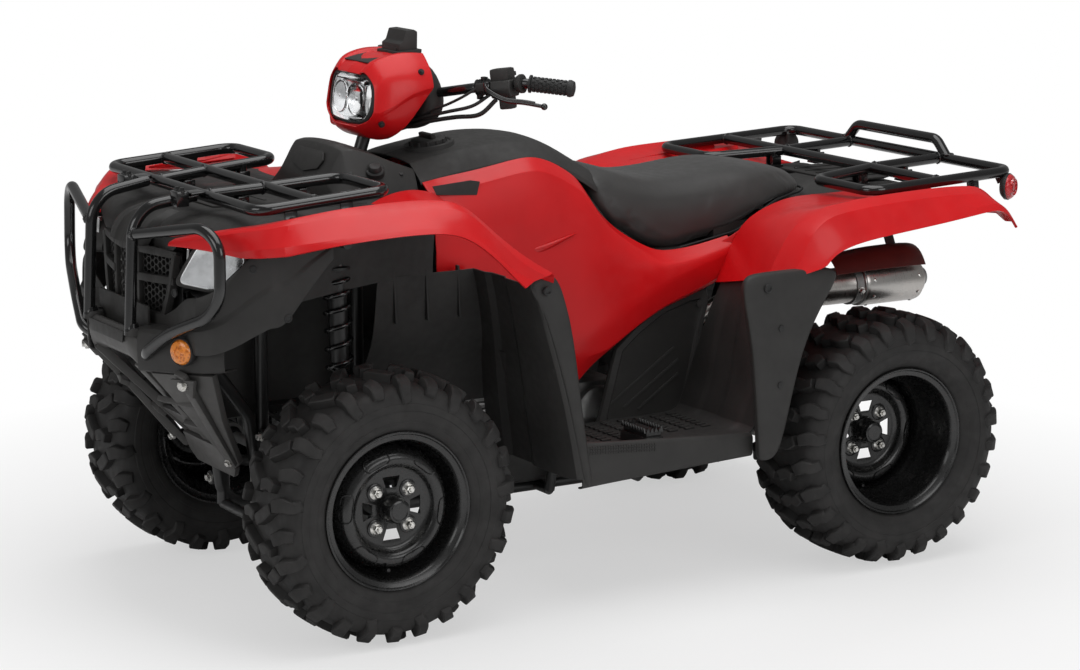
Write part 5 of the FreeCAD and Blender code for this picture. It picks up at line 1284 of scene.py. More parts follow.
def make_seat():
    # Rows along Y: z of the foot, the widest line, the shoulder and the crown, and the half width.
    table = [
        (44, 868, 896, 912, 924, 156), (62, 838, 880, 908, 925, 172), (90, 800, 858, 897, 920, 182),
        (124, 776, 846, 885, 911, 187),
        (180, 740, 826, 868, 893, 189), (237, 722, 812, 858, 881, 190), (300, 731, 806, 856, 879, 191),
        (380, 744, 808, 860, 885, 192),
        (445, 757, 814, 866, 892, 191), (500, 789, 828, 870, 895, 190), (555, 815, 838, 866, 889, 184),
        (605, 824, 840, 860, 880, 170),
        (650, 826, 838, 852, 866, 146), (684, 828, 834, 842, 850, 108),
    ]
    rings = []
    for y, foot, wide, shoulder, crown, x in table:
        half = [(0.88 * x, foot), (x, lerp(foot, wide, 0.35)), (x, wide), (0.94 * x, shoulder),
                (0.72 * x, lerp(shoulder, crown, 0.72)), (0.36 * x, crown)]
        ring = [(-a, b) for a, b in half] + [(a, b) for a, b in reversed(half)]
        rings.append([spot(a, y, b) for a, b in ring])
    shape = Shape().stack(rings)
    item = shape.make("seat_cushion", VINYL, 60, 2)
    bake(item)
    swollen(item, 6 * MM, SEAT_CAP)
    item.data.shade_smooth()
    ready(item, "seat")
    # Base lip that the cover is folded over.
    lip = []
    for y, foot, wide, shoulder, crown, x in table:
        lip.append(spot(0.9 * x + 3, y, foot + 1))
    for a in (60, 0):
        lip.append(spot(a, 692, 829))
    path = flowing_path([Vector((-p.x, p.y, p.z)) for p in lip[:-1]] + lip[::-1], 5)
    tube = Shape().tube(path, 3.2, 8)
    tube.piece("seat_lip", BOOT, 80)
    pan = Shape()
    pan.prism([spot(x, y, 700) for x, y in mirrored((188, 130), (190, 300), (190, 440))], Z_AXIS * 30 * MM,
              4)
    pan.prism([spot(x, y, 728) for x, y in mirrored((170, 380), (170, 560))], Z_AXIS * 50 * MM, 4)
    for y in (250, 380):
        for x in (-105, 105):
            pan.rod(spot(x, y, 704), spot(x, y, 726), 14)
    pan.piece("seat_pan", BLACK)


make_seat()


# Nose: grille, lamps, side covers, bumper and skid bars

NOSE_TIP_Y, NOSE_SIDE_Y, NOSE_HALF_X = -1040, -1000, 190
LAMP_SIZE = 102
lamp_shares = [(-0.50, -0.34), (-0.24, 0.50), (0.26, 0.54), (0.40, 0.12), (0.02, -0.50)]


def nose_y(x):
    # The grille is a shallow wedge in plan.
    return lerp(NOSE_TIP_Y, NOSE_SIDE_Y, min(abs(x) / NOSE_HALF_X, 1) ** 1.3)


def beam(start, end, across, width, depth, chamfer=2):
    # A straight bar of rectangular section; across lies along its width.
    start, end = Vector(start), Vector(end)
    run = (end - start).normalized()
    out = run.cross(Vector(across)).normalized()
    side = out.cross(run)
    turn = Matrix((side, run, out)).transposed().to_4x4()
    half = spot(width / 2, 0, depth / 2)
    block = Shape().box(-half, half + Y_AXIS * (end - start).length, chamfer)
    return block.moved(Matrix.Translation(start) @ turn)


def honeycomb(shape, x_range, z_range, cell, wall, depth, keep=None):
    column, x = 0, x_range[0]
    while x <= x_range[1]:
        z = z_range[0] + (cell * 0.866 if column % 2 else 0)
        while z <= z_range[1]:
            if keep is None or keep(x, z):
                y = nose_y(x) + 7
                slope = (nose_y(abs(x) + 1) - nose_y(abs(x))) * math.copysign(1, x)
                axis = Vector((-slope, 1, 0))
                shape.lathe(mm((0, cell + 0.3), (0, cell - wall), (depth, cell - wall),
                               (depth, cell + 0.3)), spot(x, y, z), axis, 6, closed=True)
            z += cell * 1.732
        column, x = column + 1, x + cell * 1.5


def nose_bar(shape, points, width, depth=14, proud=0):
    # A frame bar that follows the wedge through (x, z) points.
    path = [spot(x, nose_y(x) + 4 - proud, z) for x, z in points]
    for a, b in zip(path, path[1:]):
        run = (b - a).normalized()
        across = run.cross(Y_AXIS)
        shape.merge(beam(a - run * width * 0.3 * MM, b + run * width * 0.3 * MM, across, width, depth, 2.2))


def make_grille():
    mesh = Shape()
    honeycomb(mesh, (-44, 44), (702, 812), 11.5, 2.4, 9)
    side = Shape()
    honeycomb(side, (74, 170), (782, 812), 8.5, 1.9, 8, lambda x, z: x < 176 - (812 - z) * 0.1)
    honeycomb(side, (74, 160), (704, 752), 8.5, 1.9, 8, lambda x, z: x < 168 - (752 - z) * 0.35)
    mesh.merge(side.both_sides())
    mesh.piece("grille_mesh", BLACK, 30, node="grille")
    bars = Shape()
    nose_bar(bars, [(0, 826), (60, 826), (120, 826), (186, 826)], 15)
    nose_bar(bars, [(0, 688), (60, 688), (146, 690)], 14)
    nose_bar(bars, [(60, 690), (60, 824)], 13)
    nose_bar(bars, [(62, 767), (120, 768), (178, 770)], 17, proud=3)
    nose_bar(bars, [(146, 690), (168, 748), (186, 824)], 15, 16, 2)
    bars.pair("grille_frame", BLACK, 35)
    back = []
    for z in (682, 830):
        back.append([spot(x, nose_y(x) + 22, z) for x in (-176, -110, -55, 0, 55, 110, 176)])
    ready(panel("grille_back", back, CHASSIS_STEEL, wall=2, mirror=False, levels=1))
    # Slanted slats behind the centre mesh catch the light.
    slats = Shape()
    for z in (712, 738, 764, 790):
        slats.merge(beam(spot(-50, -1022, z), spot(50, -1022, z), (0, 0.5, 1), 16, 2.5, 1))
    slats.piece("grille_slats", CAST)


def make_side_covers():
    table = [
        # x, y, low, high
        (0, -1036, 648, 688), (90, -1026, 648, 690), (160, -1014, 648, 694), (215, -1012, 644, 716),
        (262, -1014, 638, 748),
        (304, -1008, 634, 752), (336, -984, 636, 766), (358, -950, 652, 800), (376, -912, 676, 846),
        (386, -880, 692, 868),
        (389, -848, 690, 877), (390, -800, 758, 879), (391, -735, 828, 880),
    ]
    rows = []
    for x, y, low, high in table:
        ease = min(x / 300, 1)
        row = []
        for share, bulge in ((0, 0.4), (0.10, 0.9), (0.42, 1.0), (0.52, 0.2), (0.92, 0.0), (1.0, -0.6)):
            out = 6 * bulge * ease
            row.append(spot(x + out * (0.8 if x > 300 else 0.1), y - out * (0.3 if x > 345 else 0.9),
                            lerp(low, high, share)))
        rows.append(row)
    item = panel("nose_side_covers", rows, BLACK, crease_rows=(2, 5, 9), crease_columns=(2, 3),
                 sharpness=0.75)
    ready(item, "front_side_covers")
    clips = Shape()
    for centre, outward in ((spot(378, -912, 817), (0.9, -0.42, 0)), (spot(393, -760, 850), (1, 0, 0)),
                            (spot(216, -1018, 752), (0.2, -1, 0)), (spot(396, -842, 710), (1, -0.1, 0))):
        clips.lathe(mm((-1, 9.5), (1.6, 9), (2.4, 6), (1.2, 5.6), (1.2, 2)), centre, outward, 24)
    clips.pair("cover_clips", BOOT)


LAMP_PLACE = spot(300, -962, 812)
LAMP_U = Vector((1, 1.3, 0)).normalized()
LAMP_V = Vector((0, 0.08, 1)).normalized()
LAMP_OUT = LAMP_U.cross(LAMP_V).normalized()


def lamp_ring(scale, deep):
    # The lens outline with softened corners, scaled about its middle and sunk by deep.
    stretch = LAMP_SIZE * MM * math.hypot(1, 1.3)
    mean_a, mean_c = -0.01, 0.06
    corners = [LAMP_PLACE + LAMP_U * stretch * (mean_a + (a - mean_a) * scale)
               + LAMP_V * LAMP_SIZE * MM * (mean_c + (c - mean_c) * scale) - LAMP_OUT * deep * MM
               for a, c in lamp_shares]
    ring = []
    count = len(corners)
    for i, corner in enumerate(corners):
        before, after = corners[i - 1], corners[(i + 1) % count]
        first, last = corner.lerp(before, 0.22), corner.lerp(after, 0.22)
        for step in range(7):
            share = step / 6
            ring.append(first.lerp(corner, share).lerp(corner.lerp(last, share), share))
    return ring


def make_headlamps():
    shell = Shape().stack([lamp_ring(*at) for at in ((1.0, 44), (1.05, 12), (1.07, 1), (1.04, -2),
                                                     (0.97, -2), (0.95, 3))], caps=False)
    shell.pair("lamp_bezels", BLACK, 40)
    bowl = Shape()
    bowl.stack([lamp_ring(*at) for at in ((0.955, 1), (0.93, 9), (0.90, 10), (0.74, 26), (0.50, 37),
                                          (0.30, 41), (0.12, 42))])
    centre = LAMP_PLACE + LAMP_V * 4 * MM
    bowl.lathe(mm((-36, 30), (-14, 36), (-12, 38), (-15, 38.5), (-37, 33)),
               centre, LAMP_OUT, 40, closed=True)
    for share in (-0.62, -0.5, -0.38, 0.36, 0.48):
        foot = centre + LAMP_U * LAMP_SIZE * MM * share
        bowl.merge(beam(foot - LAMP_V * 30 * MM - LAMP_OUT * 22 * MM,
                        foot + LAMP_V * 34 * MM - LAMP_OUT * 22 * MM, LAMP_U, 5, 12, 1.5))
    bowl.pair("lamp_bowls", REFLECTOR, 50, node="headlamps")
    # Painted shade: black strips inside the lamp stand in for the dark parts of the reflector's
    # reflections.
    shade = Shape()
    for a, b, wide in (((-0.5, -17), (0.52, 4), 3.5), ((-0.26, -30), (-0.06, 32), 3),
                       ((0.3, -16), (0.42, 30), 4)):
        ends = [centre + LAMP_U * LAMP_SIZE * MM * u + LAMP_V * v * MM - LAMP_OUT * 10 * MM
                for u, v in (a, b)]
        shade.merge(beam(*ends, LAMP_OUT, 16, wide, 1))
    shade.pair("lamp_shades", BLACK, 40)
    bulb = Shape()
    bulb.lathe(mm((-38, 9), (-24, 9), (-22, 7), (-10, 7.5), (-5, 6), (-3, 2)), centre, LAMP_OUT, 20)
    bulb.pair("lamp_bulbs", CAST, 50)
    lens = Shape().stack([lamp_ring(*at) for at in ((0.965, 0), (0.80, -4), (0.45, -7), (0.10, -8),
                                                    (0.10, -6), (0.45, -5), (0.80, -2), (0.965, 2))],
                         caps=False)
    lens.stack([lamp_ring(0.965, 2), lamp_ring(0.965, 0)], caps=False)
    # The middle of the lens, outside and inside.
    count = len(lamp_ring(1, 0))
    lens.faces += [[3 * count + i for i in range(count)][::-1], [4 * count + i for i in range(count)]]
    lens.pair("lamp_lenses", LENS, 60)
    disc_place, disc_out = spot(268, -1024, 636), Vector((0.45, -0.893, 0))
    amber = Shape()
    amber.lathe(mm((0, 27), (9, 27), (14, 24), (17, 18), (18.5, 9), (19, 1)), disc_place, disc_out, 40)
    across = Vector((-disc_out.y, disc_out.x, 0))
    for k in range(12):
        angle = math.tau * k / 12
        side = across * math.cos(angle) + Z_AXIS * math.sin(angle)
        amber.rod(disc_place + side * 20 * MM + disc_out * 14 * MM,
                  disc_place + side * 8 * MM + disc_out * 19 * MM, 1.6, sides=8)
    amber.pair("side_markers", AMBER, 30, node="reflectors")
    rim = Shape().lathe(mm((-4, 31), (8, 31), (10, 29.5), (10, 27.5), (-4, 27.5)),
                        disc_place, disc_out, 40, closed=True)
    rim.pair("marker_rims", BOOT, 40)


def make_bumper():
    table = [(0, -1082, 661, 600), (84, -1082, 661, 600), (110, -1080, 661, 592), (128, -1072, 652, 578),
             (140, -1060, 634, 571)]
    table = [(-x, *rest) for x, *rest in reversed(table[1:])] + table
    rings = []
    for x, y, top, low in table:
        lean = 0.0 if abs(x) < 112 else 1.0
        rings.append(spots((x, y + 36, top - 4), (x, y + 10, top), (x, y + 2, top - 6),
                           (x, y, lerp(top, low, 0.45)), (x, y + 8, low + 4), (x, y + 16, low),
                           (x - lean * 8 * math.copysign(1, x), y + 40, low - 18), (x, y + 44, low)))
    item = Shape().stack(rings).make("bumper_beam", GREY_PLASTIC, 35, 2)
    creases = item.data.attributes.new("crease_edge", "FLOAT", "EDGE")
    for edge in item.data.edges:
        if edge.vertices[0] % 8 == edge.vertices[1] % 8 and edge.vertices[0] % 8 in (1, 3, 5):
            creases.data[edge.index].value = 0.7
    bake(item)
    ready(item, "skid_plate")
    sides = []
    for x, y, top, low in ((134, -1070, 668, 574), (200, -1048, 672, 578), (262, -1018, 672, 584),
                           (318, -986, 664, 590), (334, -960, 656, 594)):
        sides.append(spots((x - 26, y + 34, top + 4), (x - 4, y + 6, top), (x, y, top - 8),
                           (x + 2, y - 3, (top + low) / 2), (x, y, low + 4), (x - 4, y + 6, low),
                           (x - 26, y + 40, low - 2)))
    ready(panel("bumper_sides", sides, BLACK, crease_columns=(1, 2, 4, 5), sharpness=0.7))
    tray = Shape()
    tray.box(spot(-132, -1044, 630), spot(132, -1038, 712), 1.5)
    tray.prism([spot(x, -1083, z) for x, z in mirrored((96, 656), (88, 630))], Y_AXIS * -3.5 * MM, 1.5)
    for x in (-112, 112):
        tray.lathe(mm((0, 24), (10, 23), (16, 20), (17, 15)), spot(x, -1065.5, 650), Z_AXIS, 32)
    tray.piece("bumper_tray", BLACK)
    bars = Shape()
    for bottom, top, wide, deep in (((58, -873, 392), (118, -1058, 590), 26, 20),
                                    ((150, -862, 352), (262, -1030, 588), 30, 14),
                                    ((96, -1004, 500), (214, -965, 500), 22, 12),
                                    ((66, -930, 430), (176, -905, 430), 24, 12)):
        bars.merge(beam(spot(*bottom), spot(*top), (1, 0.1, 0.1), wide, deep, 3))
    wing = spots((170, -1058, 576), (262, -1014, 582), (316, -982, 586), (250, -930, 470), (168, -856, 352),
                 (128, -850, 330))
    bars.prism(wing, spot(-8, 16, 4), 3)
    bars.prism(spots((232, -1034, 574), (290, -1004, 576), (256, -992, 530)),
               Vector((0.45, -0.89, 0)) * 12 * MM, 3)
    bars.both_sides()
    bars.prism(spots((-104, -866, 372), (104, -866, 372), (120, -842, 326), (96, -834, 303),
                     (-96, -834, 303), (-120, -842, 326)), spot(0, 12, 5), 3)
    bars.prism(spots((-60, -935, 446), (60, -935, 446), (72, -870, 384), (-72, -870, 384)), spot(0, 10, 4),
               3)
    bars.piece("skid_bars", GREY_PLASTIC)
    bolts = Shape()
    bolts.bolt(spot(262, -1026, 562), (0.45, -0.89, 0), 9, 7)
    bolts.bolt(spot(150, -872, 352), (0.2, -0.8, -0.5), 7, 6)
    bolts.pair("bumper_bolts", ZINC)


make_grille()
make_side_covers()
make_headlamps()
make_bumper()


# Handlebar head: nacelle, lamp, display, switches, levers and grips

HEAD_LOW, HEAD_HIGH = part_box("nacelle")
HEAD_HALF = HEAD_HIGH[0]
# Along the head: half width, low and high shares, as the solid's; then where the side crease runs.
head_shares = [
    (0.0, 0.86, 0.19, 0.80, 0.26), (0.06, 0.90, 0.15, 0.86, 0.27), (0.18, 0.95, 0.11, 0.93, 0.30),
    (0.40, 0.995, 0.055, 0.975, 0.40),
    (0.62, 1.0, 0.03, 1.0, 0.52), (0.82, 0.99, 0.03, 0.995, 0.57), (1.0, 0.965, 0.035, 0.98, 0.60),
]


def head_row(along, wide, low, high, crease):
    x = HEAD_HALF * wide
    base = lerp(HEAD_LOW[2], HEAD_HIGH[2], low)
    top = lerp(HEAD_LOW[2], HEAD_HIGH[2], high)
    front, rear = HEAD_LOW[1], HEAD_HIGH[1]
    row = []
    profile = [(0.0, 0.0), (0.46, 0.0), (0.86, 0.13), (0.955, crease - 0.035), (1.0, crease + 0.03),
               (0.97, 0.72), (0.86, 0.86), (0.62, 1.0), (0.50, 0.995), (0.45, 0.955), (0.0, 0.965)]
    for a, b in profile:
        # The rear edge leans forward toward its foot, the front leans back toward its top and its sides.
        lean = 78 * MM * max(0.62 - b, 0) / 0.62
        tuck = 20 * MM * max(b - 0.35, 0) + 16 * MM * a * a
        y = lerp(front + tuck * (1 - along), rear - lean, along)
        row.append(Vector((x * a, y, lerp(base, top, b))))
    return row


def lens_ring(scale, deep):
    # The lamp's window in the head's front: low, wide at its middle, cut back at its top corners.
    corners = [(-66, 1060), (66, 1060), (88, 1082), (94, 1118), (84, 1150), (58, 1162), (-58, 1162),
               (-84, 1150), (-94, 1118), (-88, 1082)]
    middle, ring = 1111, []
    for x, z in corners:
        x, z = x * scale, middle + (z - middle) * scale
        bow = 16 * (x / 94) ** 2 + 20 * max((z - 1080) / 128, 0)
        ring.append(spot(x, HEAD_LOW[1] / MM + 2 + bow + deep, z))
    return ring


def make_head():
    front = HEAD_LOW[1] / MM
    rows = [head_row(*share) for share in head_shares]
    item = panel("head_shell", rows, RED, crease_rows=(0,), crease_columns=(1, 3, 4, 7, 8, 9),
                 sharpness=0.78, rim=1.2)
    ready(item, "nacelle", body="steering")
    frame_piece = Shape()
    frame_piece.stack([lens_ring(*at) for at in ((1.16, 10), (1.20, 0), (1.17, -7), (1.04, -8), (1.0, 3),
                                                 (1.0, 24))], caps=False)
    frame_piece.piece("head_lamp_frame", BLACK, 30, 1, body="steering")
    red_front = []
    for scale, deep in ((1.14, 1), (1.27, -3), (1.36, 3)):
        ring = lens_ring(scale, deep)
        red_front.append([Vector((max(min(p.x, 0.118), -0.118), p.y, min(max(p.z, 1.035), 1.172)))
                          for p in ring + ring[:1]])
    ready(panel("head_front", red_front, RED, mirror=False, crease_rows=(0, 1), sharpness=0.7),
          body="steering")
    bowl = Shape()
    bowl.stack([lens_ring(*at) for at in ((1.0, 3), (0.95, 12), (0.78, 26), (0.55, 36), (0.3, 41))])
    for x in (-34, 34):
        bowl.lathe(mm((-34, 20), (-12, 31), (-10, 33), (-13, 34), (-36, 24)),
                   spot(x, front + 4, 1110), -Y_AXIS, 36, closed=True)
        bowl.lathe(mm((-36, 7), (-20, 7), (-15, 4), (-14, 1)), spot(x, front + 4, 1110), -Y_AXIS, 16)
    for x in (-74, -68, 68, 74):
        bowl.box(spot(x - 1.5, front + 14, 1082), spot(x + 1.5, front + 30, 1142), 0.8)
    for z in (1070, 1150):
        bowl.box(spot(-60, front + 14, z - 1.5), spot(60, front + 26, z + 1.5), 0.8)
    bowl.piece("head_lamp_bowl", REFLECTOR, 40, node="nacelle_lamp", body="steering")
    glass = Shape()
    glass.stack([lens_ring(*at) for at in ((1.0, 2), (0.99, -3), (0.7, -9), (0.2, -11))])
    glass.piece("head_lamp_glass", LENS, 50, body="steering")


def make_head_trim():
    # Dark inset between the two top ridges, rear cover, bolts and the display.
    inset = [[spot(x, y, z) for x in (0, 40, 57)] for y, z in ((-470, 1192), (-440, 1199), (-400, 1204),
                                                               (-352, 1203))]
    ready(panel("head_inset", inset, DARK_MATT, wall=3, levels=1, crease_rows=(0,)), body="steering")
    rear = Shape()
    rings = []
    for y, x, low, high in ((-362, 112, 1036, 1192), (-340, 118, 1030, 1196), (-318, 112, 1030, 1186),
                            (-298, 96, 1038, 1150), (-284, 70, 1050, 1112)):
        ring = []
        for a, b in ((-0.45, 0), (0.45, 0), (0.92, 0.2), (1, 0.5), (0.9, 0.85), (0.5, 1), (-0.5, 1),
                     (-0.9, 0.85), (-1, 0.5), (-0.92, 0.2)):
            ring.append(spot(x * a, y - 46 * max(0.4 - b, 0), lerp(low, high, b)))
        rings.append(ring)
    rear.stack(rings)
    rear.piece("head_rear_cover", BLACK, 60, 2, body="steering")
    bolts = Shape()
    for x, y, z, outward in ((122, -372, 1172, (1, 0, 0.5)), (118, -470, 1060, (1, -0.2, -0.4))):
        bolts.bolt(spot(x, y, z), outward, 5, 4)
    bolts.pair("head_bolts", BOOT, body="steering")
    pod = Shape()
    pod.prism([spot(-42, y, z) for y, z in ((-384, 1206), (-338, 1206), (-337, 1252), (-345, 1257),
                                            (-366, 1256), (-374, 1232), (-384, 1226))], X_AXIS * 84 * MM, 3)
    pod.box(spot(-30, -386, 1204), spot(30, -370, 1218), 2)
    pod.prism([spot(-50, y, z) for y, z in ((-392, 1200), (-332, 1200), (-330, 1214), (-392, 1210))],
              X_AXIS * 100 * MM, 3)
    pod.piece("display_pod", BLACK, node="display", body="steering")
    glass = Shape().box(spot(-34, -338, 1216), spot(34, -335.5, 1250), 1)
    glass.piece("display_glass", RIM_BLACK, body="steering")
    keys = Shape()
    for x in (-24, 0, 24):
        keys.box(spot(x - 6, -335, 1203), spot(x + 6, -330, 1209), 1.5)
    keys.piece("display_keys", BOOT, body="steering")


# The bar's outer straight, from its bend to the grip's root
BAR_BEND, GRIP_ROOT, GRIP_END = spot(205, -293, 1139), spot(320, -222, 1157), spot(388, -150, 1148)
BAR_RUN = (GRIP_ROOT - BAR_BEND).normalized()


def bar_matrix(share):
    # Local axes on the bar: along it, ahead of it and above it.
    ahead = Vector((BAR_RUN.y, -BAR_RUN.x, 0)).normalized()
    turn = Matrix((BAR_RUN, ahead, ahead.cross(BAR_RUN))).transposed().to_4x4()
    return Matrix.Translation(BAR_BEND.lerp(GRIP_ROOT, share)) @ turn


def local(shape, share):
    return shape.moved(bar_matrix(share))


def make_controls():
    length, profile = 34, [(0, 13)]
    for k in range(5):
        along = length * (k + 0.5) / 5
        profile += [(along - 2.4, 14), (along, 18.5), (along + 2.4, 14)]
    boots = local(Shape().lathe(mm(*profile, (length, 13)), (0, 0, 0), X_AXIS, 24), 0.10)
    boots.pair("bar_boots", BOOT, 50, body="steering")
    body = Shape()
    body.merge(local(Shape().prism(spots((-27, -20, 12), (-27, 24, 12), (-27, 30, -6), (-27, 24, -26),
                                         (-27, -16, -26), (-27, -24, -8)), X_AXIS * 50 * MM, 5, 3), 0.64))
    for low, high, ease, share in (((-25, -16, 8), (21, 20, 38), 6, 0.62),
                                   ((-18, -26, 14), (6, -12, 30), 3, 0.62),
                                   ((-16, -8, -52), (16, 18, -20), 5, 0.66),
                                   ((-62, 4, -8), (-24, 24, 10), 4, 0.62)):
        body.merge(local(Shape().box(spot(*low), spot(*high), ease), share))
    body.lathe(mm((-4, 17), (4, 21), (10, 21), (12, 17)), BAR_BEND.lerp(GRIP_ROOT, 0.88), BAR_RUN, 32)
    body.pair("switch_boxes", BLACK, 40, node="controls", body="steering")
    keys = Shape()
    keys.merge(local(Shape().rod(spot(-8, -20, 22), spot(-8, -31, 22), 6, chamfer=1.5), 0.62))
    keys.merge(local(Shape().box(spot(6, -27, 18), spot(18, -15, 28), 2.5), 0.62))
    keys.merge(local(Shape().box(spot(-8, -26, -14), spot(12, -20, -4), 2), 0.64))
    keys.pair("switch_keys", BOOT, body="steering")
    red_key = local(Shape().rod(spot(-8, -29, 22), spot(-8, -33.5, 22), 4, chamfer=1), 0.62)
    red_key.piece("stop_key", ACCENT_RED, body="steering")
    levers = local(Shape().rod(spot(-32, 22, -12), spot(-32, 22, 12), 8, chamfer=1), 0.62)
    root = bar_matrix(0.62) @ spot(-32, 24, 0)
    path = flowing_path([root, spot(276, -290, 1138), spot(316, -272, 1122), spot(352, -242, 1118),
                         spot(386, -214, 1112)], 6)
    radii = [lerp(5.5, 4.2, i / (len(path) - 1)) for i in range(len(path))]
    levers.tube(path, radii, 12)
    levers.tube([p + Vector((0, 0, 4 * MM)) for p in path[3:-3]], 3.6, 10)
    levers.ball(path[-1], 7.5 * MM)
    levers.pair("levers", TUBE_STEEL, 50, body="steering")
    grip_run = (GRIP_END - GRIP_ROOT).normalized()
    length = (GRIP_END - GRIP_ROOT).length
    start = GRIP_ROOT + grip_run * length * 0.08
    grips = Shape()
    run = length / MM
    grips.lathe(mm((0, 13), (1, 19.5), (5, 20), (7, 15), (run - 14, 15), (run - 12, 18.5), (run - 6, 19),
                   (run + 1, 16), (run + 3, 9)), start, grip_run, 32)
    side = grip_run.cross(Z_AXIS).normalized()
    other = grip_run.cross(side)
    columns, lines = 10, 9
    for line in range(lines):
        along = lerp(12 * MM, length - 19 * MM, line / (lines - 1))
        for column in range(columns):
            angle = math.tau * (column + 0.5 * (line % 2)) / columns
            out = side * math.cos(angle) + other * math.sin(angle)
            across = grip_run.cross(out)
            middle = start + grip_run * along + out * 14 * MM
            grips.merge(beam(middle - grip_run * 3.1 * MM, middle + grip_run * 3.1 * MM, across, 7.2, 6, 1))
    grips.pair("grip_sleeves", GRIP, 35, node="grips", body="steering")
    cables = Shape()
    for points, radius in (
        ([(246, -268, 1128), (222, -300, 1102), (170, -332, 1086), (110, -356, 1070), (56, -384, 1052),
          (28, -412, 1036)], 4),
        ([(262, -262, 1118), (236, -290, 1084), (180, -320, 1074), (116, -350, 1060), (58, -382, 1042),
          (32, -410, 1026)], 5),
        ([(238, -296, 1144), (214, -316, 1124), (176, -334, 1104), (130, -348, 1086), (84, -352, 1060)],
         3.2),
    ):
        cables.tube(flowing_path(spots(*points)), radius, 10)
    cables.pair("bar_cables", BOOT, 70, body="steering")
    clips = Shape()
    for x, y, z, across in ((232, -275, 1160, 7), (226, -282, 1124, 6)):
        clips.box(spot(x - across, y - 6, z - 8), spot(x + across, y + 6, z + 6), 2)
    clips.pair("bar_connectors", BOOT, body="steering")
    riser = Shape()
    for x in (-34, 34):
        riser.box(spot(x - 13, -338, 1100), spot(x + 13, -298, 1140), 4)
        for y in (-331, -305):
            riser.bolt(spot(x, y, 1140), Z_AXIS, 5, 6)
    riser.piece("bar_clamps", CAST, body="steering")


make_head()
make_head_trim()
make_controls()


# Footwells, flaps, arch liners and engine covers


def blade(rows, inner, thick):
    # A rounded upright flap: each row is z, front y, rear y, outer x.
    shape, rings = Shape(), []
    for z, front, rear, outer in rows:
        width = rear - front
        ease = min(6, width * 0.3)
        rings.append(spots((outer - thick, front + 2, z), (outer - ease, front, z),
                           (outer, front + ease, z), (outer + 1.5, (front + rear) / 2, z),
                           (outer, rear - ease, z), (outer - ease, rear, z), (outer - thick, rear - 2, z),
                           (inner, rear - 4, z), (inner, front + 4, z)))
    return shape.stack(rings)


def clip(shape, centre, outward, lean=0.0):
    # A U-shaped push clip.
    out = Vector(outward).normalized()
    side = out.cross(Z_AXIS).normalized()
    up = side.cross(out)
    path = []
    for step in range(13):
        angle = math.radians(200 + 235 * step / 12 + lean)
        path.append(Vector(centre) + (side * math.cos(angle) + up * math.sin(angle)) * 8 * MM
                    + out * 1.5 * MM)
    shape.tube(path, 2.4, 8)
    shape.lathe(mm((0, 10.5), (1, 10), (0.4, 2)), centre, out, 24)


def make_flaps():
    front = blade([
        (768, -292, -268, 508), (764, -318, -262, 513), (742, -330, -248, 519), (712, -309, -240, 522),
        (676, -292, -230, 524),
        (630, -276, -220, 524), (578, -260, -212, 525), (520, -243, -204, 525), (450, -226, -194, 525),
        (390, -214, -184, 525),
        (340, -203, -176, 525), (306, -195, -170, 524), (288, -187, -172, 521),
    ], 505, 14)
    item = front.both_sides().make("front_flaps", BLACK, 60, 2)
    bake(item)
    ready(item, "footwells")
    rear = blade([
        (728, 236, 420, 550), (720, 212, 454, 556), (704, 200, 460, 559), (672, 203, 440, 560),
        (620, 214, 404, 560),
        (560, 226, 374, 560), (500, 232, 354, 560), (440, 238, 338, 560), (390, 242, 326, 560),
        (340, 246, 312, 560),
        (312, 248, 302, 558), (296, 256, 284, 554),
    ], 528, 16)
    item = rear.both_sides().make("rear_flaps", BLACK, 60, 2)
    bake(item)
    ready(item)
    clips = Shape()
    clip(clips, spot(526, -290, 736), (1, 0, 0))
    clip(clips, spot(562, 262, 694), (1, 0, 0), -30)
    for z in (600, 470):
        clips.lathe(mm((0, 8), (2, 7.5), (2.6, 2)), spot(561.5, 300, z), X_AXIS, 20)
    clips.pair("flap_clips", BOOT)


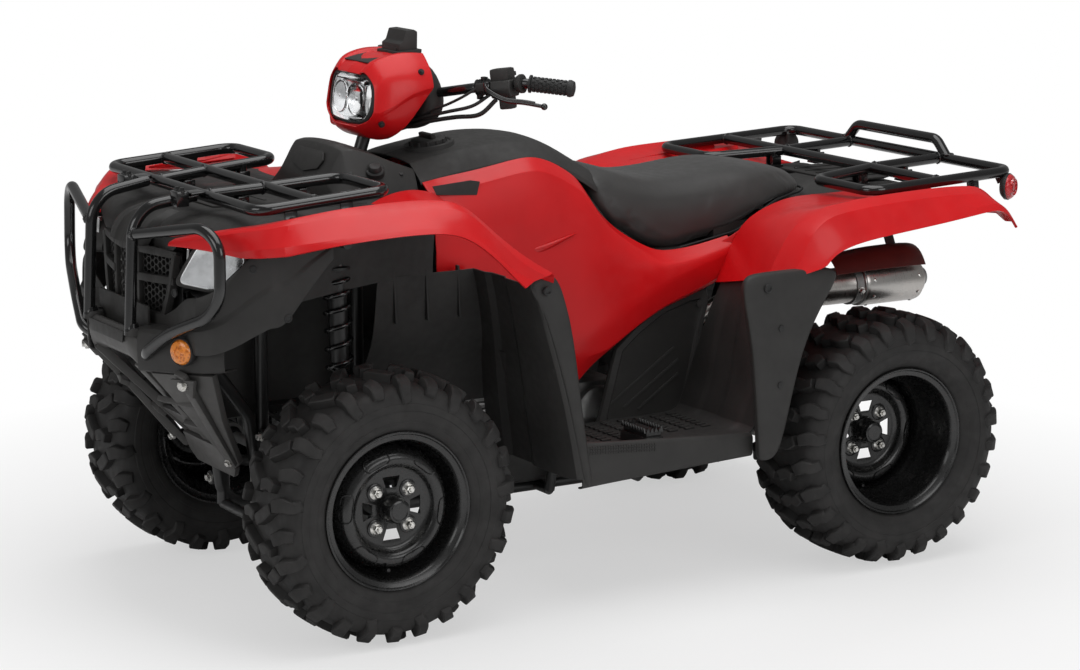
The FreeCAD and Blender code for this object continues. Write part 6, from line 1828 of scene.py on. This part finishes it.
def make_footwell():
    # Front wall, floor and rear wall in one moulding with stiffening steps, then the outer skirt.
    line = [(-262, 560), (-230, 470), (-200, 380), (-186, 356), (-160, 348), (-60, 348), (60, 348),
            (200, 348), (246, 350), (262, 366), (274, 400), (292, 440), (308, 560), (322, 684)]
    rows = []
    for y, z in line:
        wide_in = 238 if z > 500 else 208
        if z == 684:
            rows.append(spots((238, 362, 662), (280, 356, 671), (300, 353, 675), (360, 344, 686),
                              (380, 341, 690), (440, 333, 703), (460, 330, 708), (500, 332, 713),
                              (509, 336, 714)))
            continue
        rows.append([spot(x, y + lift, z) for x, lift in ((wide_in, 0), (280, 0), (300, 5), (360, 5),
                                                          (380, 0), (440, 0), (460, 5), (500, 3),
                                                          (509, 0))])
    ready(panel("footwell_tubs", rows, BLACK, crease_rows=(3, 9), crease_columns=(1, 2, 3, 4, 5, 6),
                sharpness=0.6))
    skirt = []
    for share, y in ((0.0, -196), (0.06, -176), (0.25, -110), (0.5, 16), (0.78, 140), (0.94, 226),
                     (1.0, 256)):
        top, low = lerp(388, 356, share), lerp(283, 302, share)
        skirt.append([spot(x, y, z) for x, z in ((492, top - 8), (504, top + 1), (514, top),
                                                 (519.5, top - 8), (520, lerp(top, low, 0.5)),
                                                 (519.5, low + 8), (514, low), (500, low - 1))])
    ready(panel("footwell_skirts", skirt, BLACK, crease_columns=(3, 5), sharpness=0.5))
    tread = Shape()
    for column in range(8):
        for row in range(9):
            x, y = lerp(238, 380, column / 7), lerp(-140, 220, row / 8)
            tread.box(spot(x - 6, y - 12, 348), spot(x + 6, y + 12, 352.5), 1.5)
    for column in range(26):
        y = lerp(-176, -8, column / 25)
        z = lerp(388, 371, (y + 196) / 452 * 2)
        for row in range(3):
            tread.box(spot(516, y - 2.2, z - 12 - row * 7), spot(521.2, y + 2.2, z - 7.5 - row * 7), 0.8)
    tread.pair("floor_treads", BLACK)
    peg = Shape()
    peg.box(spot(392, -20, 346), spot(500, 28, 374), 5)
    peg.box(spot(400, -16, 372), spot(496, 24, 386), 4)
    for y in (-19, 27):
        for step in range(9):
            x = lerp(404, 492, step / 8)
            peg.prism(spots((x - 5, y - 2.5, 384), (x + 5, y - 2.5, 384), (x, y - 2.5, 396)),
                      Y_AXIS * 5 * MM, 0.8)
    for x in (401, 495):
        for step in range(4):
            y = lerp(-12, 20, step / 3)
            peg.prism(spots((x - 2.5, y - 5, 384), (x - 2.5, y + 5, 384), (x - 2.5, y, 396)),
                      X_AXIS * 5 * MM, 0.8)
    peg.pair("foot_pegs", CHASSIS_STEEL, 35)


def make_liners():
    # Black ribbed liners inside the front arches, and a shield low behind the wheel.
    rows, guards = [], []
    for z, x, back in ((748, 258, -318), (700, 250, -304), (640, 240, -290), (590, 226, -274),
                       (540, 190, -260), (470, 164, -242), (426, 158, -234)):
        rows.append([spot(x + (3 if k % 2 else 0), y, z) for k, y in enumerate((-560, -500, -440, -380,
                                                                                back))])
    for z, x, back, flap in ((748, 258, -318, -318), (700, 250, -304, -298), (640, 240, -290, -276),
                             (560, 206, -266, -252), (470, 164, -242, -227), (380, 154, -226, -208),
                             (306, 152, -216, -191)):
        guards.append([spot(lerp(x, 508, share), back + dent, z)
                       for share, dent in ((0, 0), (0.2, 0), (0.26, 9), (0.5, 9), (0.56, 0), (0.9, 0))]
                      + [spot(512, (back + flap) / 2, z), spot(518, flap, z)])
    ready(panel("arch_liners", rows, DARK_MATT, wall=3, crease_columns=(1, 2, 3), sharpness=0.5, levels=1))
    ready(panel("splash_guards", guards, BLACK, crease_columns=(1, 2, 3, 4, 5, 6), sharpness=0.6, levels=1))
    # Inner walls up to the fender tops, and dark sheets of painted shade that close the view across the
    # machine.
    walls = []
    for y, top, low in ((-905, 862, 700), (-820, 892, 700), (-700, 900, 720), (-560, 900, 740),
                        (-470, 896, 740), (-424, 880, 744)):
        walls.append(spots((340, y, top), (282, y, top - 12), (266, y, top - 60), (262, y, low)))
    ready(panel("fender_inner_walls", walls, DARK_MATT, wall=3, crease_columns=(1,), sharpness=0.5,
                levels=1))
    # Painted shade: dark sheets near the middle stand for the shaded inside of the machine.
    shade_sheets = [[spot(x, y, z) for y in (-900, -780, -560, -330)]
               for z, x in ((700, 70), (600, 64), (500, 60), (430, 60))]
    sump = [[spot(x, y, z) for y in (-318, -200, -60, 120)] for z, x in ((330, 160), (260, 160), (222, 150),
                                                                         (206, 120))]
    ready(panel("sump_guards", sump, DARK_MATT, wall=3, crease_rows=(1, 2), levels=1))
    ready(panel("painted_shade_sheets", shade_sheets, DARK_MATT, wall=3, levels=1))
    ribs = Shape()
    for y in (-520, -440, -360):
        ribs.merge(beam(spot(258, y, 758), spot(248, y + 10, 640), X_AXIS, 12, 6))
    ribs.pair("liner_ribs", BLACK)
    rear = []
    for y, z, x in ((512, 668, 238), (560, 676, 238), (620, 690, 238), (800, 716, 240), (930, 740, 242)):
        rear.append(spots((x, y, z), (x + 4, y, z + 26), (x, y, z + 60), (x + 6, y, z + 96)))
    ready(panel("rear_arch_liners", rear, DARK_MATT, wall=3, crease_columns=(1, 2), sharpness=0.5,
                levels=1))
    # Plain red panel ahead of the rear wheel, up to the seam with the side panel.
    red = []
    for y, low, high in ((372, 652, 738), (400, 652, 752), (440, 652, 784), (480, 654, 802),
                         (530, 656, 812)):
        x = lerp(206, 234, min(max((y - 372) / 70, 0), 1))
        red.append(spots((x, y, high), (x + 3, y - 3, lerp(low, high, 0.55)), (x + 6, y - 8, low)))
    ready(panel("rear_side_panels", red, RED, crease_columns=(1,), sharpness=0.4))


def make_engine_covers():
    outline = [(86, 512), (139, 556), (218, 603), (300, 628), (340, 632), (346, 606), (300, 420),
               (282, 340), (262, 312), (40, 312), (35, 330)]
    middle = (sum(y for y, z in outline) / len(outline), sum(z for y, z in outline) / len(outline))

    def ring(scale, x):
        return [spot(x, lerp(middle[0], y, scale), lerp(middle[1], z, scale)) for y, z in outline]

    covers = Shape()
    covers.stack([ring(*at) for at in ((1.0, 196), (1.0, 201), (0.975, 206), (0.86, 208), (0.82, 203),
                                       (0.4, 203))])
    item = covers.both_sides().make("engine_cover_skins", BLACK, 25)
    ready(item, "engine_covers")
    ribs = Shape()
    for start, end in (((70, 380), (250, 500)), ((110, 370), (262, 470)), ((150, 362), (262, 436))):
        ribs.merge(beam(spot(203, *start), spot(203, *end), X_AXIS, 3, 8, 1))
    for y, z in ((50, 336), (262, 345), (318, 598)):
        ribs.lathe(mm((0, 9), (2, 8.5), (2.6, 2)), spot(206.5, y, z), X_AXIS, 20)
    ribs.pair("engine_cover_ribs", DARK_MATT)


make_flaps()
make_footwell()
make_liners()
make_engine_covers()


# Suspension, drive, engine and exhaust

FRONT_AXLE_Y, HUB_Z = -650, 296
FRONT_CASE_Y, REAR_CASE_Y = -665, 650


def helix(start, end, radius, wire, turns):
    # A spring's path, with closed end turns.
    start, end = Vector(start), Vector(end)
    run = end - start
    along = run.normalized()
    side = along.orthogonal().normalized()
    other = along.cross(side)
    path = []
    count = int(turns * 20)
    for i in range(count + 1):
        share = i / count
        eased = share - 0.035 * math.sin(math.tau * share)
        angle = math.tau * turns * share
        path.append(start + run * eased + (side * math.cos(angle) + other * math.sin(angle)) * radius)
    return Shape().tube(path, wire, 9)


def coil_over(top, low, name, node, both):
    top, low = Vector(top), Vector(low)
    run = low - top
    along = run.normalized()
    length = run.length
    metal, spring, bright = Shape(), Shape(), Shape()
    spring.merge(helix(top + along * 46 * MM, top + along * (length - 64 * MM), 27 * MM, 5.4, 9.5))
    size = length / MM
    metal.lathe(mm((14, 12), (16, 24), (30, 26), (34, 33), (39, 33), (41, 22), (size * 0.56, 21),
                   (size * 0.57, 17), (size * 0.60, 12)), top, along, 32)
    metal.lathe(mm((size - 62, 20), (size - 58, 33), (size - 52, 33), (size - 48, 22), (size - 20, 16),
                   (size - 12, 12)), top, along, 32)
    for place in (top, low):
        metal.lathe(mm((-15, 10), (-15, 13), (-13, 14.5), (13, 14.5), (15, 13), (15, 10)),
                    place, Y_AXIS, 28)
        bright.bolt(place - Y_AXIS * 16 * MM, -Y_AXIS, 8, 8)
        bright.bolt(place + Y_AXIS * 16 * MM, Y_AXIS, 8, 8)
    bright.rod(top + along * length * 0.58, top + along * (length - 50 * MM), 6.5)
    for shape, suffix, finish, nodes in ((spring, "springs", TUBE_STEEL, [node]),
                                         (metal, "bodies", CHASSIS_STEEL, []), (bright, "rods", ZINC, [])):
        if both:
            shape.both_sides()
        ready(shape.make(f"{name}_{suffix}", finish, 40), *nodes)


def bellows(shape, start, end, big, small):
    folds = 5
    start, end = Vector(start), Vector(end)
    length = (end - start).length
    profile = [(0, big)]
    for k in range(folds):
        radius = lerp(big, small, (k + 0.5) / folds)
        profile += [(length * (k + 0.35) / folds, radius), (length * (k + 0.7) / folds, radius * 0.82)]
    shape.lathe(profile + [(length, small)], start, end - start, 28)


def make_front_end():
    coil_over(spot(238, FRONT_AXLE_Y, 812), spot(260.7, FRONT_AXLE_Y, 384), "front_shock", "front_shocks",
              True)
    coil_over(spot(0, 397, 606), spot(0, 538, 320), "rear_shock", "rear_shock", False)
    boots = Shape()
    bellows(boots, spot(338, FRONT_AXLE_Y, HUB_Z), spot(284, FRONT_AXLE_Y, HUB_Z), 31 * MM, 16 * MM)
    bellows(boots, spot(112, FRONT_AXLE_Y, HUB_Z), spot(164, FRONT_AXLE_Y, HUB_Z), 33 * MM, 16 * MM)
    boots.pair("drive_boots", BOOT, 50)
    bolts = Shape()
    for y in (-768, -532):
        for z in (HUB_Z + 101, HUB_Z - 49):
            for way in (-1, 1):
                bolts.bolt(spot(136.5, y + way * 19, z), (0, way, 0), 8, 8)
    bolts.pair("arm_bolts", ZINC)
    rings = Shape()
    for z in (HUB_Z + 75, HUB_Z - 75):
        rings.lathe(mm((-14, 12), (-14, 19), (-11, 22), (11, 22), (14, 19), (14, 12)),
                    spot(385, FRONT_AXLE_Y, z), Z_AXIS, 28)
    rings.pair("ball_joints", CHASSIS_STEEL)
    for side, body in ((1, "knuckle_left"), (-1, "knuckle_right")):
        hub = Shape()
        hub.lathe(mm((-6, 26), (0, 44), (10, 50), (18, 50), (21, 40), (30, 30)),
                  spot(side * 376, FRONT_AXLE_Y, HUB_Z), X_AXIS * side, 40)
        hub.merge(beam(spot(side * 385, FRONT_AXLE_Y, HUB_Z - 56),
                       spot(side * 385, FRONT_AXLE_Y, HUB_Z + 56), X_AXIS, 30, 52, 8))
        hub.box(spot(min(side * 372, side * 404), -592, HUB_Z - 30),
                spot(max(side * 372, side * 404), -560, HUB_Z + 34), 6)
        item = hub.make(f"hub_carrier_{'left' if side > 0 else 'right'}", CAST, 40)
        ready(item, body=body)


def make_drive():
    case = Shape()
    case.lathe(mm((-74, 34), (-70, 46), (-30, 56), (-26, 66), (-16, 66), (-12, 60), (30, 54), (70, 42),
                  (74, 34)), spot(0, FRONT_CASE_Y, HUB_Z), X_AXIS)
    for k in range(8):
        angle = math.tau * k / 8
        case.bolt(spot(-14, FRONT_CASE_Y + 60 * math.cos(angle), HUB_Z + 60 * math.sin(angle)), X_AXIS, 5,
                  5, False)
    case.rod(spot(0, -640, HUB_Z), spot(0, -560, HUB_Z - 4), 34, 24, 32, 4)
    case.rod(spot(0, -560, HUB_Z - 4), spot(0, -310, HUB_Z - 10), 13)
    case.piece("front_gearcase", CAST)
    rear = Shape()
    rear.lathe(mm((-60, 60), (-54, 84), (-14, 90), (-10, 98), (6, 98), (10, 90), (50, 82), (60, 60)),
               spot(0, REAR_CASE_Y, HUB_Z), X_AXIS)
    for k in range(10):
        angle = math.tau * (k + 0.5) / 10
        rear.bolt(spot(8, REAR_CASE_Y + 93 * math.cos(angle), HUB_Z + 93 * math.sin(angle)), X_AXIS, 5.5, 6,
                  False)
    for x in (-1, 1):
        rear.lathe(mm((-6, 30), (-6, 52), (4, 52), (10, 44), (10, 30)), spot(x * 262, REAR_CASE_Y, HUB_Z),
                   X_AXIS * x, 36)
        for rib in range(4):
            angle = math.tau * rib / 4 + 0.6
            out = Vector((0, math.cos(angle), math.sin(angle)))
            rear.merge(beam(spot(x * 60, REAR_CASE_Y, HUB_Z) + out * 60 * MM,
                            spot(x * 240, REAR_CASE_Y, HUB_Z) + out * 37 * MM, out, 16, 6))
    rear.piece("rear_gearcase", CAST)


def make_engine():
    # A ribbed crankcase with side covers, cylinder and head, then hoses, air box, tank and radiator.
    body = Shape()
    body.box(spot(-128, -286, 232), spot(128, 150, 336), 16)
    body.box(spot(-96, -292, 214), spot(96, 120, 262), 12)
    body.box(spot(-104, -40, 320), spot(104, 160, 420), 18)
    for z, half in ((346, 92), (362, 94), (378, 95), (394, 95), (410, 94), (426, 92)):
        body.box(spot(-half, -252, z - 3.5), spot(half, -88, z + 3.5), 3)
    body.box(spot(-76, -240, 330), spot(76, -100, 438), 10)
    body.box(spot(-88, -250, 434), spot(88, -92, 466), 12)
    for side in (-1, 1):
        body.lathe(mm((0, 96), (10, 94), (16, 86), (18, 60), (22, 52), (24, 20)),
                   spot(side * 124, -60, 318), X_AXIS * side, 56)
        body.lathe(mm((0, 62), (12, 60), (18, 52), (19, 16)), spot(side * 122, 88, 350), X_AXIS * side)
        body.lathe(mm((0, 52), (10, 50), (14, 42)), spot(side * 122, -208, 292), X_AXIS * side, 40)
        for k in range(9):
            angle = math.tau * (k + 0.3) / 9
            body.bolt(spot(side * 133, -60 + 88 * math.cos(angle), 318 + 88 * math.sin(angle)),
                      X_AXIS * side, 5, 6, False)
    body.piece("engine_castings", CAST, node="engine")
    hoses = Shape()
    hoses.tube(flowing_path(spots((60, -262, 450), (72, -330, 470), (76, -420, 520), (60, -520, 610))), 14,
               16)
    hoses.tube(flowing_path(spots((-60, -262, 420), (-80, -340, 430), (-84, -440, 500), (-60, -520, 590))),
               14, 16)
    hoses.tube(flowing_path(spots((118, -90, 450), (128, -20, 476), (110, 60, 520), (60, 110, 560))), 18,
               16)
    hoses.piece("engine_hoses", BOOT, 70)
    intake = Shape()
    intake.box(spot(-84, 20, 500), spot(84, 250, 640), 24)
    intake.box(spot(-70, 34, 636), spot(70, 230, 654), 8)
    intake.rod(spot(0, -110, 470), spot(0, 40, 540), 30, 36, 32, 3)
    intake.piece("air_box", DARK_MATT)
    tank = Shape()
    tank.box(spot(-92, -368, 862), spot(92, -10, 938), 24)
    tank.box(spot(-86, -300, 640), spot(86, -20, 800), 26)
    tank.piece("fuel_tank", DARK_MATT)
    radiator = Shape()
    radiator.box(spot(-90, -906, 690), spot(90, -880, 820), 5)
    for k in range(16):
        z = lerp(700, 812, k / 15)
        radiator.box(spot(-84, -910, z - 1), spot(84, -904, z + 1))
    radiator.piece("radiator", CHASSIS_STEEL)


MUFFLER_X, MUFFLER_Z = 296, 622


def muffler_ring(y, radius):
    return ring_about(spot(MUFFLER_X, y, MUFFLER_Z), X_AXIS, Z_AXIS, radius * MM, 48)


def make_exhaust():
    # Header pipe, a slimmer front tube, the joint band and the can with its outlet.
    header = Shape()
    header.tube(rounded_path(spots((127.3, 165.3, 450), (127.3, 201, 450), (159.8, 324.8, 540),
                                   (177.6, 420.6, 608), (MUFFLER_X, 532, MUFFLER_Z)), 60 * MM), 18, 28)
    header.lathe(mm((0, 27), (6, 27), (8, 24), (8, 18)), spot(127.3, 165.3, 450), Y_AXIS, 28)
    header.piece("exhaust_header", MUFFLER, 40, node="exhaust")
    can = Shape()
    profile = [(512, 18), (516, 30), (522, 39), (534, 42), (640, 43), (672, 43), (680, 45), (696, 45),
               (699, 50), (706, 52.5), (712, 53), (862, 53), (869, 51.5), (872, 48), (873, 44), (877, 43),
               (882, 40), (884, 36), (884, 24), (876, 23), (876, 4)]
    can.stack([muffler_ring(y, r) for y, r in profile])
    can.piece("silencer", MUFFLER, 28)
    tip = Shape()
    for low, high, outer, inner in ((872, 902, 22, 18.5), (546, 560, 44.4, 42), (676, 696, 47.4, 44),
                                    (700, 705, 51.5, 44)):
        tip.lathe(mm((low, outer), (high, outer), (high, inner), (low, inner)),
                  spot(MUFFLER_X, 0, MUFFLER_Z), Y_AXIS, closed=True)
    tip.piece("silencer_bands", CAST)
    rivets = Shape()
    for y in (724, 856):
        for k in range(8):
            angle = math.tau * (k + 0.35) / 8
            out = Vector((math.cos(angle), 0, math.sin(angle)))
            rivets.lathe(mm((0, 4.6), (1.6, 4), (2.6, 1.6)), spot(MUFFLER_X, y, MUFFLER_Z)
                         + out * 52.6 * MM, out, 14)
    rivets.bolt(spot(MUFFLER_X + 46, 686, MUFFLER_Z - 8), (1, 0, -0.1), 7, 8)
    rivets.piece("silencer_rivets", ZINC)
    guard = []
    for y, radius in ((612, 54), (628, 58), (690, 61), (732, 66), (850, 66), (868, 62)):
        guard.append([spot(MUFFLER_X + radius * math.cos(t), y,
                           MUFFLER_Z + 10 + radius * 1.18 * math.sin(t))
                      for t in (math.radians(a) for a in (24, 42, 62, 84, 106, 128))])
    ready(panel("heat_guard", guard, HEAT_STEEL, wall=1.6, mirror=False, levels=1, rim=0.5))
    stays = Shape()
    stays.merge(beam(spot(MUFFLER_X - 6, 822, MUFFLER_Z + 54), spot(MUFFLER_X - 40, 818, 752), Y_AXIS, 26,
                     6))
    stays.merge(beam(spot(MUFFLER_X - 10, 600, MUFFLER_Z + 42), spot(MUFFLER_X - 46, 600, 726), Y_AXIS, 24,
                     6))
    stays.piece("silencer_stays", CHASSIS_STEEL)


make_front_end()
make_drive()
make_engine()
make_exhaust()


# Racks, guard and tail lamps: welds, clamps, feet and lenses on the tube work

RACK_FRONT, RACK_REAR = -905, -597
RACK_Z, RACK_RISE = 939, 21
REAR_RACK_FRONT, REAR_RACK_REAR = 632, 1045
REAR_RACK_Z, REAR_RACK_RISE = 868, 18


def front_rack(x, y):
    return spot(x, y, RACK_Z + RACK_RISE * (y - RACK_FRONT) / (RACK_REAR - RACK_FRONT))


def rear_rack(x, y):
    return spot(x, y, REAR_RACK_Z + REAR_RACK_RISE * (y - REAR_RACK_FRONT)
                / (REAR_RACK_REAR - REAR_RACK_FRONT))


def weld(shape, centre, axis, radius, wire=2.6):
    # A rippled bead round the end of a tube.
    axis = Vector(axis).normalized()
    side = axis.orthogonal().normalized()
    other = axis.cross(side)
    path, radii = [], []
    for step in range(37):
        angle = math.tau * step / 36
        path.append(Vector(centre) + (side * math.cos(angle) + other * math.sin(angle)) * radius * MM)
        radii.append(wire + 0.5 * math.sin(angle * 12))
    shape.tube(path, radii, 8, caps=False)


def clamp(shape, bolts, centre, along):
    # A square two-bolt clamp round a tube.
    radius = 14
    along = Vector(along).normalized()
    across = along.cross(Z_AXIS).normalized()
    up = across.cross(along)
    centre = Vector(centre)
    shape.merge(beam(centre - along * 15 * MM, centre + along * 15 * MM, across, radius * 2 + 8,
                     radius * 2 + 6, 4))
    for way in (-1, 1):
        foot = centre + across * way * (radius - 3) * MM + up * (radius + 3) * MM
        bolts.bolt(foot, up, 5.5, 6)


def make_rack_details():
    welds = Shape()
    for x in (-388, 388):
        weld(welds, front_rack(x - 12 * math.copysign(1, x), -768), X_AXIS, 12.5)
    for x in (-150, 150):
        weld(welds, front_rack(x, -768) + spot(0, -11, 0), Y_AXIS, 12.5)
        weld(welds, front_rack(x * 0.86, -893), (0.1, 1, 0), 12.5)
    for x in (-443, 443):
        weld(welds, rear_rack(x - 12 * math.copysign(1, x), 830), X_AXIS, 12.5)
    for x in (-180, 180):
        weld(welds, rear_rack(x, 842), Y_AXIS, 12.5)
        weld(welds, rear_rack(x, 1033), Y_AXIS, 12.5)
        weld(welds, rear_rack(x * 205 / 180, 1045) + spot(0, 0, 11), Z_AXIS, 12.5)
    for x in (-112, 112):
        side = 1 if x > 0 else -1
        weld(welds, spot(x + 12 * side, -1065, 868), (side, 0.25, 0.17), 12, 3)
        weld(welds, spot(x, -1073.5, 662), Z_AXIS, 12.5, 3)
    welds.piece("rack_welds", TUBE_STEEL, 60)
    clamps, bolts = Shape(), Shape()
    clamp(clamps, bolts, spot(141, -968, 939), Y_AXIS)
    clamps.merge(beam(spot(141, -950, 948), spot(141, -916, 950), X_AXIS, 40, 6))
    for x, y, z in ((150, -684, 949), (139, -824, 941)):
        clamps.box(spot(x - 17, y - 17, 905), spot(x + 17, y + 17, 910), 1.5)
        clamps.box(spot(x - 15, y - 13, 908), spot(x - 10, y + 13, z - 8), 1.5)
        clamps.box(spot(x + 10, y - 13, 908), spot(x + 15, y + 13, z - 8), 1.5)
        bolts.bolt(spot(x + 15, y, 920), X_AXIS, 6, 6)
    for x, y in ((388, -700), (388, -830)):
        clamps.merge(beam(front_rack(x, y) - Z_AXIS * 8 * MM, front_rack(x, y) - Z_AXIS * 42 * MM
                          + X_AXIS * 12 * MM, Y_AXIS, 30, 5))
        bolts.bolt(front_rack(x, y) - Z_AXIS * 30 * MM + X_AXIS * 12 * MM, X_AXIS, 6, 6)
    for x, y in ((443, 700), (443, 930)):
        clamps.merge(beam(rear_rack(x, y) - Z_AXIS * 6 * MM, rear_rack(x, y) - Z_AXIS * 34 * MM
                          + X_AXIS * 4 * MM, Y_AXIS, 34, 5))
        bolts.bolt(rear_rack(x, y) - Z_AXIS * 22 * MM + X_AXIS * 6 * MM, X_AXIS, 6, 6)
    for y in (799, 933):
        clamps.box(spot(163, y - 18, 838), spot(197, y + 18, 843), 1.5)
        clamps.box(spot(165, y - 13, 842), spot(170, y + 13, 866), 1.5)
        clamps.box(spot(190, y - 13, 842), spot(195, y + 13, 866), 1.5)
        bolts.bolt(spot(195, y, 853), X_AXIS, 6, 6)
    clamps.pair("rack_clamps", TUBE_STEEL, 40)
    bolts.pair("rack_bolts", CHASSIS_STEEL, 40)
    feet = Shape()
    for x in (-112, 112):
        feet.lathe(mm((0, 17), (5, 17), (10, 15.5), (20, 13.5)), spot(x, -1072.5, 656), Z_AXIS, 32)
    feet.piece("guard_feet", TUBE_STEEL, 40)


def make_guard():
    # Two uprights that sweep back to the rack, each with a closed wing round its headlamp.
    tubes = Shape()
    upright = rounded_path(spots((112, -1077, 650), (112, -1065, 884), (114, -1030, 925), (128, -925, 940)),
                           46 * MM)
    wing = rounded_path(spots((112, -1067, 866), (352, -1012, 909), (402, -998, 878), (404, -1000, 768),
                              (372, -1012, 724), (250, -1050, 674), (174, -1068, 622), (146, -1052, 606)),
                        52 * MM, 8)
    tubes.tube(upright, 12.5, 24)
    tubes.tube(wing, 12.5, 24)
    tubes.pair("guard_tubes", TUBE_STEEL, 50, node="front_guard")


def make_tail_lamps():
    # Round red lamps at the rack's rear corners, turned outwards.
    centre = spot(450, 1032, 850)
    out = Vector((0.87, 0.49, 0))
    housing = Shape()
    housing.lathe(mm((-14, 12), (-12, 24), (-4, 31.5), (3, 32), (5, 30.5), (4, 20)),
                  centre, out, 44)
    housing.merge(beam(centre + spot(-12, -6, 10), centre + spot(-22, -12, 34), out, 26, 7))
    housing.pair("tail_lamp_housings", BLACK, 40)
    lens = Shape()
    lens.lathe(mm((2, 30), (7, 29.6), (12, 26), (15, 18), (16, 2)), centre, out, 44)
    for radius in (12, 20):
        lens.lathe(mm((12, radius - 1), (17.5, radius), (12, radius + 1.4)), centre, out, 44, closed=True)
    lens.pair("tail_lamp_lenses", TAIL_RED, 40, node="tail_lamps")


make_rack_details()
make_guard()
make_tail_lamps()
